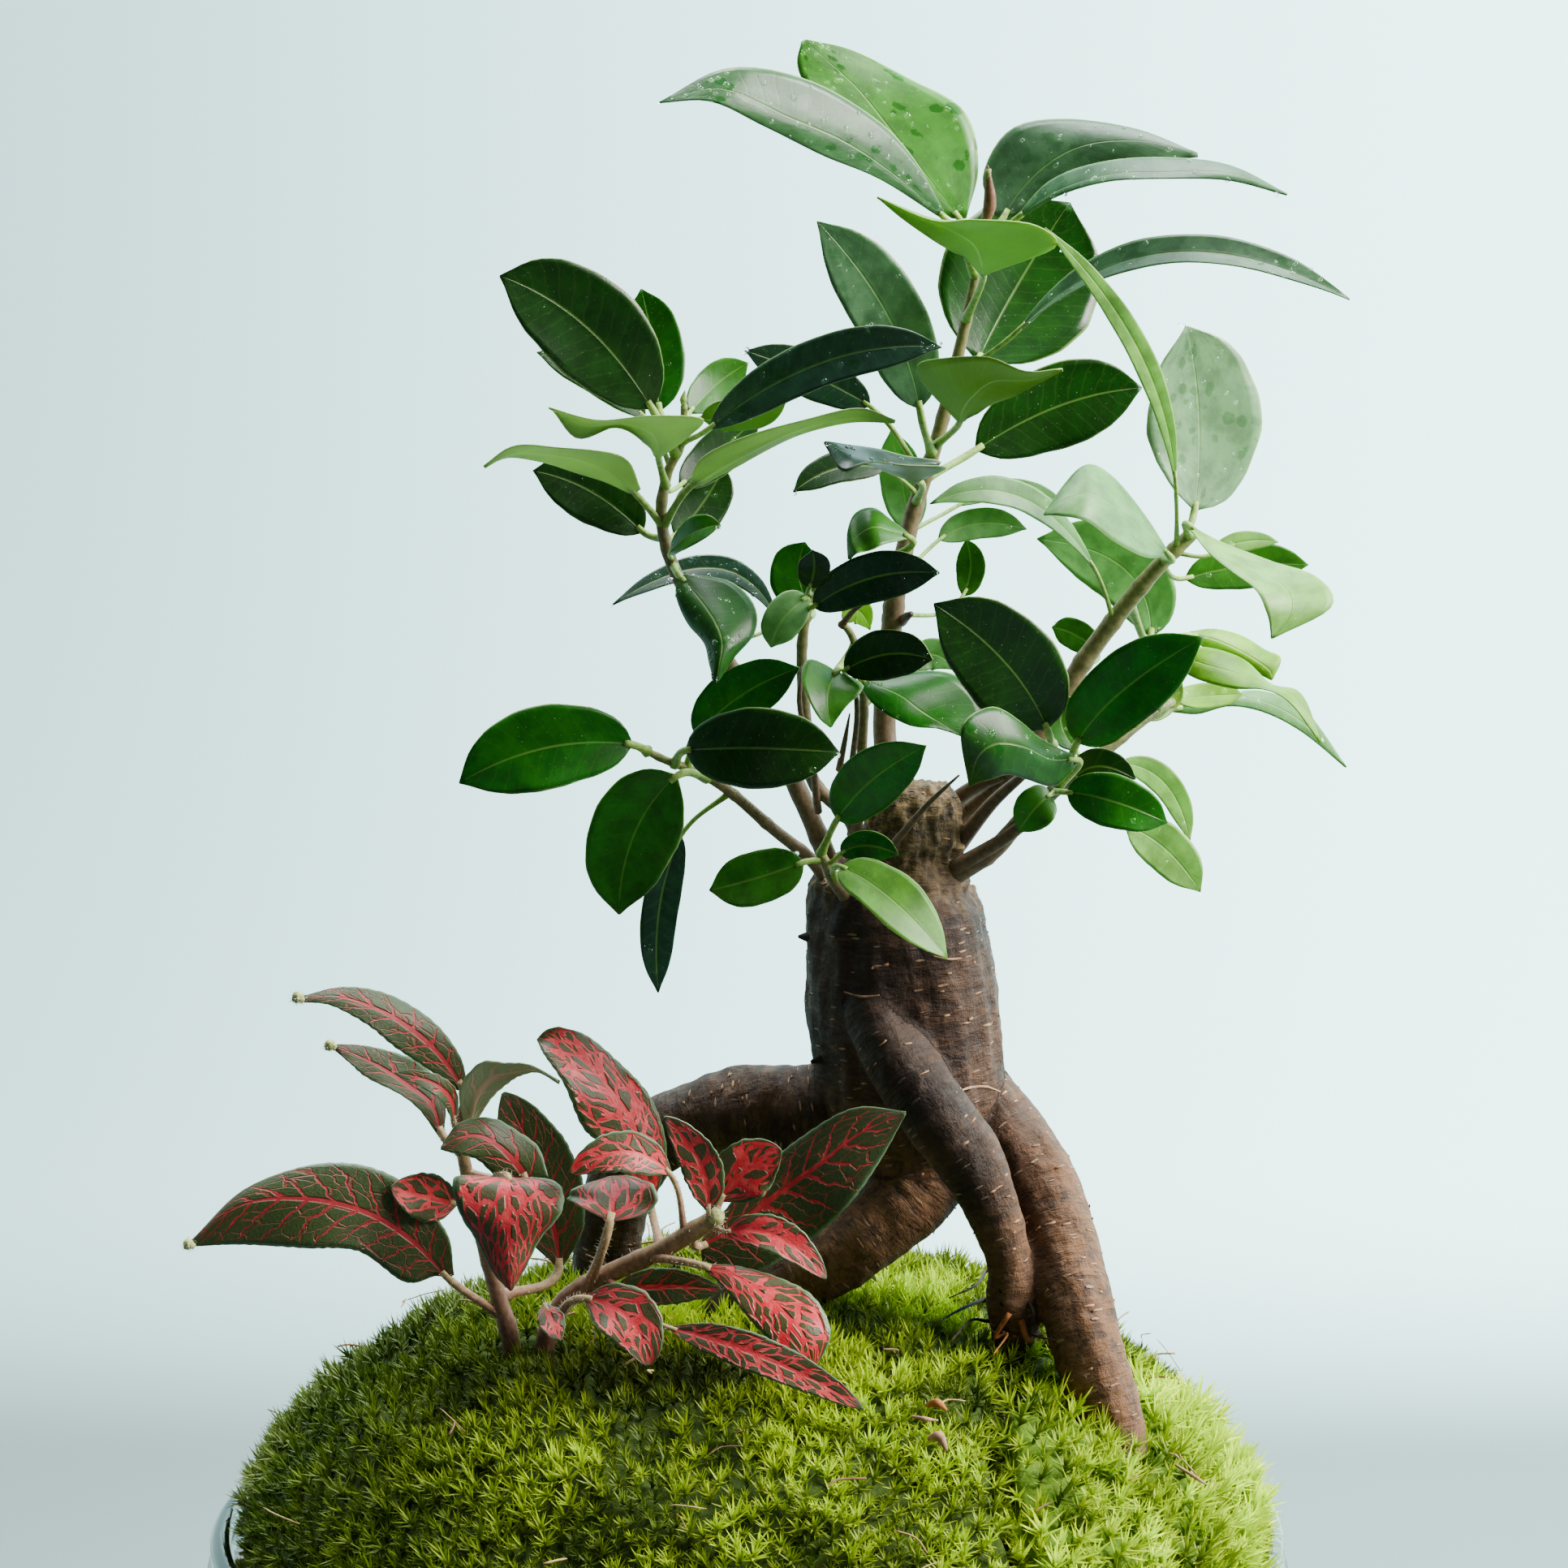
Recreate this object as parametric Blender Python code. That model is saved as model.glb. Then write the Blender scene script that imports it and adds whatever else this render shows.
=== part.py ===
"""Glass bowl planted with a swollen-root fig bonsai, a net-leaf plant and domed moss."""
from collections import namedtuple
from math import ceil, cos, pi, radians, sin, sqrt

import bmesh
import bpy
from mathutils import Vector

MM = 0.001

# Bowl
RIM_HEIGHT = 108 * MM
RIM_RADIUS = 100 * MM
LIP_RADIUS = 2.0 * MM
WALL = 3.5 * MM
FOOT_RADIUS = 52 * MM
FOOT_THICKNESS = 6 * MM
BELLY_RADIUS = 106.5 * MM
BELLY_HEIGHT = 60 * MM
NECK_HEIGHTS = (80 * MM, 94 * MM)
FOOT_INSIDE = 64 * MM
INSIDE_HEIGHTS = (9, 14, 22, 34, 50, 66, 80, 91, 100)
INSIDE_SHIFT = 1.5 * MM
BOWL_SIDES = 36

# Filling
GAP = 0.3 * MM
LAYER_GAP = 0.48 * MM
SOIL_GAP = 0.6 * MM
HOLE = 0.6 * MM
GRAVEL_TOP = 26 * MM
SOIL_EDGE = 98 * MM
SOIL_FLAT = 46 * MM
MOSS_RISE = 44.5 * MM
MOSS_SPREAD = 101 * MM
MOSS_ROUNDNESS = 3.4
MOSS_DEPTH = 13 * MM
MOSS_EDGE = 94.6 * MM
SWELL = 0.9 * MM
SWELL_ACROSS = 190
SWELL_ALONG = 170
ROUNDING = 3.6 * MM
ROUNDING_REACH = 5 * MM

# Leaves
BLADE = 0.7 * MM
PETIOLE_WIDE = 1.3 * MM
PETIOLE_THICK = 1.1 * MM
UPRIGHT = 0.35

# The front view that the plants' places are drawn in
VIEW_CENTRE = 966
VIEW_SCALE = 6195
EYE = Vector((6.8 * MM, -899.8 * MM, RIM_HEIGHT + 304.6 * MM))
EYE_PITCH = radians(10.4)
CROWN_SPREAD = 1.6
SPREAD_FROM = 1020
SPREAD_FULL = 900
VIEW_AHEAD = Vector((0, cos(EYE_PITCH), -sin(EYE_PITCH)))
VIEW_UP = Vector((0, sin(EYE_PITCH), cos(EYE_PITCH)))

# at, mid and tip are (across, down) in the front view; near gives their depths in mm,
# negative towards the eye; wide is the blade's width in mm; roll turns the upper face
# up from facing the eye; fold raises both halves; stalk is where the leaf leaves its stem
Leaf = namedtuple("Leaf", "name at mid tip near wide roll fold stalk")
Stem = namedtuple("Stem", "route start end")

STEMS = {
    "fig_crown": [
        Stem([(1112, 985, 3), (1090, 905, 4), (1100, 760, 5), (1112, 690, 5), (1129, 620, 6),
              (1155, 540, 6), (1180, 440, 6), (1200, 350, 6), (1214, 270, 6), (1218, 208, 6)],
             2.4, 0.5),
    ],
    "fig_left_upper": [
        Stem([(1030, 1085, 7), (1000, 1010, 6), (955, 915, 3), (905, 830, 0), (868, 765, -2),
              (832, 705, -4), (815, 640, -4), (822, 585, -4), (840, 545, -4), (843, 500, -4)],
             2.0, 0.6),
    ],
    "fig_left_low": [
        Stem([(1022, 1092, -1), (1000, 1060, -2), (951, 1020, -5), (900, 976, -8),
              (861, 952, -10), (821, 937, -12), (790, 922, -13)], 1.4, 0.6),
    ],
    "fig_front_low": [
        Stem([(1044, 1106, -7), (1030, 1088, -11), (1020, 1070, -14), (1010, 1050, -14)],
             1.4, 0.9),
    ],
    "fig_inner": [
        Stem([(1060, 1060, -1), (1048, 1010, -3), (1001, 960, -5), (992, 880, -5),
              (988, 800, -5), (997, 738, -5), (1003, 715, -5)], 1.5, 0.7),
        Stem([(1052, 1028, -2), (1062, 985, -7), (1062, 930, -8), (1064, 850, -8),
              (1052, 790, -8), (1036, 765, -8)], 1.2, 0.6),
    ],
    "fig_right_upper": [
        Stem([(1150, 1050, 10), (1190, 1000, 10), (1250, 945, 9), (1311, 856, 8),
              (1335, 815, 8), (1385, 748, 7), (1430, 695, 6), (1470, 656, 6)], 2.4, 1.3),
        Stem([(1190, 1000, 10), (1240, 960, 2), (1285, 930, -6), (1296, 918, -10)], 1.6, 0.7),
    ],
    "fig_right_low": [
        Stem([(1165, 1085, -2), (1222, 1049, -4), (1250, 1020, -6), (1298, 975, -10),
              (1353, 932, -8), (1404, 891, -4), (1442, 866, 0)], 2.0, 0.8),
    ],
    "netleaf_left": [
        Stem([(630, 1790, -22), (632, 1710, -21), (630, 1655, -21), (612, 1590, -20),
              (588, 1500, -18), (572, 1430, -17), (566, 1375, -17)], 2.1, 1.0),
    ],
    "netleaf_right": [
        Stem([(690, 1790, -20), (680, 1715, -21), (672, 1660, -23), (694, 1605, -24),
              (745, 1572, -26), (815, 1540, -29), (862, 1512, -31), (886, 1498, -31)],
             2.0, 1.6),
    ],
}

LEAVES = {
    "fig_crown": [
        Leaf("wet_arch", (1172, 270), (985, 152), (815, 125), (0, -10, -16), 16.5, 32, 10,
             (1201, 345)),
        Leaf("tall_back", (1192, 272), (1100, 155), (991, 53), (12, 17, 17), 20.5, 0, 6,
             (1204, 330)),
        Leaf("right_back", (1232, 268), (1315, 186), (1477, 190), (12, 13, 8), 15, 20, 8,
             (1209, 318)),
        Leaf("right_sickle", (1252, 268), (1420, 205), (1588, 240), (2, -6, -12), 11, 62, 14,
             (1208, 325)),
        Leaf("lime_under", (1213, 338), (1203, 300), (1186, 258), (-4, -13, -23), 31, 167, 14,
             (1190, 395)),
        Leaf("round_dark", (1205, 444), (1258, 345), (1318, 250), (13, 20, 24), 30, 0, 8,
             (1180, 455)),
        Leaf("long_sickle", (1257, 405), (1440, 312), (1663, 369), (-2, -10, -18), 8.5, 50, 14,
             (1183, 462)),
        Leaf("grey_upright", (1133, 503), (1092, 385), (1007, 273), (-3, -6, -9), 13.5, 10, 8,
             (1146, 562)),
        Leaf("curled_under", (1182, 517), (1206, 484), (1228, 445), (-4, -13, -22), 25, 176, 14,
             (1158, 555)),
        Leaf("dark_right", (1203, 554), (1305, 500), (1407, 478), (12, 16, 18), 15.5, 0, 7,
             (1148, 596)),
        Leaf("under_left", (1128, 592), (1085, 573), (1016, 546), (-3, -10, -14), 8.5, 120, 16,
             (1131, 618)),
        Leaf("dark_left", (1089, 578), (1032, 577), (978, 606), (2, 0, -2), 6.5, 25, 6,
             (1116, 606)),
        Leaf("pale_back", (1122, 655), (1112, 595), (1098, 530), (15, 18, 18), 8.5, 0, 4,
             (1110, 690)),
        Leaf("pale_right", (1157, 665), (1205, 645), (1265, 652), (12, 14, 15), 6, 0, 6,
             (1112, 715)),
        Leaf("thin_right", (1182, 622), (1246, 603), (1312, 622), (12, 15, 16), 4.5, 30, 6,
             (1122, 655)),
        Leaf("pale_drop", (1187, 734), (1196, 700), (1190, 664), (16, 17, 17), 5.5, 0, 6,
             (1102, 760)),
        Leaf("behind_long", (1072, 500), (1000, 462), (918, 432), (5, 4, 1), 8.5, 0, 7,
             (1126, 590)),
        Leaf("small_lime", (1106, 782), (1099, 765), (1096, 746), (14, 15, 15), 4, 0, 6,
             (1096, 800)),
    ],
    "fig_left_upper": [
        Leaf("dark_high", (803, 503), (720, 400), (616, 340), (-7, -9, -12), 18, 6, 9,
             (832, 562)),
        Leaf("dark_up", (812, 506), (806, 430), (790, 356), (0, 3, 4), 11, 0, 8, (841, 536)),
        Leaf("dark_sliver", (795, 514), (735, 468), (662, 434), (-2, -2, -4), 6.5, 25, 8,
             (826, 576)),
        Leaf("light_under", (812, 556), (770, 515), (680, 503), (-8, -15, -18), 10.5, 150, 16,
             (820, 598)),
        Leaf("light_left", (784, 607), (695, 566), (598, 575), (-6, -12, -16), 7, 35, 12,
             (816, 650)),
        Leaf("low_left", (792, 656), (728, 605), (657, 580), (-1, -2, -4), 11.5, 8, 8,
             (818, 668)),
        Leaf("small_curl", (826, 680), (855, 657), (888, 647), (-8, -12, -14), 6, 40, 14,
             (826, 692)),
        Leaf("middle_dark", (832, 660), (866, 620), (893, 574), (4, 7, 9), 9.5, 0, 8,
             (817, 650)),
        Leaf("long_dark", (874, 528), (1015, 446), (1160, 428), (-9, -14, -18), 9.5, 18, 8,
             (842, 548)),
        Leaf("low_under", (864, 514), (915, 512), (970, 491), (-2, -4, -6), 5.5, 150, 10,
             (843, 532)),
        Leaf("back_top", (850, 508), (882, 474), (922, 447), (4, 8, 10), 7.5, 0, 8, (843, 520)),
        Leaf("back_mid", (838, 598), (885, 558), (936, 512), (3, 7, 10), 8, 0, 8, (820, 606)),
        Leaf("light_long", (856, 598), (975, 535), (1100, 515), (-7, -9, -10), 7, 35, 8,
             (816, 645)),
        Leaf("hanging", (837, 712), (886, 765), (886, 838), (-9, -16, -18), 14.5, 12, 10,
             (829, 698)),
        Leaf("low_arc", (955, 758), (878, 700), (755, 745), (5, 8, 4), 5.5, 30, 8, (884, 795)),
    ],
    "fig_left_low": [
        Leaf("long_left", (779, 917), (670, 922), (566, 965), (-14, -17, -20), 15, 5, 8,
             (800, 926)),
        Leaf("dark_centre", (845, 924), (938, 922), (1034, 927), (-15, -21, -22), 14.2, 0, 8,
             (832, 941)),
        Leaf("rising", (858, 908), (912, 858), (985, 823), (-10, -11, -13), 10.5, 0, 8,
             (846, 946)),
        Leaf("hanging_wide", (833, 956), (781, 1030), (763, 1127), (-16, -19, -20), 16.5, 8, 8,
             (872, 958)),
        Leaf("hanging_narrow", (839, 1029), (812, 1120), (811, 1223), (-8, -8, -9), 7.5, 25, 8,
             (897, 976)),
    ],
    "fig_front_low": [
        Leaf("blunt", (990, 1062), (932, 1082), (874, 1097), (-16, -18, -20), 10, 0, 8,
             (1015, 1060)),
        Leaf("drooping", (1035, 1068), (1098, 1108), (1167, 1181), (-21, -26, -27), 9.5, 6, 9,
             (1028, 1084)),
        Leaf("small_right", (1036, 1052), (1068, 1042), (1107, 1053), (-16, -19, -20), 5.5, 0, 8,
             (1019, 1068)),
        Leaf("rising_right", (1031, 1010), (1076, 960), (1141, 919), (-17, -20, -22), 10.8, 0, 8,
             (1011, 1052)),
    ],
    "fig_inner": [
        Leaf("round_dark", (999, 748), (985, 708), (992, 668), (1, 2, 2), 11, 0, 6,
             (992, 762)),
        Leaf("pale_low", (995, 735), (966, 762), (950, 798), (-6, -8, -9), 7.5, 0, 8,
             (995, 748)),
        Leaf("narrow", (997, 724), (1003, 700), (1001, 678), (-9, -11, -12), 3.2, 0, 8,
             (998, 732)),
        Leaf("dark_glossy", (1002, 748), (1075, 712), (1158, 706), (-8, -13, -15), 9, 0, 9,
             (997, 742)),
        Leaf("light_curl", (1105, 668), (1072, 652), (1048, 678), (-11, -13, -14), 7.5, 15, 8,
             (1003, 722)),
        Leaf("light_back", (1040, 768), (1056, 752), (1072, 776), (-4, -3, -2), 5, 0, 6,
             (1040, 772)),
        Leaf("dark_small", (1040, 826), (1095, 806), (1149, 813), (-12, -15, -17), 9, 0, 8,
             (1060, 830)),
        Leaf("drop", (1030, 828), (1020, 858), (1024, 896), (-12, -16, -17), 11.5, 12, 10,
             (1056, 800)),
        Leaf("glossy_fold", (1066, 836), (1128, 862), (1184, 905), (-10, -12, -12), 13.5, 5, 12,
             (1063, 850)),
        Leaf("back_light", (1118, 826), (1148, 806), (1176, 826), (-3, -1, -1), 6, 0, 6,
             (1064, 870)),
    ],
    "fig_right_upper": [
        Leaf("wet_tall", (1472, 628), (1477, 515), (1462, 402), (9, 11, 10), 20.5, 0, 7,
             (1462, 664)),
        Leaf("pale_strap", (1448, 590), (1402, 430), (1288, 281), (-4, -9, -14), 4.6, 20, 6,
             (1448, 678)),
        Leaf("light_broad", (1438, 685), (1362, 618), (1289, 632), (-2, -9, -13), 12.5, 25, 10,
             (1436, 690)),
        Leaf("thin_left", (1347, 698), (1255, 612), (1146, 621), (2, -5, -10), 6, 30, 8,
             (1370, 768)),
        Leaf("blue_back", (1418, 784), (1385, 700), (1278, 664), (18, 20, 18), 11.5, 0, 6,
             (1392, 742)),
        Leaf("pale_front", (1472, 652), (1562, 694), (1616, 768), (-2, -10, -14), 14.5, 15, 10,
             (1466, 662)),
        Leaf("torn_right", (1461, 713), (1535, 697), (1612, 696), (12, 14, 15), 7, 0, 6,
             (1432, 694)),
        Leaf("small_stalked", (1493, 684), (1530, 668), (1575, 668), (7, 8, 8), 4, 20, 6,
             (1448, 680)),
        Leaf("big_dark", (1290, 898), (1238, 815), (1151, 744), (-15, -19, -22), 18.5, 0, 8,
             (1296, 918)),
        Leaf("green_behind", (1352, 802), (1325, 782), (1296, 773), (14, 15, 16), 6, 0, 6,
             (1330, 823)),
    ],
    "fig_right_low": [
        Leaf("wavy_front", (1320, 945), (1252, 920), (1194, 950), (-20, -28, -31), 12.8, 8, 8,
             (1304, 970)),
        Leaf("little", (1295, 979), (1277, 995), (1255, 1025), (-16, -19, -20), 6.2, 0, 8,
             (1298, 975)),
        Leaf("dark_pair", (1322, 962), (1354, 944), (1399, 960), (-10, -11, -11), 6.5, 0, 8,
             (1306, 968)),
        Leaf("green_pair", (1314, 976), (1375, 988), (1438, 1014), (-17, -21, -22), 8.8, 0, 8,
             (1300, 974)),
        Leaf("pale_hook", (1380, 940), (1436, 966), (1466, 1037), (3, 8, 10), 5.5, 10, 6,
             (1350, 935)),
        Leaf("pale_hanging", (1388, 1018), (1436, 1046), (1479, 1099), (-4, -2, -2), 6.5, 10, 6,
             (1322, 956)),
        Leaf("dark_upright", (1327, 915), (1385, 850), (1483, 785), (-14, -18, -20), 13.3, 0, 8,
             (1314, 962)),
        Leaf("dark_stub", (1326, 924), (1308, 890), (1318, 858), (0, 3, 4), 6, 0, 6,
             (1322, 954)),
        Leaf("lime_high", (1466, 810), (1520, 800), (1577, 822), (12, 14, 14), 7.5, 5, 8,
             (1430, 874)),
        Leaf("light_long", (1455, 833), (1540, 840), (1630, 912), (-2, -6, -10), 7.4, 15, 8,
             (1422, 880)),
        Leaf("lime_mid", (1447, 862), (1490, 858), (1532, 856), (4, 6, 6), 4.8, 10, 6,
             (1412, 886)),
        Leaf("olive_under", (1404, 884), (1430, 862), (1456, 836), (0, 3, 4), 6.6, 0, 6,
             (1396, 897)),
        Leaf("grey_long", (1450, 872), (1560, 880), (1660, 946), (10, 10, 6), 5.5, 25, 8,
             (1441, 866)),
    ],
    "netleaf_left": [
        Leaf("high_arch", (565, 1338), (492, 1272), (367, 1231), (-20, -24, -27), 9.4, 12, 6,
             (566, 1385)),
        Leaf("second_arch", (552, 1398), (500, 1336), (408, 1290), (-14, -13, -14), 7.6, 12, 6,
             (571, 1425)),
        Leaf("pale_small", (558, 1382), (544, 1342), (486, 1322), (-23, -28, -31), 4, 25, 8,
             (566, 1396)),
        Leaf("pale_hook", (577, 1382), (607, 1322), (689, 1332), (-18, -21, -22), 6, 35, 8,
             (568, 1398)),
        Leaf("dark_back", (690, 1560), (666, 1448), (620, 1346), (-8, -6, -4), 14.5, 0, 6,
             (616, 1600)),
        Leaf("mid_fold", (674, 1457), (618, 1404), (544, 1414), (-22, -25, -27), 8, 8, 8,
             (576, 1448)),
        Leaf("great_left", (545, 1569), (420, 1484), (234, 1533), (-23, -28, -32), 15.5, 12, 5,
             (622, 1618)),
        Leaf("red_small", (563, 1483), (522, 1474), (482, 1462), (-22, -25, -27), 9, 0, 6,
             (583, 1478)),
        Leaf("front_shield", (626, 1454), (628, 1510), (628, 1592), (-30, -37, -39), 20.5, 6, 6,
             (580, 1466)),
    ],
    "netleaf_right": [
        Leaf("glossy_fold", (806, 1478), (752, 1378), (670, 1272), (-17, -15, -14), 15.5, 8, 12,
             (812, 1542)),
        Leaf("red_arch", (826, 1446), (766, 1420), (702, 1447), (-29, -33, -35), 6, 15, 8,
             (846, 1522)),
        Leaf("bright_narrow", (872, 1492), (862, 1432), (819, 1376), (-33, -35, -36), 5.4, 0, 8,
             (876, 1504)),
        Leaf("bright_round", (886, 1479), (922, 1440), (963, 1417), (-31, -31, -31), 9.8, 0, 6,
             (880, 1502)),
        Leaf("great_right", (884, 1536), (985, 1462), (1114, 1376), (-25, -25, -26), 16.5, 0, 6,
             (850, 1520)),
        Leaf("stalked", (752, 1504), (755, 1476), (752, 1450), (-34, -31, -27), 16.5, 0, 8,
             (728, 1582)),
        Leaf("narrow_right", (892, 1519), (958, 1524), (1018, 1576), (-34, -37, -38), 5, 15, 8,
             (878, 1503)),
        Leaf("wet_right", (868, 1561), (958, 1606), (1008, 1688), (-37, -44, -47), 10.4, 8, 8,
             (800, 1548)),
        Leaf("long_low", (826, 1637), (945, 1674), (1064, 1736), (-42, -52, -60), 4.8, 12, 6,
             (742, 1574)),
        Leaf("rounded_low", (722, 1600), (776, 1626), (800, 1684), (-36, -42, -45), 9, 10, 8,
             (688, 1618)),
        Leaf("base_small", (672, 1608), (680, 1630), (690, 1652), (-30, -33, -36), 5, 10, 8,
             (676, 1640)),
        Leaf("crimson_back", (756, 1592), (818, 1585), (890, 1590), (-20, -20, -20), 7, 0, 6,
             (738, 1576)),
    ],
}

# Width along the blade, as (place, share of the width)
NARROW = ((0, 0.1), (0.18, 0.66), (0.40, 0.98), (0.64, 0.96), (0.86, 0.58), (1, 0.08))
BROAD = ((0, 0.12), (0.18, 0.76), (0.40, 1.0), (0.64, 0.9), (0.86, 0.52), (1, 0.08))
SHORT = ((0, 0.12), (0.22, 0.74), (0.5, 1.0), (0.8, 0.68), (1, 0.1))
SHIELD = ((0, 0.5), (0.15, 0.96), (0.40, 0.92), (0.64, 0.64), (0.86, 0.32), (1, 0.08))
SMALL_LEAF = 7.2
OTHER_OUTLINES = {"front_shield": SHIELD}

# Trunk and roots, drawn as the stems are, with the half width in mm as fourth value
TRUNK = [
    [(1127, 962, 3, 7.0), (1125, 985, 3, 9.2), (1124, 1040, 3, 10.0), (1114, 1068, 3, 11.5),
     (1100, 1092, 3, 14.4), (1104, 1150, 3, 16.8), (1112, 1225, 3, 17.8), (1122, 1295, 3, 17.7),
     (1130, 1350, 3, 17.2), (1142, 1395, 3, 14.5), (1155, 1430, 3, 9.0)],
    [(1085, 1345, 5, 9.5), (1000, 1368, 7, 8.6), (935, 1366, 9, 7.8), (868, 1376, 12, 7.4),
     (805, 1405, 14, 7.2), (768, 1450, 16, 7.0), (752, 1510, 17, 6.8), (746, 1570, 18, 6.6),
     (742, 1660, 19, 6.2), (740, 1730, 19, 5.2)],
    [(1165, 1400, 0, 9.0), (1130, 1462, -3, 8.0), (1085, 1508, -6, 7.2), (1030, 1548, -7, 7.0),
     (965, 1582, -6, 7.0), (915, 1618, -5, 6.8), (885, 1670, -4, 6.0), (872, 1720, -4, 5.0)],
    [(1066, 1200, -10, 3.6), (1080, 1240, -15, 5.4), (1105, 1300, -17, 6.3), (1150, 1370, -17, 6.4),
     (1198, 1432, -15, 6.0), (1228, 1500, -13, 5.2), (1246, 1565, -11, 4.4), (1252, 1620, -10, 4.2),
     (1252, 1690, -9, 3.8)],
    [(1175, 1340, 1, 9.5), (1232, 1395, -5, 8.4), (1276, 1462, -11, 7.4), (1306, 1540, -17, 6.8),
     (1328, 1620, -22, 6.8), (1346, 1690, -26, 6.6), (1366, 1750, -28, 6.4), (1380, 1820, -29, 5.6)],
]
TRUNK_SIDES = 11
STEM_SIDES = 6
CUTTER_SIDES = 8
FEET = {1: 6, 2: 2, 3: 5, 4: 3}

# Borders of the side cushions: direction in degrees round the bowl, and distance in mm
MOSS_BORDERS = {
    "moss_right_front": [(-58, 94.6), (-56, 88), (-52, 74), (-44, 62), (-39, 57), (-25, 62),
                         (-10, 69), (-2, 74), (4, 86), (6, 94.6)],
    "moss_left_back": [(102, 94.6), (104, 86), (110, 68), (130, 52), (155, 48), (175, 54),
                       (183, 68), (187, 86), (189, 94.6)],
}
MOSS_DROP = {"moss_main": 0.0, "moss_right_front": 1.2 * MM, "moss_left_back": 1.0 * MM}
MOSS_RINGS = (0.3, 0.56, 0.78, 0.93, 1.0)
CREASE = 1.2 * MM


def seen(across, down, depth):
    """Point that shows there in the front view, drawn depth mm behind the bowl's axis.

    The crown is drawn flatter than it grows, so its depths spread above the stump.
    """
    share = min(max((SPREAD_FROM - down) / (SPREAD_FROM - SPREAD_FULL), 0), 1)
    depth *= MM * (1 + (CROWN_SPREAD - 1) * share)
    ray = (VIEW_AHEAD + Vector(((across - VIEW_CENTRE) / VIEW_SCALE, 0, 0))
           + VIEW_UP * ((VIEW_CENTRE - down) / VIEW_SCALE))
    return EYE + ray * ((depth - EYE.y) / ray.y)


def finish(name, colour, roughness, metallic=0.0, transmission=0.0):
    """Material with one colour."""
    material = bpy.data.materials.new(name)
    material.use_nodes = True
    shader = material.node_tree.nodes["Principled BSDF"]
    shader.inputs["Base Color"].default_value = (*colour, 1)
    shader.inputs["Roughness"].default_value = roughness
    shader.inputs["Metallic"].default_value = metallic
    shader.inputs["Transmission Weight"].default_value = transmission
    return material


def solid(name, points, faces, material=None):
    """Object from points and faces, its faces turned outwards."""
    mesh = bpy.data.meshes.new(name)
    mesh.from_pydata([tuple(point) for point in points], [], faces)
    work = bmesh.new()
    work.from_mesh(mesh)
    bmesh.ops.recalc_face_normals(work, faces=work.faces)
    work.to_mesh(mesh)
    work.free()
    piece = bpy.data.objects.new(name, mesh)
    bpy.context.scene.collection.objects.link(piece)
    if material:
        mesh.materials.append(material)
    return piece


def tube(name, centres, widths, sides, material=None):
    """Closed tube of changing width round a route."""
    points = []
    across = None
    count = len(centres)
    for index, centre in enumerate(centres):
        ahead = (centres[min(index + 1, count - 1)] - centres[max(index - 1, 0)]).normalized()
        if across is None:
            across = ahead.cross(Vector((0, 1, 0))).normalized()
        across = (across - ahead * across.dot(ahead)).normalized()
        other = ahead.cross(across)
        for side in range(sides):
            turn = 2 * pi * side / sides
            points.append(centre + widths[index] * (across * cos(turn) + other * sin(turn)))
    faces = [tuple(range(sides)), tuple((count - 1) * sides + side for side in range(sides))]
    for index in range(count - 1):
        low, high = index * sides, (index + 1) * sides
        for side in range(sides):
            following = (side + 1) % sides
            faces.append((low + side, low + following, high + following, high + side))
    return solid(name, points, faces, material)


def turned(name, profile, material):
    """Round body from a profile of radius and height, closed where the radius is nothing."""
    points, rings, faces = [], [], []
    for radius, height in profile:
        if radius == 0:
            rings.append([len(points)] * BOWL_SIDES)
            points.append(Vector((0, 0, height)))
            continue
        rings.append([len(points) + side for side in range(BOWL_SIDES)])
        for side in range(BOWL_SIDES):
            turn = 2 * pi * side / BOWL_SIDES
            points.append(Vector((radius * cos(turn), radius * sin(turn), height)))
    for low, high in zip(rings, rings[1:]):
        for side in range(BOWL_SIDES):
            following = (side + 1) % BOWL_SIDES
            corners = [low[side], low[following], high[following], high[side]]
            faces.append(tuple(dict.fromkeys(corners)))
    if profile[0][0]:
        faces.append(tuple(rings[0]))
    return solid(name, points, faces, material)


def keep_result(piece):
    """Give an object the mesh that its modifiers make, and drop the modifiers."""
    view = bpy.context.evaluated_depsgraph_get()
    result = bpy.data.meshes.new_from_object(piece.evaluated_get(view))
    piece.modifiers.clear()
    piece.data = result
    return piece


def combine(piece, others, operation, solver="EXACT"):
    """Join others to a piece, or cut them out of it, and remove them."""
    group = bpy.data.collections.new(piece.name + "_" + operation.lower())
    bpy.context.scene.collection.children.link(group)
    for other in others:
        group.objects.link(other)
        bpy.context.scene.collection.objects.unlink(other)
    boolean = piece.modifiers.new("join", "BOOLEAN")
    boolean.operation = operation
    boolean.operand_type = "COLLECTION"
    boolean.collection = group
    boolean.solver = solver
    material = piece.data.materials[0]
    keep_result(piece)
    piece.data.materials.clear()
    piece.data.materials.append(material)
    for other in others:
        bpy.data.objects.remove(other)
    bpy.data.collections.remove(group)
    return piece


def wall_radius(height, inset):
    """Radius of the bowl's outside at a height, less an inset."""
    if height < BELLY_HEIGHT:
        share = 1 - height / BELLY_HEIGHT
        radius = FOOT_RADIUS + (BELLY_RADIUS - FOOT_RADIUS) * sqrt(max(1 - share ** 2, 0))
    else:
        neck = RIM_RADIUS - LIP_RADIUS * 0.6
        share = (height - BELLY_HEIGHT) / (RIM_HEIGHT - BELLY_HEIGHT)
        radius = neck + (BELLY_RADIUS - neck) * cos(min(share, 1) * pi / 2)
    return radius - inset


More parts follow.
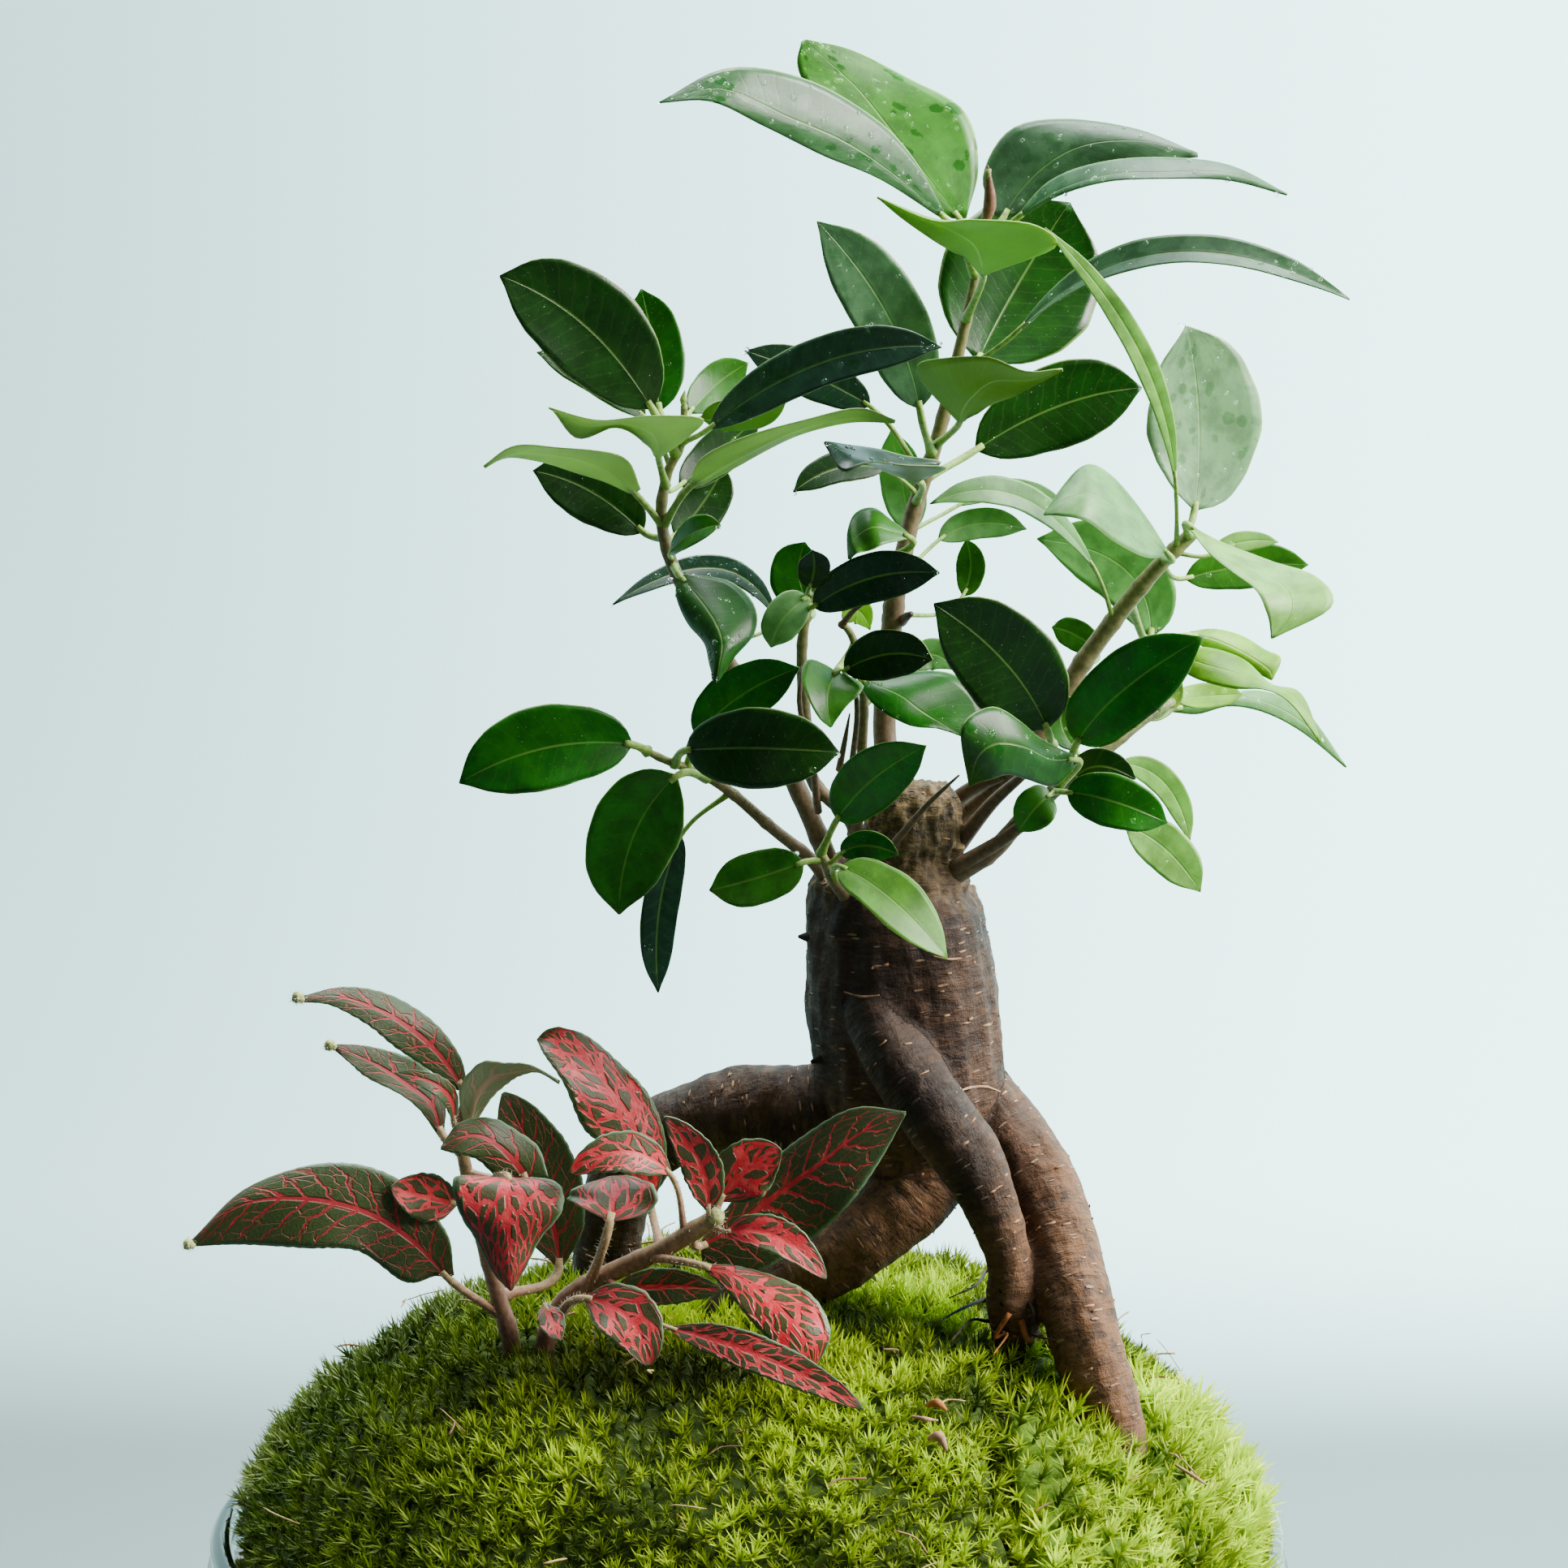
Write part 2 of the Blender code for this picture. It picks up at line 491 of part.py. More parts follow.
INSIDE = [(FOOT_INSIDE, FOOT_THICKNESS)]
INSIDE += [(wall_radius(height * MM - INSIDE_SHIFT, WALL), height * MM)
           for height in INSIDE_HEIGHTS]


def inside_radius(height):
    """Radius of the bowl's inside, along its drawn profile."""
    for (low_radius, low), (high_radius, high) in zip(INSIDE, INSIDE[1:]):
        if low <= height <= high:
            return low_radius + (high_radius - low_radius) * (height - low) / (high - low)
    return INSIDE[-1][0]


def layer_profile(low, high):
    """Profile of a layer that fills the bowl between two heights, clear of the glass."""
    heights = [low] + [height for _, height in INSIDE if low < height < high] + [high]
    return [(inside_radius(height) - LAYER_GAP, height) for height in heights]


def glass_bowl():
    """Open bowl on a flat foot, with a rolled lip."""
    glass = finish("glass", (0.82, 0.92, 0.90), 0.03, transmission=1.0)
    heights = [BELLY_HEIGHT * (1 - cos(step * pi / 12)) for step in range(7)]
    heights += NECK_HEIGHTS
    profile = [(wall_radius(height, 0), height) for height in heights]
    centre = (RIM_RADIUS - LIP_RADIUS, RIM_HEIGHT - LIP_RADIUS)
    for degrees in (-40, 10, 60, 120, 170, 220):
        turn = radians(degrees)
        profile.append((centre[0] + LIP_RADIUS * cos(turn), centre[1] + LIP_RADIUS * sin(turn)))
    profile += reversed(INSIDE)
    profile.append((0, FOOT_THICKNESS))
    return turned("glass_bowl", profile, glass)


def gravel():
    """Drainage layer in the bottom of the bowl."""
    low = FOOT_THICKNESS + GAP
    profile = [(0, low)] + layer_profile(low, GRAVEL_TOP) + [(0, GRAVEL_TOP)]
    return turned("drainage_gravel", profile, finish("gravel", (0.42, 0.38, 0.33), 0.9))


def dome(radius):
    """Height of the moss over a distance from the bowl's axis."""
    share = min(radius / MOSS_SPREAD, 1)
    return RIM_HEIGHT + MOSS_RISE * (1 - share ** MOSS_ROUNDNESS)


def soil_top(radius):
    """Height of the soil's mound under the moss: flat in the middle, then an even slope."""
    peak = RIM_HEIGHT + MOSS_RISE - MOSS_DEPTH
    share = max(radius - SOIL_FLAT, 0) / (MOSS_EDGE - SOIL_FLAT)
    return peak + (SOIL_EDGE - peak) * min(share, 1)


def soil():
    """Mound of soil on the gravel."""
    low = GRAVEL_TOP + GAP
    profile = [(0, low)] + layer_profile(low, SOIL_EDGE - 0.5 * MM)
    profile += [(MOSS_EDGE, SOIL_EDGE), (SOIL_FLAT, soil_top(0)), (0, soil_top(0))]
    return turned("soil", profile, finish("soil", (0.05, 0.035, 0.025), 0.95))


def moss_height(name, spot, inset):
    """Height of a cushion's top, inset metres from its own edge."""
    swell = SWELL * sin(spot.x * SWELL_ACROSS) * sin(spot.y * SWELL_ALONG + 1)
    rounding = ROUNDING * max(1 - inset / ROUNDING_REACH, 0) ** 2
    return dome(spot.length) - MOSS_DROP[name] + swell - rounding


def around(degrees, distance):
    """Spot of the bowl's plan."""
    turn = radians(degrees)
    return Vector((distance * cos(turn), distance * sin(turn)))


def fine_border(border):
    """Border with a spot at least every ten degrees."""
    spots = [border[0]]
    for (start, near), (end, far) in zip(border, border[1:]):
        steps = max(1, ceil((end - start) / 10))
        for step in range(1, steps + 1):
            share = step / steps
            spots.append((start + (end - start) * share, near + (far - near) * share))
    return spots


def moss_main():
    """Largest cushion, which leaves the side cushions their places."""
    name = "moss_main"
    borders = [spot for border in MOSS_BORDERS.values() for spot in fine_border(border)]
    taken = [(border[0][0], border[-1][0]) for border in MOSS_BORDERS.values()]
    free = [(degrees, MOSS_EDGE / MM) for degrees in range(-50, 310, 10)
            if not any(first - 4 < turned_back < last + 4 for first, last in taken
                       for turned_back in (degrees, degrees - 360))]
    outline = sorted(((degrees % 360, reach) for degrees, reach in borders + free))
    count = len(outline)
    points = [Vector((0, 0, moss_height(name, Vector((0, 0)), MOSS_EDGE))),
              Vector((0, 0, soil_top(0) + SOIL_GAP))]
    faces = []
    top_rows, under_rows = [[0] * count], [[1] * count]
    for share in MOSS_RINGS:
        top_rows.append(list(range(len(points), len(points) + count)))
        for degrees, reach in outline:
            distance = reach * MM * share
            spot = around(degrees, distance)
            points.append(Vector((*spot, moss_height(name, spot, reach * MM - distance))))
    for flat in (True, False):
        under_rows.append(list(range(len(points), len(points) + count)))
        for degrees, reach in outline:
            distance = SOIL_FLAT if flat else reach * MM
            points.append(Vector((*around(degrees, distance), soil_top(distance) + SOIL_GAP)))
    strips = list(zip(top_rows, top_rows[1:])) + list(zip(under_rows, under_rows[1:]))
    strips.append((top_rows[-1], under_rows[-1]))
    for low, high in strips:
        for step in range(count):
            following = (step + 1) % count
            corners = [low[step], low[following], high[following], high[step]]
            faces.append(tuple(dict.fromkeys(corners)))
    return solid(name, points, faces, finish(name, (0.16, 0.26, 0.03), 0.95))


def moss_side(name, colour):
    """Side cushion between its border and the glass."""
    border = fine_border(MOSS_BORDERS[name][1:-1])
    points, faces = [], []
    columns, across = len(border), (0, 0.12, 0.4, 0.72, 0.92, 1)
    for level in (0, 1):
        for index, (degrees, reach) in enumerate(border):
            start = reach * MM + CREASE
            for share in across:
                spot = around(degrees, start + (MOSS_EDGE - start) * share)
                inset = min(share, 1 - share) * (MOSS_EDGE - start)
                if index in (0, columns - 1):
                    inset = 0
                low = soil_top(spot.length) + SOIL_GAP
                points.append(Vector((*spot, low if level else moss_height(name, spot, inset))))
    width = len(across)
    under = columns * width
    for index in range(columns - 1):
        for step in range(width - 1):
            corner = index * width + step
            quad = (corner, corner + 1, corner + width + 1, corner + width)
            faces += [quad, tuple(under + point for point in quad)]
    rim = [index * width for index in range(columns)]
    rim += [(columns - 1) * width + step for step in range(1, width)]
    rim += [index * width + width - 1 for index in reversed(range(columns - 1))]
    rim += reversed(range(1, width - 1))
    for first, second in zip(rim, rim[1:] + rim[:1]):
        faces.append((first, second, under + second, under + first))
    return solid(name, points, faces, finish(name, colour, 0.95))


def leaf(name, row, outline, start):
    """Closed blade and stalk of one leaf, from its start inside the stem."""
    at, mid, tip = [seen(*spot, depth)
                    for spot, depth in zip((row.at, row.mid, row.tip), row.near)]
    control = 2 * mid - 0.5 * (at + tip)

    def rib(share):
        return at * (1 - share) ** 2 + control * 2 * share * (1 - share) + tip * share ** 2

    def course(share):
        return (2 * (1 - share) * (control - at) + 2 * share * (tip - control)).normalized()

    middle = course(0.5)
    to_eye = (EYE - mid).normalized()
    facing = (to_eye - middle * to_eye.dot(middle)).normalized()
    sideways = middle.cross(facing)
    lead = sideways.z if abs(sideways.z) > UPRIGHT else sideways.x
    if lead < 0:
        sideways = -sideways
    face = facing * cos(radians(row.roll)) + sideways * sin(radians(row.roll))
    stalk_course = (at - start).normalized()
    stalk_face = (face - stalk_course * face.dot(stalk_course)).normalized()
    sections = [(start, stalk_course, stalk_face, PETIOLE_WIDE / 2, PETIOLE_THICK, 0)]
    outline = SHORT if row.wide < SMALL_LEAF else OTHER_OUTLINES.get(row.name, outline)
    for share, swell in outline:
        ahead = course(share)
        up = (face - ahead * face.dot(ahead)).normalized()
        thick = PETIOLE_THICK if share == 0 else BLADE
        fold = 0 if share in (0, 1) else radians(row.fold)
        half = max(row.wide * MM * swell / 2, PETIOLE_WIDE / 2)
        sections.append((rib(share), ahead, up, half, thick, fold))
    points, faces = [], []
    for spot, ahead, up, half, thick, fold in sections:
        across = ahead.cross(up)
        lift = up * (half * sin(fold))
        reach = across * (half * cos(fold))
        for side in (spot - reach + lift, spot, spot + reach + lift):
            points.append(side + up * (thick / 2))
        for side in (spot + reach + lift, spot, spot - reach + lift):
            points.append(side - up * (thick / 2))
    for index in range(len(sections) - 1):
        low, high = index * 6, index * 6 + 6
        for side in range(6):
            following = (side + 1) % 6
            corners = (low + side, low + following, high + following, high + side)
            if side in (0, 4):
                faces += [(corners[0], corners[1], corners[2]), (corners[0], corners[2], corners[3])]
            elif side in (1, 3):
                faces += [(corners[0], corners[1], corners[3]), (corners[1], corners[2], corners[3])]
            else:
                faces.append(corners)
    faces.append(tuple(range(6)))
    faces.append(tuple(len(points) - 6 + side for side in range(6)))
    return solid(name, points, faces)


def nearest(name, spot):
    """Point inside the drawn stems that shows closest to a spot of the front view."""
    spots = []
    for stem in STEMS[name]:
        for start, end in zip(stem.route, stem.route[1:]):
            for step in range(9):
                spots.append(Vector(start).lerp(Vector(end), step / 8))
    best = min(spots, key=lambda point: (point.xy - Vector(spot)).length)
    return seen(*best)


def shoot(name, outline, colour, roughness):
    """Leafy stem, all its leaves fused to it."""
    material = finish(name, colour, roughness)
    pieces = []
    for index, stem in enumerate(STEMS[name]):
        centres = [seen(*point) for point in stem.route]
        count = len(centres) - 1
        widths = [(stem.start + (stem.end - stem.start) * step / count) * MM
                  for step in range(count + 1)]
        pieces.append(tube(f"{name}_stem_{index}", centres, widths, STEM_SIDES, material))
    for row in LEAVES[name]:
        pieces.append(leaf(f"{name}_{row.name}", row, outline, nearest(name, row.stalk)))
    body = combine(pieces[0], pieces[1:], "UNION", "MANIFOLD")
    body.name = name
    return body


def limb(name, points, grow=0.0, material=None):
    """One limb of the trunk, made wider and longer by grow."""
    centres = [seen(*point[:3]) for point in points]
    centres[-1] += (centres[-1] - centres[-2]).normalized() * grow
    widths = [point[3] * MM + grow for point in points]
    return tube(name, centres, widths, TRUNK_SIDES, material)


def trunk():
    """Swollen trunk with its bare roots, grown as one."""
    bark = finish("bark", (0.13, 0.09, 0.07), 0.8)
    body = limb("fig_trunk", TRUNK[0], material=bark)
    roots = [limb(f"root_{index}", points) for index, points in enumerate(TRUNK[1:])]
    return combine(body, roots, "UNION")


def feet_cutters(grow):
    """Cutters round the buried ends of the roots."""
    return [limb(f"foot_{index}", TRUNK[index][first:], grow)
            for index, first in FEET.items()]


def stem_cutters(names, grow, count):
    """Cutters round the lowest stretches of the stems."""
    cutters = []
    for name in names:
        for index, stem in enumerate(STEMS[name]):
            route = stem.route[:count]
            centres = [seen(*point) for point in route]
            centres[0] += (centres[0] - centres[1]).normalized() * grow
            widths = [stem.start * MM + grow] * count
            cutters.append(tube(f"{name}_hole_{index}", centres, widths, CUTTER_SIDES))
    return cutters


def build():
    """Model every piece."""
    for old in list(bpy.data.objects):
        bpy.data.objects.remove(old)
    glass_bowl()
    gravel()
    mound = soil()
    cushions = [moss_main(), moss_side("moss_right_front", (0.30, 0.42, 0.08)),
                moss_side("moss_left_back", (0.12, 0.20, 0.03))]
    wood = trunk()
    net_plants = [name for name in STEMS if name.startswith("netleaf")]
    figs = [name for name in STEMS if name.startswith("fig")]
    for bed in [mound] + cushions:
        combine(bed, feet_cutters(HOLE) + stem_cutters(net_plants, HOLE, 4), "DIFFERENCE")
    combine(wood, stem_cutters(figs, HOLE, 3), "DIFFERENCE")
    for name in figs:
        shoot(name, NARROW, (0.06, 0.22, 0.05), 0.35)
    for name in net_plants:
        shoot(name, BROAD, (0.16, 0.08, 0.06), 0.45)


build()
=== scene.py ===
"""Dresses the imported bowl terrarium: its glass, filling and moss, the fig and the net-leaf plant."""
from collections import namedtuple
from math import ceil, cos, pi, radians, sin, sqrt

import bpy
import numpy as np
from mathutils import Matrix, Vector
from mathutils.bvhtree import BVHTree


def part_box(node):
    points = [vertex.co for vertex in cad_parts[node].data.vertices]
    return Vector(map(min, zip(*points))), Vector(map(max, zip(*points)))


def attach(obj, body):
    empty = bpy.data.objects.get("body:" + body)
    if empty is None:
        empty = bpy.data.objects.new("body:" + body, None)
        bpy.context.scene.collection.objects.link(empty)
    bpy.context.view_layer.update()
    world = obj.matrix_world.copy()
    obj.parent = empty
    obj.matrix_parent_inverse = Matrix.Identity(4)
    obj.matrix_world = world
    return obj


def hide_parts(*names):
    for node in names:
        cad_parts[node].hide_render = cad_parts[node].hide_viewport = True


bl_info = {
    "name": "Bowl terrarium",
    "version": (1, 0, 0),
    "blender": (4, 5, 0),
    "location": "3D View > Sidebar > Terrarium",
    "description": "Models a planted glass bowl on its packed frame",
    "category": "Add Mesh",
}

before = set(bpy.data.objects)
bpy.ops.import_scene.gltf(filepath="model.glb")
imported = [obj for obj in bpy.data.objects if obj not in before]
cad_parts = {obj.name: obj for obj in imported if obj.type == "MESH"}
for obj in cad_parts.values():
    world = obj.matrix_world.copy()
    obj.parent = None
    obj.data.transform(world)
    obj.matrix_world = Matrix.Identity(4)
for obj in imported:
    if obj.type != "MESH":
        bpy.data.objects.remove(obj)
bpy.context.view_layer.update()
BOWL_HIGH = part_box("glass_bowl")[1]
GRAVEL_LOW, GRAVEL_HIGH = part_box("drainage_gravel")
SOIL_LOW, SOIL_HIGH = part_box("soil")
BODY = "root"
MM = 0.001

# The bowl, worked out from the frame
RIM_HEIGHT = 108 * MM
BELLY_RADIUS = BOWL_HIGH[0]
BELLY_HEIGHT = 60 * MM
FOOT_RADIUS = 52 * MM
FOOT_THICKNESS = 6 * MM
RIM_RADIUS = 100 * MM
LAYER_GAP = 0.48 * MM
INSIDE_SHIFT = 1.5 * MM
FOOT_INSIDE = 64 * MM
INSIDE_HEIGHTS = (9, 14, 22, 34, 50, 66, 80, 91, 100)

# The front view that the plants' places are drawn in, in pixels of the photograph
VIEW_CENTRE = 966
VIEW_SCALE = 6195
PICTURE_WIDTH = 1932
SENSOR_WIDTH = 36
EYE = Vector((6.8 * MM, -899.8 * MM, RIM_HEIGHT + 304.6 * MM))
EYE_PITCH = radians(10.4)
CROWN_SPREAD = 1.6
SPREAD_FROM = 1020
SPREAD_FULL = 900
VIEW_AHEAD = Vector((0, cos(EYE_PITCH), -sin(EYE_PITCH)))
VIEW_UP = Vector((0, sin(EYE_PITCH), cos(EYE_PITCH)))

# at, mid and tip are (across, down) in the front view; near gives their depths in mm,
# negative towards the eye; wide is the blade's width in mm; roll turns the upper face
# up from facing the eye; fold raises both halves; stalk is where the leaf leaves its stem
Leaf = namedtuple("Leaf", "name at mid tip near wide roll fold stalk")
# A leaf drawn by its two edges and its midrib, base to tip; left and right are those of
# someone on its upper face who looks to the tip, and lean is how far each lies behind the rib
Drawn = namedtuple("Drawn", "name stalk left rib right near lean")
Stem = namedtuple("Stem", "route start end")
# A bud, knob or twig: its radii in mm along its route
Bud = namedtuple("Bud", "route radii colour")

STEMS = {
    "fig_crown": [
        Stem([(1112, 985, 3), (1090, 905, 4), (1100, 760, 5), (1112, 690, 5), (1129, 620, 6),
              (1155, 540, 6), (1180, 440, 6), (1200, 350, 6), (1214, 270, 6), (1218, 208, 6)],
             2.4, 0.5),
    ],
    "fig_left_upper": [
        Stem([(1030, 1085, 7), (1000, 1010, 6), (955, 915, 3), (905, 830, 0), (868, 765, -2),
              (832, 705, -4), (815, 640, -4), (822, 585, -4), (840, 545, -4), (843, 500, -4)],
             2.0, 0.6),
    ],
    "fig_left_low": [
        Stem([(1022, 1092, -1), (1000, 1060, -2), (951, 1020, -5), (900, 976, -8),
              (861, 952, -10), (821, 937, -12), (790, 922, -13)], 1.4, 0.6),
    ],
    "fig_front_low": [
        Stem([(1044, 1106, -7), (1030, 1088, -11), (1020, 1070, -14), (1010, 1050, -14)],
             1.4, 0.9),
    ],
    "fig_inner": [
        Stem([(1060, 1060, -1), (1048, 1010, -3), (1001, 960, -5), (992, 880, -5),
              (988, 800, -5), (997, 738, -5), (1003, 715, -5)], 1.5, 0.7),
        Stem([(1052, 1028, -2), (1062, 985, -7), (1062, 930, -8), (1064, 850, -8),
              (1052, 790, -8), (1036, 765, -8)], 1.2, 0.6),
    ],
    "fig_right_upper": [
        Stem([(1150, 1050, 10), (1190, 1000, 10), (1250, 945, 9), (1311, 856, 8),
              (1335, 815, 8), (1385, 748, 7), (1430, 695, 6), (1470, 656, 6)], 2.4, 1.3),
        Stem([(1190, 1000, 10), (1240, 960, 2), (1285, 930, -6), (1296, 918, -10)], 1.6, 0.7),
    ],
    "fig_right_low": [
        Stem([(1165, 1085, -2), (1222, 1049, -4), (1250, 1020, -6), (1298, 975, -10),
              (1353, 932, -8), (1404, 891, -4), (1442, 866, 0)], 2.0, 0.8),
    ],
    "netleaf_left": [
        Stem([(630, 1790, -22), (632, 1710, -21), (630, 1655, -21), (612, 1590, -20),
              (588, 1500, -18), (572, 1430, -17), (566, 1375, -17)], 2.1, 1.0),
    ],
    "netleaf_right": [
        Stem([(690, 1790, -20), (680, 1715, -21), (672, 1660, -23), (694, 1605, -24),
              (745, 1572, -26), (815, 1540, -29), (862, 1512, -31), (886, 1498, -31)],
             2.0, 1.6),
    ],
}

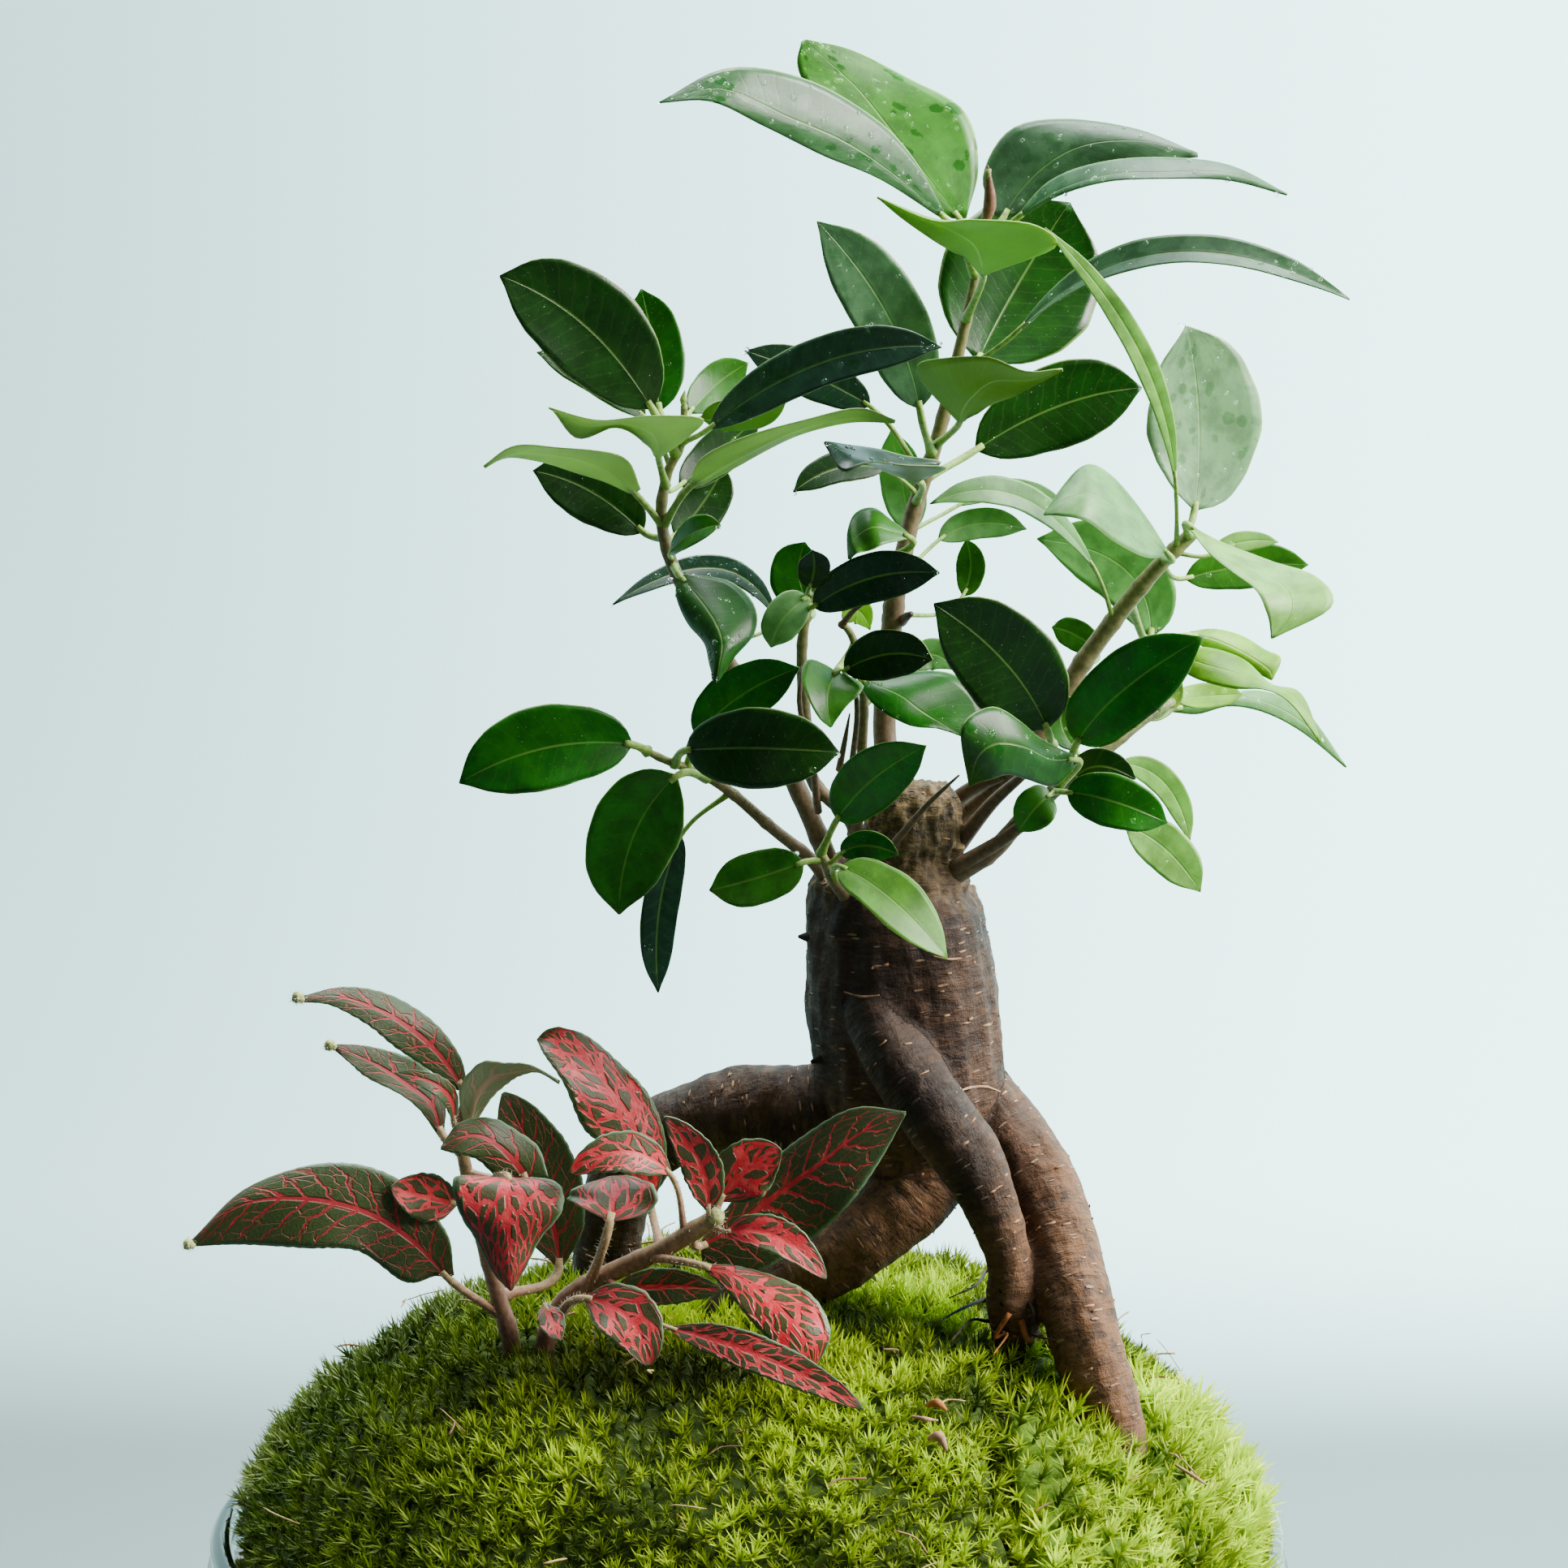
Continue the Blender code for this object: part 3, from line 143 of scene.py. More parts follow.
LEAVES = {
    "fig_crown": [
        Drawn("wet_arch", (1201, 345),
              [(1160, 269), (1083, 220), (1012, 191), (941, 155), (877, 125), (813, 126)],
              [(1164, 268), (1102, 216), (1041, 175), (970, 144), (890, 110), (813, 126)],
              [(1166, 267), (1121, 191), (1070, 139), (993, 98), (896, 85), (813, 126)],
              (0, -4, -8, -12, -15, -16), (-2, 3)),
        Drawn("tall_back", (1204, 330),
              [(1173, 269), (1102, 216), (1044, 168), (999, 114), (984, 78), (988, 51)],
              [(1182, 269), (1141, 216), (1099, 162), (1057, 110), (1019, 75), (990, 51)],
              [(1190, 269), (1205, 204), (1189, 139), (1121, 97), (1051, 63), (993, 49)],
              (12, 14, 16, 17, 17, 17), (-2, 3)),
        Drawn("right_back", (1209, 318),
              [(1227, 267), (1211, 216), (1244, 162), (1314, 146), (1398, 159), (1476, 189)],
              [(1237, 267), (1260, 232), (1298, 197), (1346, 177), (1411, 175), (1476, 191)],
              [(1250, 267), (1301, 242), (1346, 222), (1391, 207), (1436, 198), (1476, 193)],
              (12, 13, 13, 12, 10, 8), (4, -3)),
        Drawn("right_sickle", (1208, 325),
              [(1252, 267), (1295, 223), (1359, 200), (1430, 194), (1514, 204), (1586, 239)],
              [(1254, 268), (1301, 236), (1366, 216), (1436, 213), (1514, 214), (1586, 240)],
              [(1258, 268), (1305, 241), (1366, 222), (1436, 220), (1514, 222), (1585, 240)],
              (2, -2, -6, -9, -11, -12), (3, -1)),
        Drawn("lime_under", (1190, 395),
              [(1216, 337), (1300, 305), (1272, 275), (1200, 271), (1150, 273), (1081, 243)],
              [(1212, 337), (1208, 318), (1198, 298), (1172, 282), (1130, 264), (1081, 243)],
              [(1207, 337), (1192, 320), (1172, 308), (1150, 296), (1115, 272), (1081, 243)],
              (-4, -10, -15, -19, -22, -24), (-4, 0)),
        Leaf("round_dark", (1205, 444), (1258, 345), (1318, 250), (13, 20, 24), 30, 0, 8,
             (1180, 455)),
        Leaf("long_sickle", (1257, 405), (1440, 312), (1663, 369), (-2, -10, -18), 8.5, 50, 14,
             (1183, 462)),
        Leaf("grey_upright", (1133, 503), (1092, 385), (1007, 273), (-3, -6, -9), 13.5, 10, 8,
             (1146, 562)),
        Drawn("curled_under", (1158, 555),
              [(1189, 518), (1196, 514), (1222, 500), (1250, 486), (1282, 471), (1309, 457)],
              [(1184, 518), (1188, 504), (1200, 486), (1225, 468), (1268, 466), (1309, 455)],
              [(1179, 518), (1128, 458), (1165, 440), (1215, 440), (1262, 458), (1309, 454)],
              (-4, -8, -13, -17, -20, -22), (0, -5)),
        Leaf("dark_right", (1203, 554), (1305, 500), (1407, 478), (12, 16, 18), 15.5, 0, 7,
             (1148, 596)),
        Drawn("under_left", (1131, 618),
              [(1136, 591), (1166, 576), (1118, 571), (1074, 570), (1039, 582), (1017, 549)],
              [(1130, 591), (1114, 586), (1087, 576), (1060, 564), (1036, 555), (1016, 545)],
              [(1125, 591), (1160, 569), (1109, 562), (1069, 553), (1038, 546), (1016, 544)],
              (-3, -5, -8, -11, -13, -14), (-5, 5)),
        Leaf("dark_left", (1089, 578), (1032, 577), (978, 606), (2, 0, -2), 6.5, 25, 6,
             (1116, 606)),
        Leaf("pale_back", (1122, 655), (1112, 595), (1098, 530), (15, 18, 18), 8.5, 0, 4,
             (1110, 690)),
        Leaf("pale_right", (1157, 665), (1205, 645), (1265, 652), (12, 14, 15), 6, 0, 6,
             (1112, 715)),
        Leaf("thin_right", (1182, 622), (1246, 603), (1312, 622), (12, 15, 16), 4.5, 30, 6,
             (1122, 655)),
        Leaf("pale_drop", (1187, 734), (1196, 700), (1190, 664), (16, 17, 17), 5.5, 0, 6,
             (1102, 760)),
        Leaf("behind_long", (1072, 500), (1000, 462), (918, 432), (5, 4, 1), 8.5, 0, 7,
             (1126, 590)),
        Leaf("small_lime", (1106, 782), (1099, 765), (1096, 746), (14, 15, 15), 4, 0, 6,
             (1096, 800)),
    ],
    "fig_left_upper": [
        Leaf("dark_high", (803, 503), (720, 400), (616, 340), (-7, -9, -12), 18, 6, 9,
             (832, 562)),
        Leaf("dark_up", (812, 506), (806, 430), (790, 356), (0, 3, 4), 11, 0, 8, (841, 536)),
        Leaf("dark_sliver", (795, 514), (735, 468), (662, 434), (-2, -2, -4), 6.5, 25, 8,
             (826, 576)),
        Drawn("light_under", (820, 598),
              [(817, 561), (845, 540), (866, 518), (800, 511), (735, 518), (676, 502)],
              [(811, 562), (810, 545), (800, 530), (768, 520), (718, 522), (676, 502)],
              [(806, 561), (800, 550), (785, 540), (755, 527), (711, 539), (680, 504)],
              (-8, -12, -15, -16, -17, -18), (-5, 0)),
        Drawn("light_left", (816, 650),
              [(789, 603), (773, 568), (733, 554), (680, 551), (631, 551), (596, 574)],
              [(781, 606), (755, 582), (715, 565), (673, 558), (631, 557), (596, 575)],
              [(775, 607), (742, 592), (702, 579), (664, 569), (626, 563), (597, 576)],
              (-6, -9, -12, -14, -15, -16), (-3, 2)),
        Leaf("low_left", (792, 656), (728, 605), (657, 580), (-1, -2, -4), 11.5, 8, 8,
             (818, 668)),
        Leaf("small_curl", (826, 680), (855, 657), (888, 647), (-8, -12, -14), 6, 40, 14,
             (826, 692)),
        Leaf("middle_dark", (832, 660), (866, 620), (893, 574), (4, 7, 9), 9.5, 0, 8,
             (817, 650)),
        Leaf("long_dark", (874, 528), (1015, 446), (1160, 428), (-9, -14, -18), 9.5, 18, 8,
             (842, 548)),
        Leaf("low_under", (864, 514), (915, 512), (970, 491), (-2, -4, -6), 7.5, 150, 10,
             (843, 532)),
        Leaf("back_top", (850, 508), (882, 474), (922, 447), (4, 8, 10), 7.5, 0, 8, (843, 520)),
        Leaf("back_mid", (838, 598), (885, 558), (936, 512), (3, 7, 10), 8, 0, 8, (820, 606)),
        Drawn("light_long", (816, 645),
              [(858, 599), (897, 580), (941, 557), (992, 534), (1047, 520), (1101, 521)],
              [(854, 596), (883, 577), (932, 551), (987, 527), (1052, 513), (1103, 520)],
              [(851, 593), (866, 564), (923, 538), (985, 518), (1056, 503), (1103, 518)],
              (-7, -8, -8, -9, -9, -10), (2, -3)),
        Drawn("hanging", (829, 698),
              [(843, 708), (897, 717), (928, 748), (930, 781), (903, 812), (884, 841)],
              [(838, 711), (861, 737), (881, 766), (890, 792), (887, 816), (882, 841)],
              [(835, 712), (834, 735), (848, 770), (868, 794), (875, 819), (880, 840)],
              (-9, -12, -15, -17, -18, -18), (3, 2)),
        Leaf("low_arc", (955, 758), (878, 700), (755, 745), (5, 8, 4), 5.5, 30, 8, (884, 795)),
    ],
    "fig_left_low": [
        Leaf("long_left", (779, 917), (670, 922), (566, 965), (-14, -17, -20), 15, 5, 8,
             (800, 926)),
        Leaf("dark_centre", (845, 924), (938, 922), (1034, 927), (-15, -21, -22), 14.2, 0, 8,
             (832, 941)),
        Leaf("rising", (858, 908), (912, 858), (985, 823), (-10, -11, -13), 10.5, 0, 8,
             (846, 946)),
        Leaf("hanging_wide", (833, 956), (781, 1030), (763, 1127), (-16, -19, -20), 16.5, 8, 8,
             (872, 958)),
        Leaf("hanging_narrow", (839, 1029), (812, 1120), (811, 1223), (-8, -8, -9), 7.5, 25, 8,
             (897, 976)),
    ],
    "fig_front_low": [
        Leaf("blunt", (990, 1062), (932, 1082), (874, 1097), (-16, -18, -20), 10, 0, 8,
             (1015, 1060)),
        Leaf("drooping", (1035, 1068), (1098, 1108), (1167, 1181), (-21, -26, -27), 11, 32, 9,
             (1028, 1084)),
        Leaf("small_right", (1036, 1052), (1068, 1042), (1107, 1053), (-16, -19, -20), 5.5, 0, 8,
             (1019, 1068)),
        Leaf("rising_right", (1031, 1010), (1076, 960), (1141, 919), (-17, -20, -22), 10.8, 0, 8,
             (1011, 1052)),
    ],
    "fig_inner": [
        Leaf("round_dark", (999, 748), (985, 708), (992, 668), (1, 2, 2), 11, 0, 6,
             (992, 762)),
        Leaf("pale_low", (995, 735), (966, 762), (950, 798), (-6, -8, -9), 7.5, 0, 8,
             (995, 748)),
        Leaf("narrow", (997, 724), (1003, 700), (1001, 678), (-9, -11, -12), 6, 0, 8,
             (998, 732)),
        Leaf("dark_glossy", (1002, 748), (1075, 712), (1158, 706), (-8, -13, -15), 9, 0, 9,
             (997, 742)),
        Drawn("light_curl", (1003, 722),
              [(1121, 663), (1100, 668), (1083, 672), (1065, 678), (1054, 683), (1047, 689)],
              [(1122, 662), (1098, 655), (1076, 650), (1058, 659), (1049, 673), (1046, 689)],
              [(1122, 660), (1102, 644), (1078, 626), (1054, 635), (1044, 657), (1045, 689)],
              (-11, -12, -13, -13, -14, -14), (-2, 3)),
        Leaf("light_back", (1040, 768), (1056, 752), (1072, 776), (-4, -3, -2), 5, 0, 6,
             (1040, 772)),
        Leaf("dark_small", (1040, 826), (1095, 806), (1149, 813), (-12, -15, -17), 9, 0, 8,
             (1060, 830)),
        Leaf("drop", (1030, 828), (1020, 858), (1024, 896), (-12, -16, -17), 11.7, 12, 10,
             (1056, 800)),
        Drawn("glossy_fold", (1063, 850),
              [(1062, 836), (1105, 831), (1147, 826), (1185, 838), (1211, 873), (1186, 905)],
              [(1060, 838), (1087, 847), (1112, 859), (1133, 875), (1157, 890), (1185, 906)],
              [(1058, 840), (1071, 861), (1091, 880), (1119, 893), (1150, 896), (1184, 906)],
              (-10, -12, -13, -13, -12, -12), (4, -1)),
        Leaf("back_light", (1118, 826), (1148, 806), (1176, 826), (-3, -1, -1), 6, 0, 6,
             (1064, 870)),
    ],
    "fig_right_upper": [
        Leaf("wet_tall", (1472, 628), (1477, 515), (1462, 402), (9, 11, 10), 25, 36, 7,
             (1462, 664)),
        Leaf("pale_strap", (1448, 590), (1402, 430), (1288, 281), (-4, -9, -14), 4.6, 20, 6,
             (1448, 678)),
        Drawn("light_broad", (1436, 690),
              [(1439, 685), (1410, 686), (1373, 667), (1340, 642), (1308, 635), (1286, 634)],
              [(1440, 684), (1406, 653), (1377, 628), (1344, 610), (1313, 616), (1286, 634)],
              [(1441, 683), (1410, 635), (1373, 587), (1340, 572), (1311, 599), (1286, 634)],
              (-2, -5, -8, -11, -12, -13), (-3, 4)),
        Leaf("thin_left", (1347, 698), (1255, 612), (1146, 621), (2, -5, -10), 6, 30, 8,
             (1370, 768)),
        Leaf("blue_back", (1418, 784), (1385, 700), (1278, 664), (18, 20, 18), 14, 0, 6,
             (1392, 742)),
        Drawn("pale_front", (1466, 662),
              [(1467, 648), (1509, 671), (1563, 689), (1617, 710), (1640, 748), (1568, 787)],
              [(1466, 648), (1499, 676), (1543, 701), (1582, 724), (1590, 753), (1567, 787)],
              [(1465, 649), (1489, 680), (1526, 710), (1551, 732), (1563, 755), (1567, 787)],
              (-2, -6, -9, -12, -14, -15), (3, -3)),
        Leaf("torn_right", (1461, 713), (1535, 697), (1612, 696), (12, 14, 15), 8.5, 0, 6,
             (1432, 694)),
        Leaf("small_stalked", (1493, 684), (1530, 668), (1575, 668), (7, 8, 8), 4, 20, 6,
             (1448, 680)),
        Leaf("big_dark", (1290, 898), (1238, 815), (1151, 744), (-15, -19, -22), 17.5, 0, 8,
             (1296, 918)),
        Leaf("green_behind", (1352, 802), (1325, 782), (1296, 773), (14, 15, 16), 6, 0, 6,
             (1330, 823)),
    ],
    "fig_right_low": [
        Drawn("wavy_front", (1304, 970),
              [(1322, 947), (1298, 968), (1265, 961), (1238, 953), (1213, 961), (1195, 968)],
              [(1323, 935), (1294, 935), (1261, 920), (1228, 916), (1205, 933), (1195, 968)],
              [(1323, 931), (1290, 915), (1257, 889), (1219, 873), (1185, 900), (1194, 968)],
              (-20, -23, -26, -28, -30, -31), (-2, 3)),
        Leaf("little", (1295, 979), (1277, 995), (1255, 1025), (-16, -19, -20), 7.5, 0, 8,
             (1298, 975)),
        Leaf("dark_pair", (1322, 962), (1354, 944), (1399, 960), (-10, -11, -11), 6.5, 0, 8,
             (1306, 968)),
        Leaf("green_pair", (1314, 976), (1375, 988), (1438, 1014), (-17, -21, -22), 9.6, 0, 8,
             (1300, 974)),
        Leaf("pale_hook", (1380, 940), (1436, 966), (1466, 1037), (3, 8, 10), 5.5, 10, 6,
             (1350, 935)),
        Leaf("pale_hanging", (1388, 1018), (1436, 1046), (1479, 1099), (-4, -2, -2), 9, 10, 6,
             (1322, 956)),
        Leaf("dark_upright", (1327, 915), (1385, 850), (1483, 785), (-14, -18, -20), 13.3, 0, 8,
             (1314, 962)),
        Leaf("dark_stub", (1326, 924), (1308, 890), (1318, 858), (0, 3, 4), 6, 0, 6,
             (1322, 954)),
        Drawn("lime_high", (1430, 874),
              [(1466, 779), (1495, 775), (1528, 784), (1557, 800), (1578, 811), (1568, 837)],
              [(1466, 782), (1493, 787), (1520, 798), (1543, 811), (1563, 825), (1568, 837)],
              [(1467, 786), (1485, 798), (1505, 805), (1528, 818), (1551, 830), (1567, 838)],
              (12, 13, 14, 14, 14, 14), (2, 0)),
        Drawn("light_long", (1422, 880),
              [(1464, 797), (1493, 800), (1534, 815), (1567, 842), (1603, 855), (1627, 914)],
              [(1458, 809), (1485, 819), (1526, 831), (1563, 847), (1596, 862), (1628, 915)],
              [(1453, 825), (1480, 838), (1520, 846), (1559, 850), (1592, 869), (1627, 915)],
              (-2, -3, -5, -7, -9, -10), (3, -2)),
        Leaf("lime_mid", (1447, 862), (1490, 858), (1532, 856), (4, 6, 6), 5.8, 34, 6,
             (1412, 886)),
        Leaf("olive_under", (1404, 884), (1430, 862), (1456, 836), (0, 3, 4), 6.6, 0, 6,
             (1396, 897)),
        Drawn("grey_long", (1441, 866),
              [(1451, 864), (1485, 858), (1518, 852), (1559, 853), (1609, 877), (1659, 945)],
              [(1447, 873), (1480, 869), (1518, 859), (1559, 866), (1605, 891), (1659, 945)],
              [(1445, 877), (1476, 879), (1514, 870), (1559, 878), (1603, 900), (1658, 945)],
              (10, 10, 10, 9, 8, 6), (2, -1)),
    ],
    "netleaf_left": [
        Drawn("high_arch", (566, 1385),
              [(564, 1343), (527, 1316), (486, 1289), (452, 1261), (409, 1238), (371, 1234)],
              [(570, 1339), (540, 1298), (506, 1268), (465, 1244), (415, 1228), (369, 1231)],
              [(575, 1334), (565, 1300), (531, 1257), (481, 1226), (424, 1217), (368, 1229)],
              (-20, -22, -24, -25, -26, -27), (-2, 3)),
        Drawn("second_arch", (571, 1425),
              [(541, 1400), (516, 1366), (483, 1341), (449, 1325), (431, 1309), (413, 1294)],
              [(544, 1398), (531, 1361), (502, 1338), (470, 1316), (438, 1300), (410, 1289)],
              [(547, 1395), (547, 1354), (527, 1318), (495, 1301), (452, 1289), (409, 1287)],
              (-14, -13, -13, -13, -14, -14), (-2, 3)),
        Leaf("pale_small", (558, 1382), (544, 1342), (486, 1322), (-23, -28, -31), 4, 25, 8,
             (566, 1396)),
        Drawn("pale_hook", (568, 1398),
              [(588, 1379), (604, 1354), (624, 1336), (641, 1324), (663, 1321), (689, 1335)],
              [(579, 1384), (588, 1350), (608, 1327), (631, 1320), (659, 1317), (690, 1333)],
              [(572, 1384), (567, 1343), (593, 1309), (624, 1310), (656, 1314), (690, 1333)],
              (-18, -20, -21, -21, -22, -22), (1, -2)),
        Leaf("dark_back", (690, 1560), (666, 1448), (620, 1346), (-8, -6, -4), 14.5, 0, 6,
             (616, 1600)),
        Drawn("mid_fold", (576, 1448),
              [(624, 1454), (608, 1446), (591, 1430), (574, 1423), (558, 1420), (543, 1416)],
              [(649, 1452), (638, 1436), (616, 1414), (591, 1400), (565, 1402), (543, 1414)],
              [(675, 1450), (663, 1414), (638, 1396), (604, 1379), (566, 1384), (543, 1414)],
              (-22, -23, -24, -25, -26, -27), (-2, 3)),
        Drawn("great_left", (622, 1618),
              [(538, 1571), (499, 1579), (441, 1541), (374, 1537), (295, 1533), (237, 1535)],
              [(550, 1573), (506, 1527), (449, 1493), (377, 1477), (299, 1484), (235, 1531)],
              [(559, 1571), (547, 1514), (484, 1450), (399, 1433), (306, 1464), (235, 1530)],
              (-23, -26, -28, -30, -31, -32), (-2, 3)),
        Leaf("red_small", (563, 1483), (522, 1474), (482, 1462), (-22, -25, -27), 9, 0, 6,
             (583, 1478)),
        Drawn("front_shield", (580, 1466),
              [(631, 1452), (684, 1455), (693, 1486), (668, 1521), (649, 1559), (630, 1590)],
              [(627, 1451), (626, 1464), (627, 1500), (628, 1534), (628, 1564), (629, 1590)],
              [(624, 1452), (562, 1450), (568, 1493), (588, 1532), (609, 1568), (629, 1590)],
              (-30, -34, -37, -38, -39, -39), (2, 2)),
    ],
    "netleaf_right": [
        Drawn("glossy_fold", (812, 1542),
              [(789, 1478), (751, 1418), (720, 1389), (696, 1338), (672, 1301), (662, 1281)],
              [(800, 1478), (789, 1418), (774, 1374), (740, 1329), (703, 1292), (673, 1269)],
              [(807, 1478), (821, 1418), (803, 1359), (766, 1314), (724, 1277), (688, 1265)],
              (-17, -17, -16, -15, -15, -14), (-4, 3)),
        Leaf("red_arch", (826, 1446), (766, 1420), (702, 1447), (-29, -33, -35), 8, 15, 8,
             (846, 1522)),
        Leaf("bright_narrow", (872, 1492), (862, 1432), (819, 1376), (-33, -35, -36), 7.5, 0, 8,
             (876, 1504)),
        Leaf("bright_round", (886, 1479), (922, 1440), (963, 1417), (-31, -31, -31), 11, 0, 6,
             (880, 1502)),
        Drawn("great_right", (850, 1520),
              [(863, 1530), (896, 1489), (941, 1441), (985, 1403), (1052, 1366), (1116, 1370)],
              [(863, 1537), (911, 1506), (963, 1467), (1011, 1433), (1060, 1396), (1116, 1370)],
              [(865, 1552), (922, 1569), (985, 1537), (1041, 1489), (1082, 1433), (1116, 1372)],
              (-25, -25, -25, -26, -26, -26), (2, -2)),
        Leaf("stalked", (752, 1504), (755, 1476), (752, 1450), (-34, -31, -27), 16.5, 0, 8,
             (728, 1582)),
        Leaf("narrow_right", (892, 1519), (958, 1524), (1018, 1576), (-34, -37, -38), 7, 15, 8,
             (878, 1503)),
        Drawn("wet_right", (800, 1548),
              [(868, 1558), (911, 1561), (963, 1578), (1004, 1602), (1023, 1645), (1002, 1688)],
              [(867, 1560), (904, 1572), (941, 1597), (971, 1623), (993, 1652), (1001, 1689)],
              [(866, 1562), (893, 1587), (919, 1619), (945, 1647), (971, 1669), (1000, 1689)],
              (-37, -40, -43, -45, -47, -47), (3, -2)),
        Leaf("long_low", (826, 1637), (945, 1674), (1064, 1736), (-42, -52, -60), 7, 12, 6,
             (742, 1574)),
        Leaf("rounded_low", (722, 1600), (776, 1626), (800, 1684), (-36, -42, -45), 11, 10, 8,
             (688, 1618)),
        Leaf("base_small", (672, 1608), (680, 1630), (690, 1652), (-30, -33, -36), 5, 10, 8,
             (676, 1640)),
        Leaf("crimson_back", (756, 1592), (818, 1585), (890, 1590), (-20, -20, -20), 7, 0, 6,
             (738, 1576)),
    ],
}

TRUNK = [
    [(1127, 962, 3, 6.6), (1125, 985, 3, 9.0), (1122, 1030, 3, 9.8), (1114, 1062, 3, 11.0),
     (1107, 1088, 3, 14.2), (1105, 1120, 3, 16.2), (1107, 1160, 3, 16.9),
     (1113, 1225, 3, 17.8), (1122, 1295, 3, 17.7),
     (1130, 1350, 3, 17.2), (1142, 1395, 3, 14.5), (1155, 1430, 3, 9.0)],
    [(1085, 1345, 5, 9.5), (1000, 1368, 7, 8.6), (935, 1366, 9, 7.8), (868, 1376, 12, 7.4),
     (805, 1405, 14, 7.2), (768, 1450, 16, 7.0), (752, 1510, 17, 6.8), (746, 1570, 18, 6.6),
     (742, 1660, 19, 6.2), (740, 1730, 19, 5.2)],
    [(1165, 1400, 0, 9.0), (1130, 1462, -3, 8.0), (1085, 1508, -6, 7.2), (1030, 1548, -7, 7.0),
     (965, 1582, -6, 7.0), (915, 1618, -5, 6.8), (885, 1670, -4, 6.0), (872, 1720, -4, 5.0)],
    [(1052, 1175, -3, 3.0), (1072, 1236, -9, 5.2), (1101, 1298, -14, 6.4), (1150, 1370, -19, 6.7),
     (1196, 1432, -20, 6.3), (1226, 1500, -20, 5.0), (1242, 1555, -19, 4.1), (1248, 1602, -18, 5.4),
     (1250, 1640, -17, 4.6), (1252, 1690, -16, 3.2)],
    [(1175, 1340, 3, 9.5), (1232, 1395, -1, 8.6), (1280, 1462, -7, 7.6), (1309, 1540, -14, 7.0),
     (1328, 1620, -22, 6.8), (1346, 1690, -26, 6.6), (1366, 1750, -28, 6.4), (1380, 1820, -29, 5.6)],
]
# How each leaf looks, in the order of its stem's leaves
LOOKS = {
    "fig_crown": "arch fresh grey grey lime sleek grey grey bright sleek slate dark soft soft soft "
                 "mid slate lime",
    "fig_left_upper": "speckled deep dark milky milky dark mid dark steel mid mid dark milky wet "
                      "slate",
    "fig_left_low": "deep dark deep mid slate",
    "fig_front_low": "mid spring deep deep",
    "fig_inner": "deep soft slate slate mid lime dark mid deep soft",
    "fig_right_upper": "sheen pale soft soft soft pale mid pale dark mid",
    "fig_right_low": "wet mid dark deep pale pale deep mid lime lime lime olive soft",
    "netleaf_left": "dull dull dull dull dull dull dull red rose",
    "netleaf_right": "glossy red rose ruby dark rose rose glossy red rose red dark",
}
# Colour of the upper face, roughness and how wet it is
FIG_LOOKS = {
    "milky": ((0.340, 0.470, 0.230), 0.46, 0.0),
    "dark": ((0.004, 0.036, 0.001), 0.36, 0.0),
    "speckled": ((0.006, 0.034, 0.004), 0.29, 0.1),
    "sleek": ((0.005, 0.042, 0.002), 0.26, 0.0),
    "steel": ((0.026, 0.072, 0.044), 0.36, 0.5),
    "deep": ((0.006, 0.100, 0.0), 0.36, 0.0),
    "mid": ((0.022, 0.130, 0.003), 0.38, 0.0),
    "wet": ((0.010, 0.080, 0.004), 0.42, 0.6),
    "arch": ((0.036, 0.110, 0.036), 0.30, 1.0),
    "fresh": ((0.036, 0.170, 0.010), 0.42, 1.0),
    "spring": ((0.070, 0.220, 0.012), 0.42, 0.0),
    "bright": ((0.080, 0.170, 0.010), 0.42, 0.0),
    # The sheen look's pale colour is a painted sheen
    "sheen": ((0.150, 0.290, 0.140), 0.34, 0.5),
    "grey": ((0.058, 0.138, 0.062), 0.38, 0.4),
    "slate": ((0.008, 0.034, 0.018), 0.36, 0.3),
    "soft": ((0.100, 0.270, 0.070), 0.44, 0.0),
    "pale": ((0.180, 0.410, 0.070), 0.46, 0.0),
    "lime": ((0.135, 0.330, 0.002), 0.44, 0.0),
    "olive": ((0.100, 0.210, 0.015), 0.42, 0.0),
}
# Share of the face that is red, brightness of the red, and gloss
NET_LOOKS = {
    "dull": (0.22, 0.18, 0.50),
    "dark": (0.24, 0.60, 0.25),
    "red": (0.54, 0.78, 0.50),
    "rose": (0.58, 0.62, 0.45),
    "ruby": (0.64, 0.84, 0.70),
    "glossy": (0.56, 0.80, 0.90),
}

# Width along a blade, as (place, share of the width)
OVAL = ((0, 0.05), (0.04, 0.36), (0.10, 0.60), (0.22, 0.85), (0.42, 1.0), (0.60, 0.98),
        (0.76, 0.84), (0.87, 0.58), (0.93, 0.33), (0.97, 0.13), (1, 0.02))
NARROW = ((0, 0.07), (0.06, 0.30), (0.18, 0.66), (0.40, 0.98), (0.64, 0.96), (0.86, 0.57),
          (0.94, 0.25), (1, 0.03))
BROAD = ((0, 0.09), (0.08, 0.42), (0.18, 0.76), (0.40, 1.0), (0.64, 0.9), (0.86, 0.54),
         (0.95, 0.28), (1, 0.05))
SHIELD = ((0, 0.34), (0.05, 0.80), (0.15, 0.98), (0.40, 0.92), (0.64, 0.64), (0.86, 0.33),
          (1, 0.04))
OTHER_OUTLINES = {"drop": SHIELD}
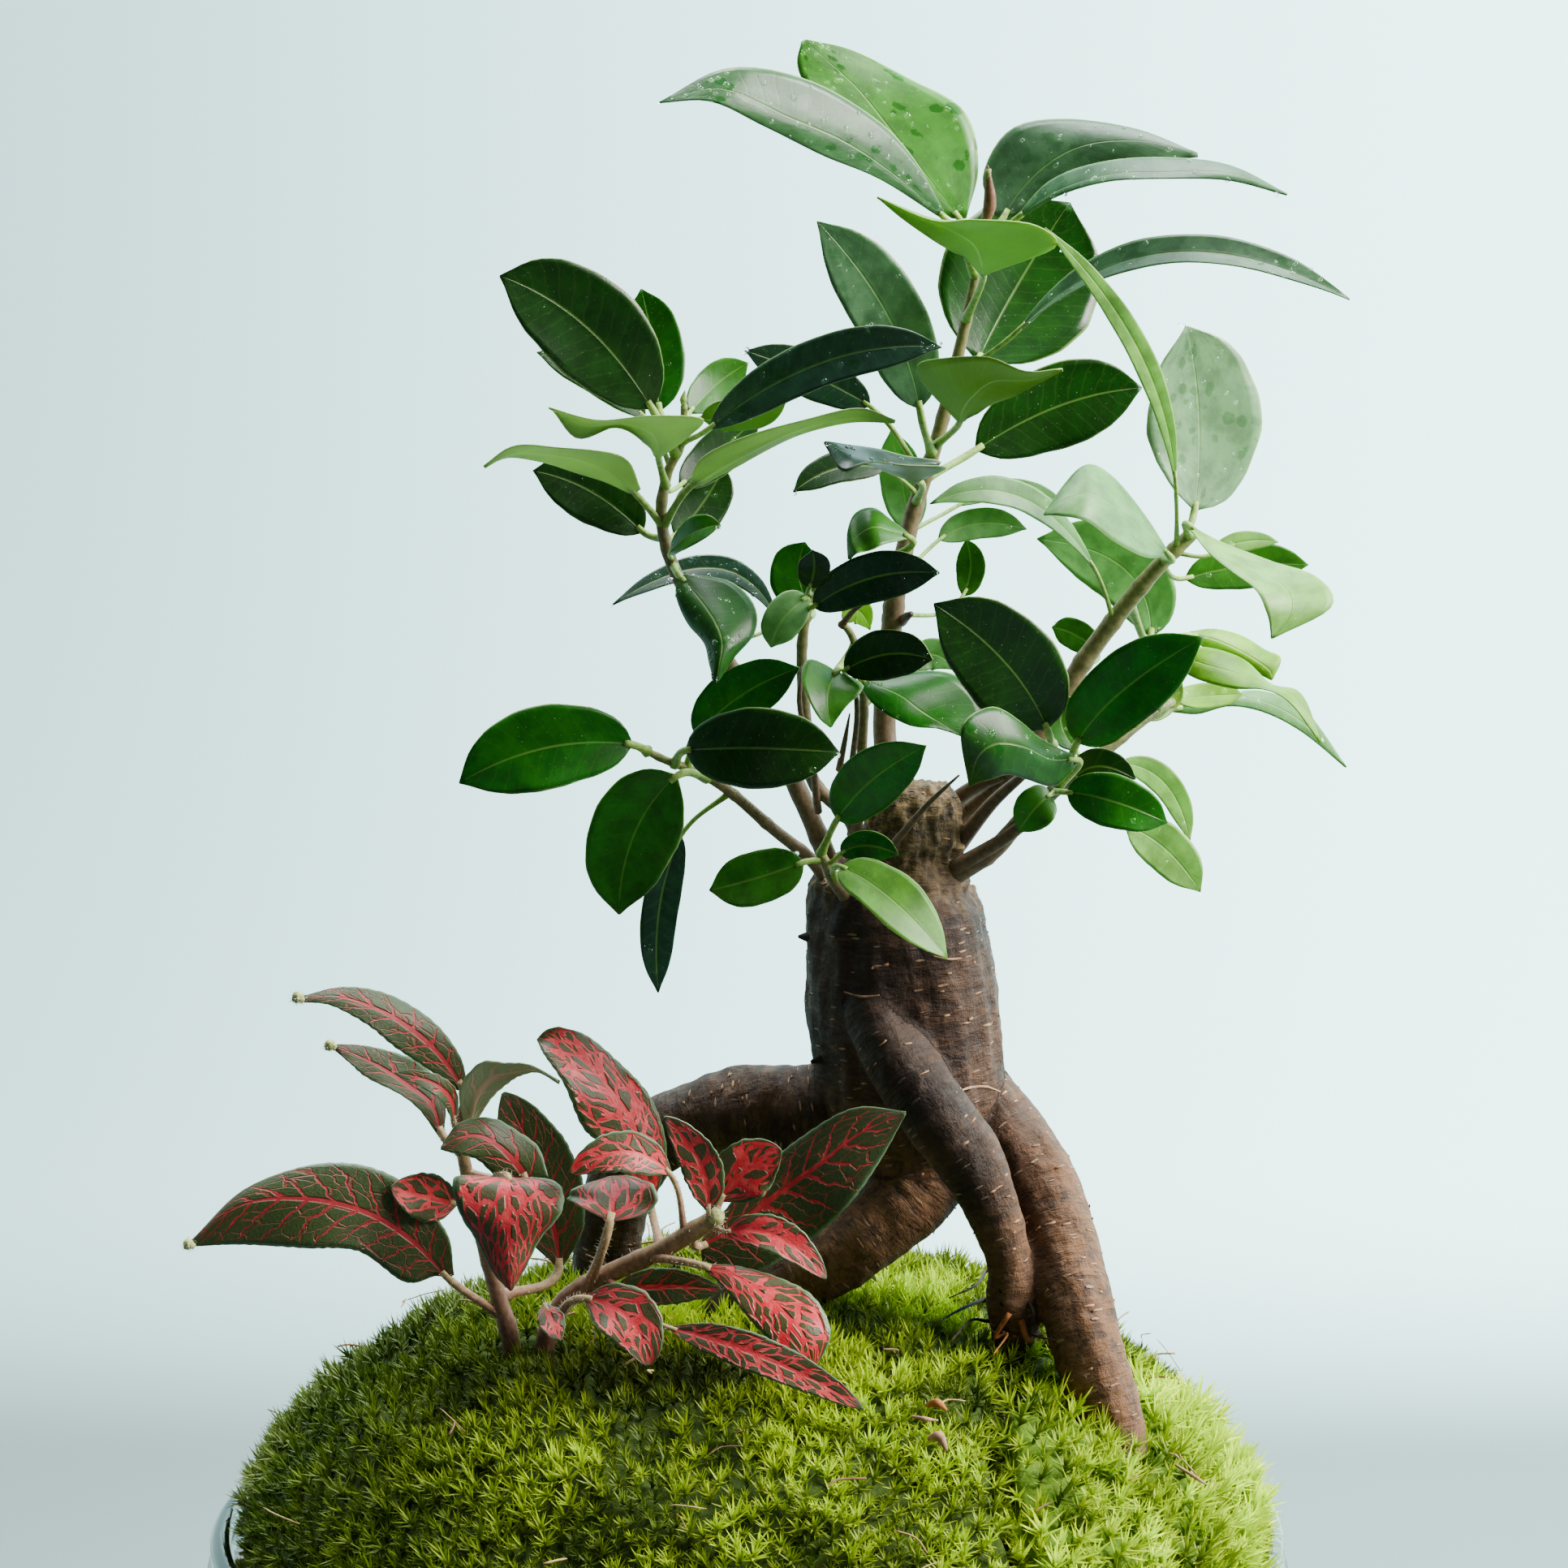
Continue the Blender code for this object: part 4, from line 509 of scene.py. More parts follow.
# Buds, nubs and dead twigs, with places as in the stems
TWIG, SHEATH, LIME_BUD = (0.115, 0.070, 0.040), (0.150, 0.070, 0.035), (0.28, 0.40, 0.09)
PALE_BUD = (0.42, 0.46, 0.16)
BUDS = {
    "fig_crown": [
        Bud([(1214, 276, 6), (1220, 250, 6), (1219, 228, 6), (1217, 203, 6)],
            (0.7, 1.2, 1.05, 0.65, 0.1), SHEATH),
        Bud([(1111, 766, 5), (1117, 760, 3), (1123, 756, 2)], (1.0, 0.8, 0.5), TWIG),
    ],
    "fig_left_upper": [
        Bud([(843, 502, -4), (842, 492, -4), (844, 481, -4)], (0.4, 0.7, 0.1), LIME_BUD),
        Bud([(1036, 772, -8), (1052, 752, -9), (1071, 739, -10)], (0.7, 0.5, 0.25), TWIG),
    ],
    "fig_inner": [
        Bud([(1096, 1046, -6), (1128, 1008, -11), (1150, 984, -12), (1182, 955, -12)],
            (0.8, 0.6, 0.5, 0.2), TWIG),
        Bud([(1034, 948, -5), (1041, 912, -8), (1047, 879, -9)], (0.7, 0.5, 0.15), TWIG),
        Bud([(1008, 1000, -4), (1000, 935, -8), (985, 868, -9), (990, 820, -8)],
            (0.8, 0.6, 0.5, 0.4), TWIG),
        Bud([(1044, 1010, -5), (1050, 940, -9), (1056, 880, -10), (1052, 830, -9)],
            (0.8, 0.6, 0.5, 0.4), TWIG),
    ],
    "fig_right_upper": [
        Bud([(1158, 1000, 6), (1200, 970, 3), (1248, 951, 1)], (1.6, 1.4, 1.0), TWIG),
        Bud([(1176, 1048, 2), (1221, 991, -4), (1262, 954, -8)], (1.6, 1.2, 0.8), TWIG),
    ],
    "fig_right_low": [
        Bud([(1172, 1072, -3), (1250, 1024, -8), (1300, 972, -11)], (1.6, 1.2, 0.7), TWIG),
    ],
    "netleaf_left": [
        Bud([(374, 1234, -27), (367, 1228, -27), (362, 1234, -27)], (0.5, 1.1, 0.5), PALE_BUD),
        Bud([(414, 1292, -14), (406, 1287, -14), (404, 1294, -14)], (0.5, 1.0, 0.5), PALE_BUD),
        Bud([(240, 1536, -32), (232, 1532, -32), (230, 1539, -32)], (0.5, 1.0, 0.5), PALE_BUD),
    ],
    "netleaf_right": [
        Bud([(880, 1508, -31), (882, 1498, -32), (878, 1488, -32)], (0.9, 1.7, 0.4), PALE_BUD),
    ],
}
# Above this, the vertical part of a leaf's sideways direction tells which face is up
UPRIGHT = 0.35
# Starts of the random draws
SEEDS = {"gravel": 5, "soil": 9, "moss": 21, "litter": 33, "pores": 47, "droplets": 61}
# What shows beyond the stage
FAR_COLOUR, FAR_GLOW = (0.80, 0.92, 0.94, 1), 1.3
FIG_THICK, FIG_EDGE, FIG_RIB = 0.42 * MM, 0.20 * MM, 0.45 * MM
NET_THICK, NET_EDGE, NET_RIB = 0.50 * MM, 0.26 * MM, 0.35 * MM
PETIOLE, NET_PETIOLE = 0.74 * MM, 0.88 * MM
# Colours of stems from woody to young, and of stalks from stem to blade
FIG_STEMS = ((0.115, 0.076, 0.042), (0.16, 0.19, 0.05))
FIG_STALKS = ((0.130, 0.230, 0.030), (0.230, 0.360, 0.070))
NET_STEMS = ((0.150, 0.070, 0.045), (0.27, 0.18, 0.085))
NET_STALKS = ((0.24, 0.105, 0.065), (0.36, 0.25, 0.12))
HAIR_COLOUR, HAIRS_ON_STEM = (0.62, 0.55, 0.42), 90
# Steps of the round bodies, and how many small pieces there are
BOWL_STEPS, SOIL_STEPS = 144, 180
CRUMB_COUNT, STRAW_COUNT, SHOOTS_IN_PIECE = 3600, 80, 3000
# Underside of the foot, as radius and height in mm
FOOT_PROFILE = ((0, 0.9), (40, 0.9), (47, 0.2), (50, 0))
GRAVEL_COLOURS = ((0.42, 0.36, 0.28), (0.30, 0.25, 0.20), (0.55, 0.51, 0.45),
                  (0.20, 0.17, 0.15), (0.46, 0.34, 0.22), (0.36, 0.36, 0.35))
SOIL_COLOUR = (0.017, 0.010, 0.006)
CRUMB_COLOURS = ((0.022, 0.013, 0.008), (0.010, 0.006, 0.004), (0.085, 0.046, 0.024),
                 (0.042, 0.024, 0.014), (0.42, 0.39, 0.34))
CRUMB_SHARES = (0.42, 0.30, 0.09, 0.17, 0.02)
PORE_COLOUR = (0.250, 0.135, 0.070)
# Moss grows above a height and within a radius; near the rim it stands more upright
MOSS_FLOOR, MOSS_REACH, MOSS_RIM = 0.093, 0.0968, (0.086, 0.009)
# Below: a range is where it starts or ends, and the width that it fades over
# Painted shade: the main cushion's shoots darken to its left and back, and shoots that face sideways
# darken at the seams between cushions
SHADY_SIDE, SHADY_BACK, SEAM_SHADE = (-0.052, 0.035), (0.040, 0.035), (0.30, 0.4)
# Painted light: warmer, paler bark where light falls on the right root and at the trunk's foot, in the
# front view
PAINTED_LIGHT_RIGHT = {"across": (1190, 130), "down": (1330, 120)}
PAINTED_LIGHT_MIDDLE = {"left": (940, 60), "right": (1185, 50), "down": (1390, 60)}
# Painted shade on the front root: beside its course, from above, to below, and how far forward
FRONT_ROOT_SHADE = {"aside": (58, 22), "top": (1150, 60), "bottom": (1520, 110), "front": (-0.004, 0.006)}
# Border of the broken stump and its torn bark: place down, raggedness and softness
STUMP_BORDER, STUMP_TORN = (1072, 22, 14), (1125, 26, 30)
# Swelling under the stump and the furrow over it: place down and half width
COLLAR, FURROW = (1092, 9), (1066, 10)
# Backdrop in metres: front, half width, where it bends up and how round, and its top
STAGE_FRONT, STAGE_HALF, STAGE_BEND, STAGE_ROUND, STAGE_TOP = -3.2, 3.5, 0.42, 0.35, 3.0
STAGE_STEPS = 12
# Painted shadow of the net-leaf plant on the moss, in the front view: centre and reach
SHADE_SPOT = (800, 1706, 230, 50)
# Which of the trunk's limbs is the root in front, darkened by painted shade
FRONT_ROOT = 3
STRAWS = ((0.26, 0.16, 0.06), (0.09, 0.045, 0.020), (0.19, 0.09, 0.03), (0.36, 0.26, 0.11))
BLACK, RUST, TAN = (0.012, 0.007, 0.005), (0.26, 0.090, 0.025), (0.25, 0.140, 0.075)
# Rootlets and nubs: spots of the front view on what lies there, heights over it and radii in mm
ROOTLETS = (
    (((1236, 1606), (1212, 1612), (1184, 1630), (1152, 1642)), (0, 2, 3, 2), (0.6, 0.4, 0.12), BLACK),
    (((1240, 1624), (1216, 1640), (1190, 1646), (1170, 1660)), (0, 2, 3, 1), (0.5, 0.3, 0.12), BLACK),
    (((1234, 1590), (1214, 1584), (1196, 1600), (1168, 1612)), (0, 3, 3, 2), (0.5, 0.3, 0.10), BLACK),
    (((1258, 1626), (1262, 1646), (1276, 1662), (1292, 1668)), (0, 2, 3, 1), (0.6, 0.4, 0.12), RUST),
    (((1268, 1606), (1284, 1618), (1290, 1640), (1304, 1650)), (0, 2, 3, 1), (0.5, 0.3, 0.10), BLACK),
    (((1244, 1618), (1232, 1640), (1236, 1662), (1222, 1676)), (0, 2, 3, 1), (0.5, 0.3, 0.10), RUST),
    (((996, 1155), (993, 1154)), (-1, 1.6), (1.3, 0.9, 0.3), BLACK),
    (((1012, 1305), (1008, 1306)), (-1, 1.6), (1.2, 0.8, 0.3), BLACK),
    (((1178, 1346), (1196, 1340), (1214, 1339), (1232, 1345)), (0, 0, 0, 0), (0.15, 0.35, 0.15), TAN),
    (((1040, 1222), (1062, 1228), (1084, 1226)), (0, 0, 0), (0.12, 0.28, 0.12), TAN),
    (((1150, 1178), (1172, 1182), (1196, 1178)), (0, 0, 0), (0.12, 0.28, 0.12), TAN),
    (((1136, 1752), (1146, 1760), (1158, 1764)), (4, 6, 5), (0.4, 0.9, 0.2), RUST),
    (((1140, 1792), (1150, 1800), (1160, 1812)), (4, 6, 5), (0.5, 1.0, 0.3), TAN),
    (((1118, 1770), (1132, 1778), (1148, 1776)), (5, 6, 5), (0.25, 0.45, 0.15), TAN),
    (((1424, 1830), (1440, 1842), (1456, 1846)), (6, 7, 6), (0.25, 0.4, 0.15), TAN),
)
MOSS_NODES = ("moss_main", "moss_right_front", "moss_left_back")
# Root colour, tip colour, size of the shoots, how light they are and how far the cushion sinks; the
# right-front cushion's bright colours are partly its own paler moss, partly painted light
MOSS_LOOKS = {
    "moss_main": ((0.050, 0.095, 0.0), (0.800, 0.990, 0.0), 1.0, 0.60, 1.2),
    "moss_right_front": ((0.130, 0.260, 0.0), (0.880, 1.000, 0.0), 1.5, 0.95, 0.8),
    "moss_left_back": ((0.022, 0.040, 0.003), (0.380, 0.460, 0.120), 1.05, 0.55, 1.2),
}
# Colour that the tips darken to, by random tone and by painted shade
DARK_MOSS = (0.135, 0.215, 0.020)


class BowlSettings(bpy.types.PropertyGroup):
    """Sizes and colour of the glass."""
    lip: bpy.props.FloatProperty(
        name="Lip", description="Radius of the rolled lip", default=2 * MM, unit="LENGTH")
    wall: bpy.props.FloatProperty(
        name="Wall", description="Thickness of the glass", default=3.5 * MM, unit="LENGTH")
    tint: bpy.props.FloatVectorProperty(
        name="Tint", description="Colour of the glass", default=(0.86, 0.95, 0.93),
        subtype="COLOR", min=0, max=1)
    pebble: bpy.props.FloatProperty(
        name="Pebble", description="Length of a pebble of the drainage layer",
        default=6.5 * MM, unit="LENGTH")


class MossSettings(bpy.types.PropertyGroup):
    """Sizes of the moss."""
    spacing: bpy.props.FloatProperty(
        name="Spacing", description="Distance between moss shoots", default=1.85 * MM,
        unit="LENGTH")
    height: bpy.props.FloatProperty(
        name="Shoot height", description="Height of a moss shoot", default=5.2 * MM,
        unit="LENGTH")


class FigSettings(bpy.types.PropertyGroup):
    """Bark of the fig, and the water on its leaves."""
    droplets: bpy.props.IntProperty(
        name="Droplets", description="Number of drops of water on the leaves", default=600, min=1)
    grain: bpy.props.FloatProperty(
        name="Grain", description="Size of the trunk's smallest modelled detail",
        default=0.62 * MM, unit="LENGTH")
    pores: bpy.props.IntProperty(
        name="Pores", description="Number of raised pores on the bark", default=420, min=0)
    bark: bpy.props.FloatVectorProperty(
        name="Bark", description="Darker colour of the bark", default=(0.014, 0.0068, 0.0042),
        subtype="COLOR", min=0, max=1)
    worn: bpy.props.FloatVectorProperty(
        name="Worn bark", description="Paler colour of the bark", default=(0.094, 0.046, 0.023),
        subtype="COLOR", min=0, max=1)


class NetLeafSettings(bpy.types.PropertyGroup):
    """Colours of the net-leaf plant."""
    vein: bpy.props.FloatVectorProperty(
        name="Veins", description="Colour of the net of veins", default=(0.50, 0.008, 0.018),
        subtype="COLOR", min=0, max=1)
    blade: bpy.props.FloatVectorProperty(
        name="Blade", description="Colour between the veins", default=(0.010, 0.034, 0.003),
        subtype="COLOR", min=0, max=1)


class StageSettings(bpy.types.PropertyGroup):
    """Backdrop and light."""
    backdrop: bpy.props.FloatVectorProperty(
        name="Backdrop", description="Colour of the floor and backdrop",
        default=(0.53, 0.88, 0.88), subtype="COLOR", min=0, max=1)
    glow: bpy.props.FloatProperty(
        name="Backdrop glow", description="Brightness of the evenly lit backdrop",
        default=5.9, min=0)
    key: bpy.props.FloatProperty(
        name="Key light", description="Power of the large light on the right",
        default=14.5, unit="POWER")
    top: bpy.props.FloatProperty(
        name="Top light", description="Power of the light above the plant",
        default=6.0, unit="POWER")
    fill: bpy.props.FloatProperty(
        name="Fill light", description="Power of the weak light at the front left",
        default=0.25, unit="POWER")


def seen(across, down, depth):
    """Point that shows there in the front view, drawn depth mm behind the bowl's axis."""
    share = min(max((SPREAD_FROM - down) / (SPREAD_FROM - SPREAD_FULL), 0), 1)
    depth *= MM * (1 + (CROWN_SPREAD - 1) * share)
    ray = (VIEW_AHEAD + Vector(((across - VIEW_CENTRE) / VIEW_SCALE, 0, 0))
           + VIEW_UP * ((VIEW_CENTRE - down) / VIEW_SCALE))
    return EYE + ray * ((depth - EYE.y) / ray.y)


def nearest(name, spot):
    """Point inside the drawn stems that shows closest to a spot of the front view."""
    spots = []
    for stem in STEMS[name]:
        for start, end in zip(stem.route, stem.route[1:]):
            for step in range(9):
                spots.append(Vector(start).lerp(Vector(end), step / 8))
    best = min(spots, key=lambda point: (point.xy - Vector(spot)).length)
    return seen(*best)


def wall_radius(height, inset):
    """Radius of the bowl's outside at a height, less an inset."""
    if height < BELLY_HEIGHT:
        share = 1 - height / BELLY_HEIGHT
        radius = FOOT_RADIUS + (BELLY_RADIUS - FOOT_RADIUS) * sqrt(max(1 - share ** 2, 0))
    else:
        neck = RIM_RADIUS - 1.2 * MM
        share = (height - BELLY_HEIGHT) / (RIM_HEIGHT - BELLY_HEIGHT)
        radius = neck + (BELLY_RADIUS - neck) * cos(min(share, 1) * pi / 2)
    return radius - inset


def filling_radius(height, wall):
    """Radius that the filling reaches at a height."""
    heights = [FOOT_THICKNESS] + [level * MM for level in INSIDE_HEIGHTS]
    radii = [FOOT_INSIDE] + [wall_radius(level * MM - INSIDE_SHIFT, wall)
                             for level in INSIDE_HEIGHTS]
    return np.interp(height, heights, radii) - LAYER_GAP


def deselect():
    """Nothing selected, in object mode."""
    if bpy.context.mode != "OBJECT":
        bpy.ops.object.mode_set(mode="OBJECT")
    for piece in bpy.context.selected_objects:
        piece.select_set(False)


def select(*pieces):
    """Select pieces alone, the first of them active."""
    deselect()
    for piece in pieces:
        piece.select_set(True)
    bpy.context.view_layer.objects.active = pieces[0]


def join(name, pieces):
    """Join pieces to one, under a name."""
    select(*pieces)
    if len(pieces) > 1:
        bpy.ops.object.join()
    whole = bpy.context.object
    whole.name = whole.data.name = name
    return whole


def apply(piece, kind, **settings):
    """Add a modifier and apply it."""
    select(piece)
    modifier = piece.modifiers.new(kind.lower(), kind)
    for key, value in settings.items():
        setattr(modifier, key, value)
    bpy.ops.object.modifier_apply(modifier=modifier.name)


def dress(piece, material, slot, *nodes):
    """Finish a piece: its material, its body and the nodes that it stands for, which it hides; the
    slot is not used.
    """
    piece.data.materials.clear()
    piece.data.materials.append(material)
    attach(piece, BODY)
    if nodes:
        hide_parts(*nodes)


def points_of(mesh):
    """Places of a mesh's vertices."""
    places = np.empty(len(mesh.vertices) * 3)
    mesh.vertices.foreach_get("co", places)
    return places.reshape(-1, 3)


def move_points(mesh, places):
    """Give a mesh's vertices new places."""
    mesh.vertices.foreach_set("co", np.asarray(places, dtype=np.float32).ravel())
    mesh.update()


def mark(mesh, name, values):
    """Store a number, a direction or a colour at each vertex."""
    values = np.asarray(values, dtype=np.float32)
    if values.ndim == 1:
        mesh.attributes.new(name, "FLOAT", "POINT").data.foreach_set("value", values)
    elif values.shape[1] == 3:
        mesh.attributes.new(name, "FLOAT_VECTOR", "POINT").data.foreach_set(
            "vector", values.ravel())
    else:
        mesh.attributes.new(name, "FLOAT_COLOR", "POINT").data.foreach_set(
            "color", values.ravel())


def rising(values, start, width):
    """Share that grows from nought at a start to one, over a width."""
    return np.clip((values - start) / width, 0, 1)


def falling(values, end, width):
    """Share that falls to nought at an end, over a width."""
    return np.clip((end - values) / width, 0, 1)


def colours(rows):
    """Rows of red, green and blue, made opaque."""
    rows = np.asarray(rows, dtype=float)
    return np.concatenate([rows, np.ones((len(rows), 1))], axis=1)


def mesh_piece(name, places, faces):
    """Object from arrays of places and faces."""
    mesh = bpy.data.meshes.new(name)
    mesh.from_pydata(places, [], faces)
    piece = bpy.data.objects.new(name, mesh)
    bpy.context.scene.collection.objects.link(piece)
    return piece


def smooth(piece, angle=180):
    """Shade a piece smooth up to an angle."""
    select(piece)
    if angle < 180:
        bpy.ops.object.shade_smooth_by_angle(angle=radians(angle))
    else:
        bpy.ops.object.shade_smooth()


def smooth_route(points, count):
    """Evenly timed points on a smooth curve through some points."""
    points = [Vector(point) for point in points]
    points = [2 * points[0] - points[1]] + points + [2 * points[-1] - points[-2]]
    spans = len(points) - 3
    route = []
    for step in range(count):
        place = step / (count - 1) * spans
        index = min(int(place), spans - 1)
        share = place - index
        before, start, end, after = points[index:index + 4]
        route.append(0.5 * (2 * start + (end - before) * share
                            + (2 * before - 5 * start + 4 * end - after) * share ** 2
                            + (3 * start - before - 3 * end + after) * share ** 3))
    return route


def spread(values, count):
    """Values at a few even places, read at more of them."""
    return np.interp(np.linspace(0, 1, count), np.linspace(0, 1, len(values)), values)


def tube(name, route, radii, rough=2):
    """Round tube along a route, drawn as a bevelled curve with filled caps."""
    curve = bpy.data.curves.new(name, "CURVE")
    curve.dimensions = "3D"
    curve.bevel_depth = 1.0
    curve.bevel_resolution = rough
    curve.use_fill_caps = True
    spline = curve.splines.new("POLY")
    spline.points.add(len(route) - 1)
    for point, place, radius in zip(spline.points, route, radii):
        point.co = (*place, 1)
        point.radius = radius
    piece = bpy.data.objects.new(name, curve)
    bpy.context.scene.collection.objects.link(piece)
    select(piece)
    bpy.ops.object.convert(target="MESH")
    piece = bpy.context.object
    apply(piece, "WELD", merge_threshold=0.00001)
    return piece


def nearest_step(places, route):
    """Index of the nearest point of a route to each place."""
    route = np.array([tuple(point) for point in route])
    gaps = np.linalg.norm(places[:, None, :] - route[None, :, :], axis=2)
    return np.argmin(gaps, axis=1)


def tint_along(piece, route, start, end, power=1.0):
    """Colour a tube from one colour to another along its route."""
    share = nearest_step(points_of(piece.data), route) / (len(route) - 1)
    share = share[:, None] ** power
    rows = np.array(start) * (1 - share) + np.array(end) * share
    mark(piece.data, "tint", colours(rows))


def copies(name, blanks, places, axes, sizes, picks, rows_of):
    """One mesh of many copies of some blanks.

    axes holds each copy's three directions, sizes its scale along them, picks its blank,
    and rows_of gives the colour rows of a blank's vertices for some copies.
    """
    all_places, all_faces, all_rows = [], [], []
    start = 0
    for number, blank in enumerate(blanks):
        chosen = np.flatnonzero(picks == number)
        if not len(chosen):
            continue
        shape = points_of(blank.data)
        faces = [tuple(face.vertices) for face in blank.data.polygons]
        scaled = shape[None, :, :] * sizes[chosen][:, None, :]
        turned = np.einsum("cij,cnj->cni", axes[chosen], scaled)
        all_places.append((turned + places[chosen][:, None, :]).reshape(-1, 3))
        all_rows.append(rows_of(number, chosen).reshape(-1, 3))
        for width in sorted({len(face) for face in faces}):
            group = np.array([face for face in faces if len(face) == width])
            offsets = start + np.arange(len(chosen)) * len(shape)
            all_faces += (group[None] + offsets[:, None, None]).reshape(-1, width).tolist()
        start += len(chosen) * len(shape)
    piece = mesh_piece(name, np.concatenate(all_places), all_faces)
    mark(piece.data, "tint", colours(np.concatenate(all_rows)))
    return piece


def drop(*pieces):
    """Remove objects that only served as patterns."""
    for piece in pieces:
        bpy.data.objects.remove(piece)


def standing_axes(normals, turns, generator, lean):
    """Three directions for each copy: its third stands on the surface, leaning a little."""
    third = normals + generator.normal(0, lean, normals.shape)
    third /= np.linalg.norm(third, axis=1)[:, None]
    helper = np.where(np.abs(third[:, :1]) < 0.8, [[1.0, 0, 0]], [[0, 1.0, 0]])
    first = np.cross(helper, third)
    first /= np.linalg.norm(first, axis=1)[:, None]
    second = np.cross(third, first)
    turned = first * np.cos(turns)[:, None] + second * np.sin(turns)[:, None]
    return np.stack([turned, np.cross(third, turned), third], axis=2)


# Shader nodes
def new_material(name):
    """Empty node material, and its node tree."""
    material = bpy.data.materials.new(name)
    material.use_nodes = True
    material.node_tree.nodes.clear()
    return material, material.node_tree


def node(tree, kind, sockets=None, **settings):
    """Shader node with values or links on its sockets."""
    made = tree.nodes.new("ShaderNode" + kind)
    for key, value in settings.items():
        setattr(made, key, value)
    for key, value in (sockets or {}).items():
        if isinstance(value, bpy.types.NodeSocket):
            tree.links.new(value, made.inputs[key])
        else:
            made.inputs[key].default_value = value
    return made


def maths(tree, operation, first, second=0.0, clamp=False):
    """Result of one step of arithmetic."""
    made = node(tree, "Math", {0: first, 1: second}, operation=operation, use_clamp=clamp)
    return made.outputs[0]


def ramp(tree, value, low, high, start=0.0, end=1.0):
    """Smooth step of a value from start at low to end at high."""
    made = node(tree, "MapRange", {"Value": value, "From Min": low, "From Max": high,
                                   "To Min": start, "To Max": end},
                interpolation_type="SMOOTHSTEP")
    return made.outputs["Result"]


def mixed(tree, factor, first, second, mode="MIX"):
    """Mix of two colours."""
    made = node(tree, "Mix", {0: factor, 6: first, 7: second}, data_type="RGBA",
                blend_type=mode, clamp_result=False)
    return made.outputs[2]


def grain_noise(tree, place, scale, detail=3.0, roughness=0.6, distortion=0.0):
    """Cloudy pattern from nought to one."""
    made = node(tree, "TexNoise", {"Vector": place, "Scale": scale, "Detail": detail,
                                   "Roughness": roughness, "Distortion": distortion})
    return made.outputs["Fac"]


def stored(tree, name, output="Vector"):
    """Value stored on the mesh."""
    return node(tree, "Attribute", attribute_name=name).outputs[output]


def opaque(colour):
    """Colour with full alpha."""
    return (*colour, 1.0)


def output(tree, shader):
    """End of the material."""
    node(tree, "OutputMaterial", {"Surface": shader})


def glass_material(settings):
    """Clear faintly green glass that lets lamps light what is in it."""
    material, tree = new_material("clear_glass")
    place = node(tree, "TexCoord").outputs["Object"]
    ripple = grain_noise(tree, place, 38.0, 1.0)
    bump = node(tree, "Bump", {"Height": ripple, "Strength": 0.12, "Distance": 0.6 * MM})
    glass = node(tree, "BsdfPrincipled", {
        "Base Color": opaque(settings.tint), "Roughness": 0.015, "IOR": 1.47,
        "Transmission Weight": 1.0, "Normal": bump.outputs[0]})
    clear = node(tree, "BsdfTransparent", {"Color": opaque(settings.tint)})
    shadow = node(tree, "LightPath").outputs["Is Shadow Ray"]
    mix = node(tree, "MixShader", {0: shadow, 1: glass.outputs[0], 2: clear.outputs[0]})
    output(tree, mix.outputs[0])
    return material


def tinted_material(name, roughness, noise_scale, bump_height, translucent=0.0, variation=0.35):
    """Material whose colour is stored on the mesh, broken up by a fine pattern."""
    material, tree = new_material(name)
    place = node(tree, "TexCoord").outputs["Object"]
    pattern = grain_noise(tree, place, noise_scale, 4.0, 0.65)
    tint = stored(tree, "tint", "Color")
    shade = ramp(tree, pattern, 0.25, 0.75, 1 - variation, 1 + variation)
    lit = mixed(tree, 1.0, tint, node(tree, "CombineColor", {0: shade, 1: shade, 2: shade})
                .outputs[0], "MULTIPLY")
    bump = node(tree, "Bump", {"Height": pattern, "Strength": 0.7, "Distance": bump_height})
    solid = node(tree, "BsdfPrincipled", {"Base Color": lit, "Roughness": roughness,
                                          "Specular IOR Level": 0.25,
                                          "Normal": bump.outputs[0]})
    shader = solid.outputs[0]
    if translucent:
        through = node(tree, "BsdfTranslucent", {"Color": lit})
        shader = node(tree, "MixShader", {0: translucent, 1: shader,
                                          2: through.outputs[0]}).outputs[0]
    output(tree, shader)
    return material


def water_material():
    """Clear water that lets lamps light what is under it."""
    material, tree = new_material("water")
    wet = node(tree, "BsdfPrincipled", {"Base Color": (1, 1, 1, 1), "Roughness": 0.02,
                                        "IOR": 1.33, "Transmission Weight": 1.0})
    clear = node(tree, "BsdfTransparent")
    shadow = node(tree, "LightPath").outputs["Is Shadow Ray"]
    mix = node(tree, "MixShader", {0: shadow, 1: wet.outputs[0], 2: clear.outputs[0]})
    output(tree, mix.outputs[0])
    return material


def leaf_coordinates(tree):
    """Distance from the midrib and along the blade in mm, the leaf's number, and the place."""
    blade = node(tree, "SeparateXYZ", {0: stored(tree, "blade")})
    spot = node(tree, "SeparateXYZ", {0: stored(tree, "spot")})
    across = maths(tree, "MULTIPLY", spot.outputs[0], blade.outputs[0])
    along = maths(tree, "MULTIPLY", spot.outputs[1], blade.outputs[1])
    return across, along, blade.outputs[2], spot.outputs


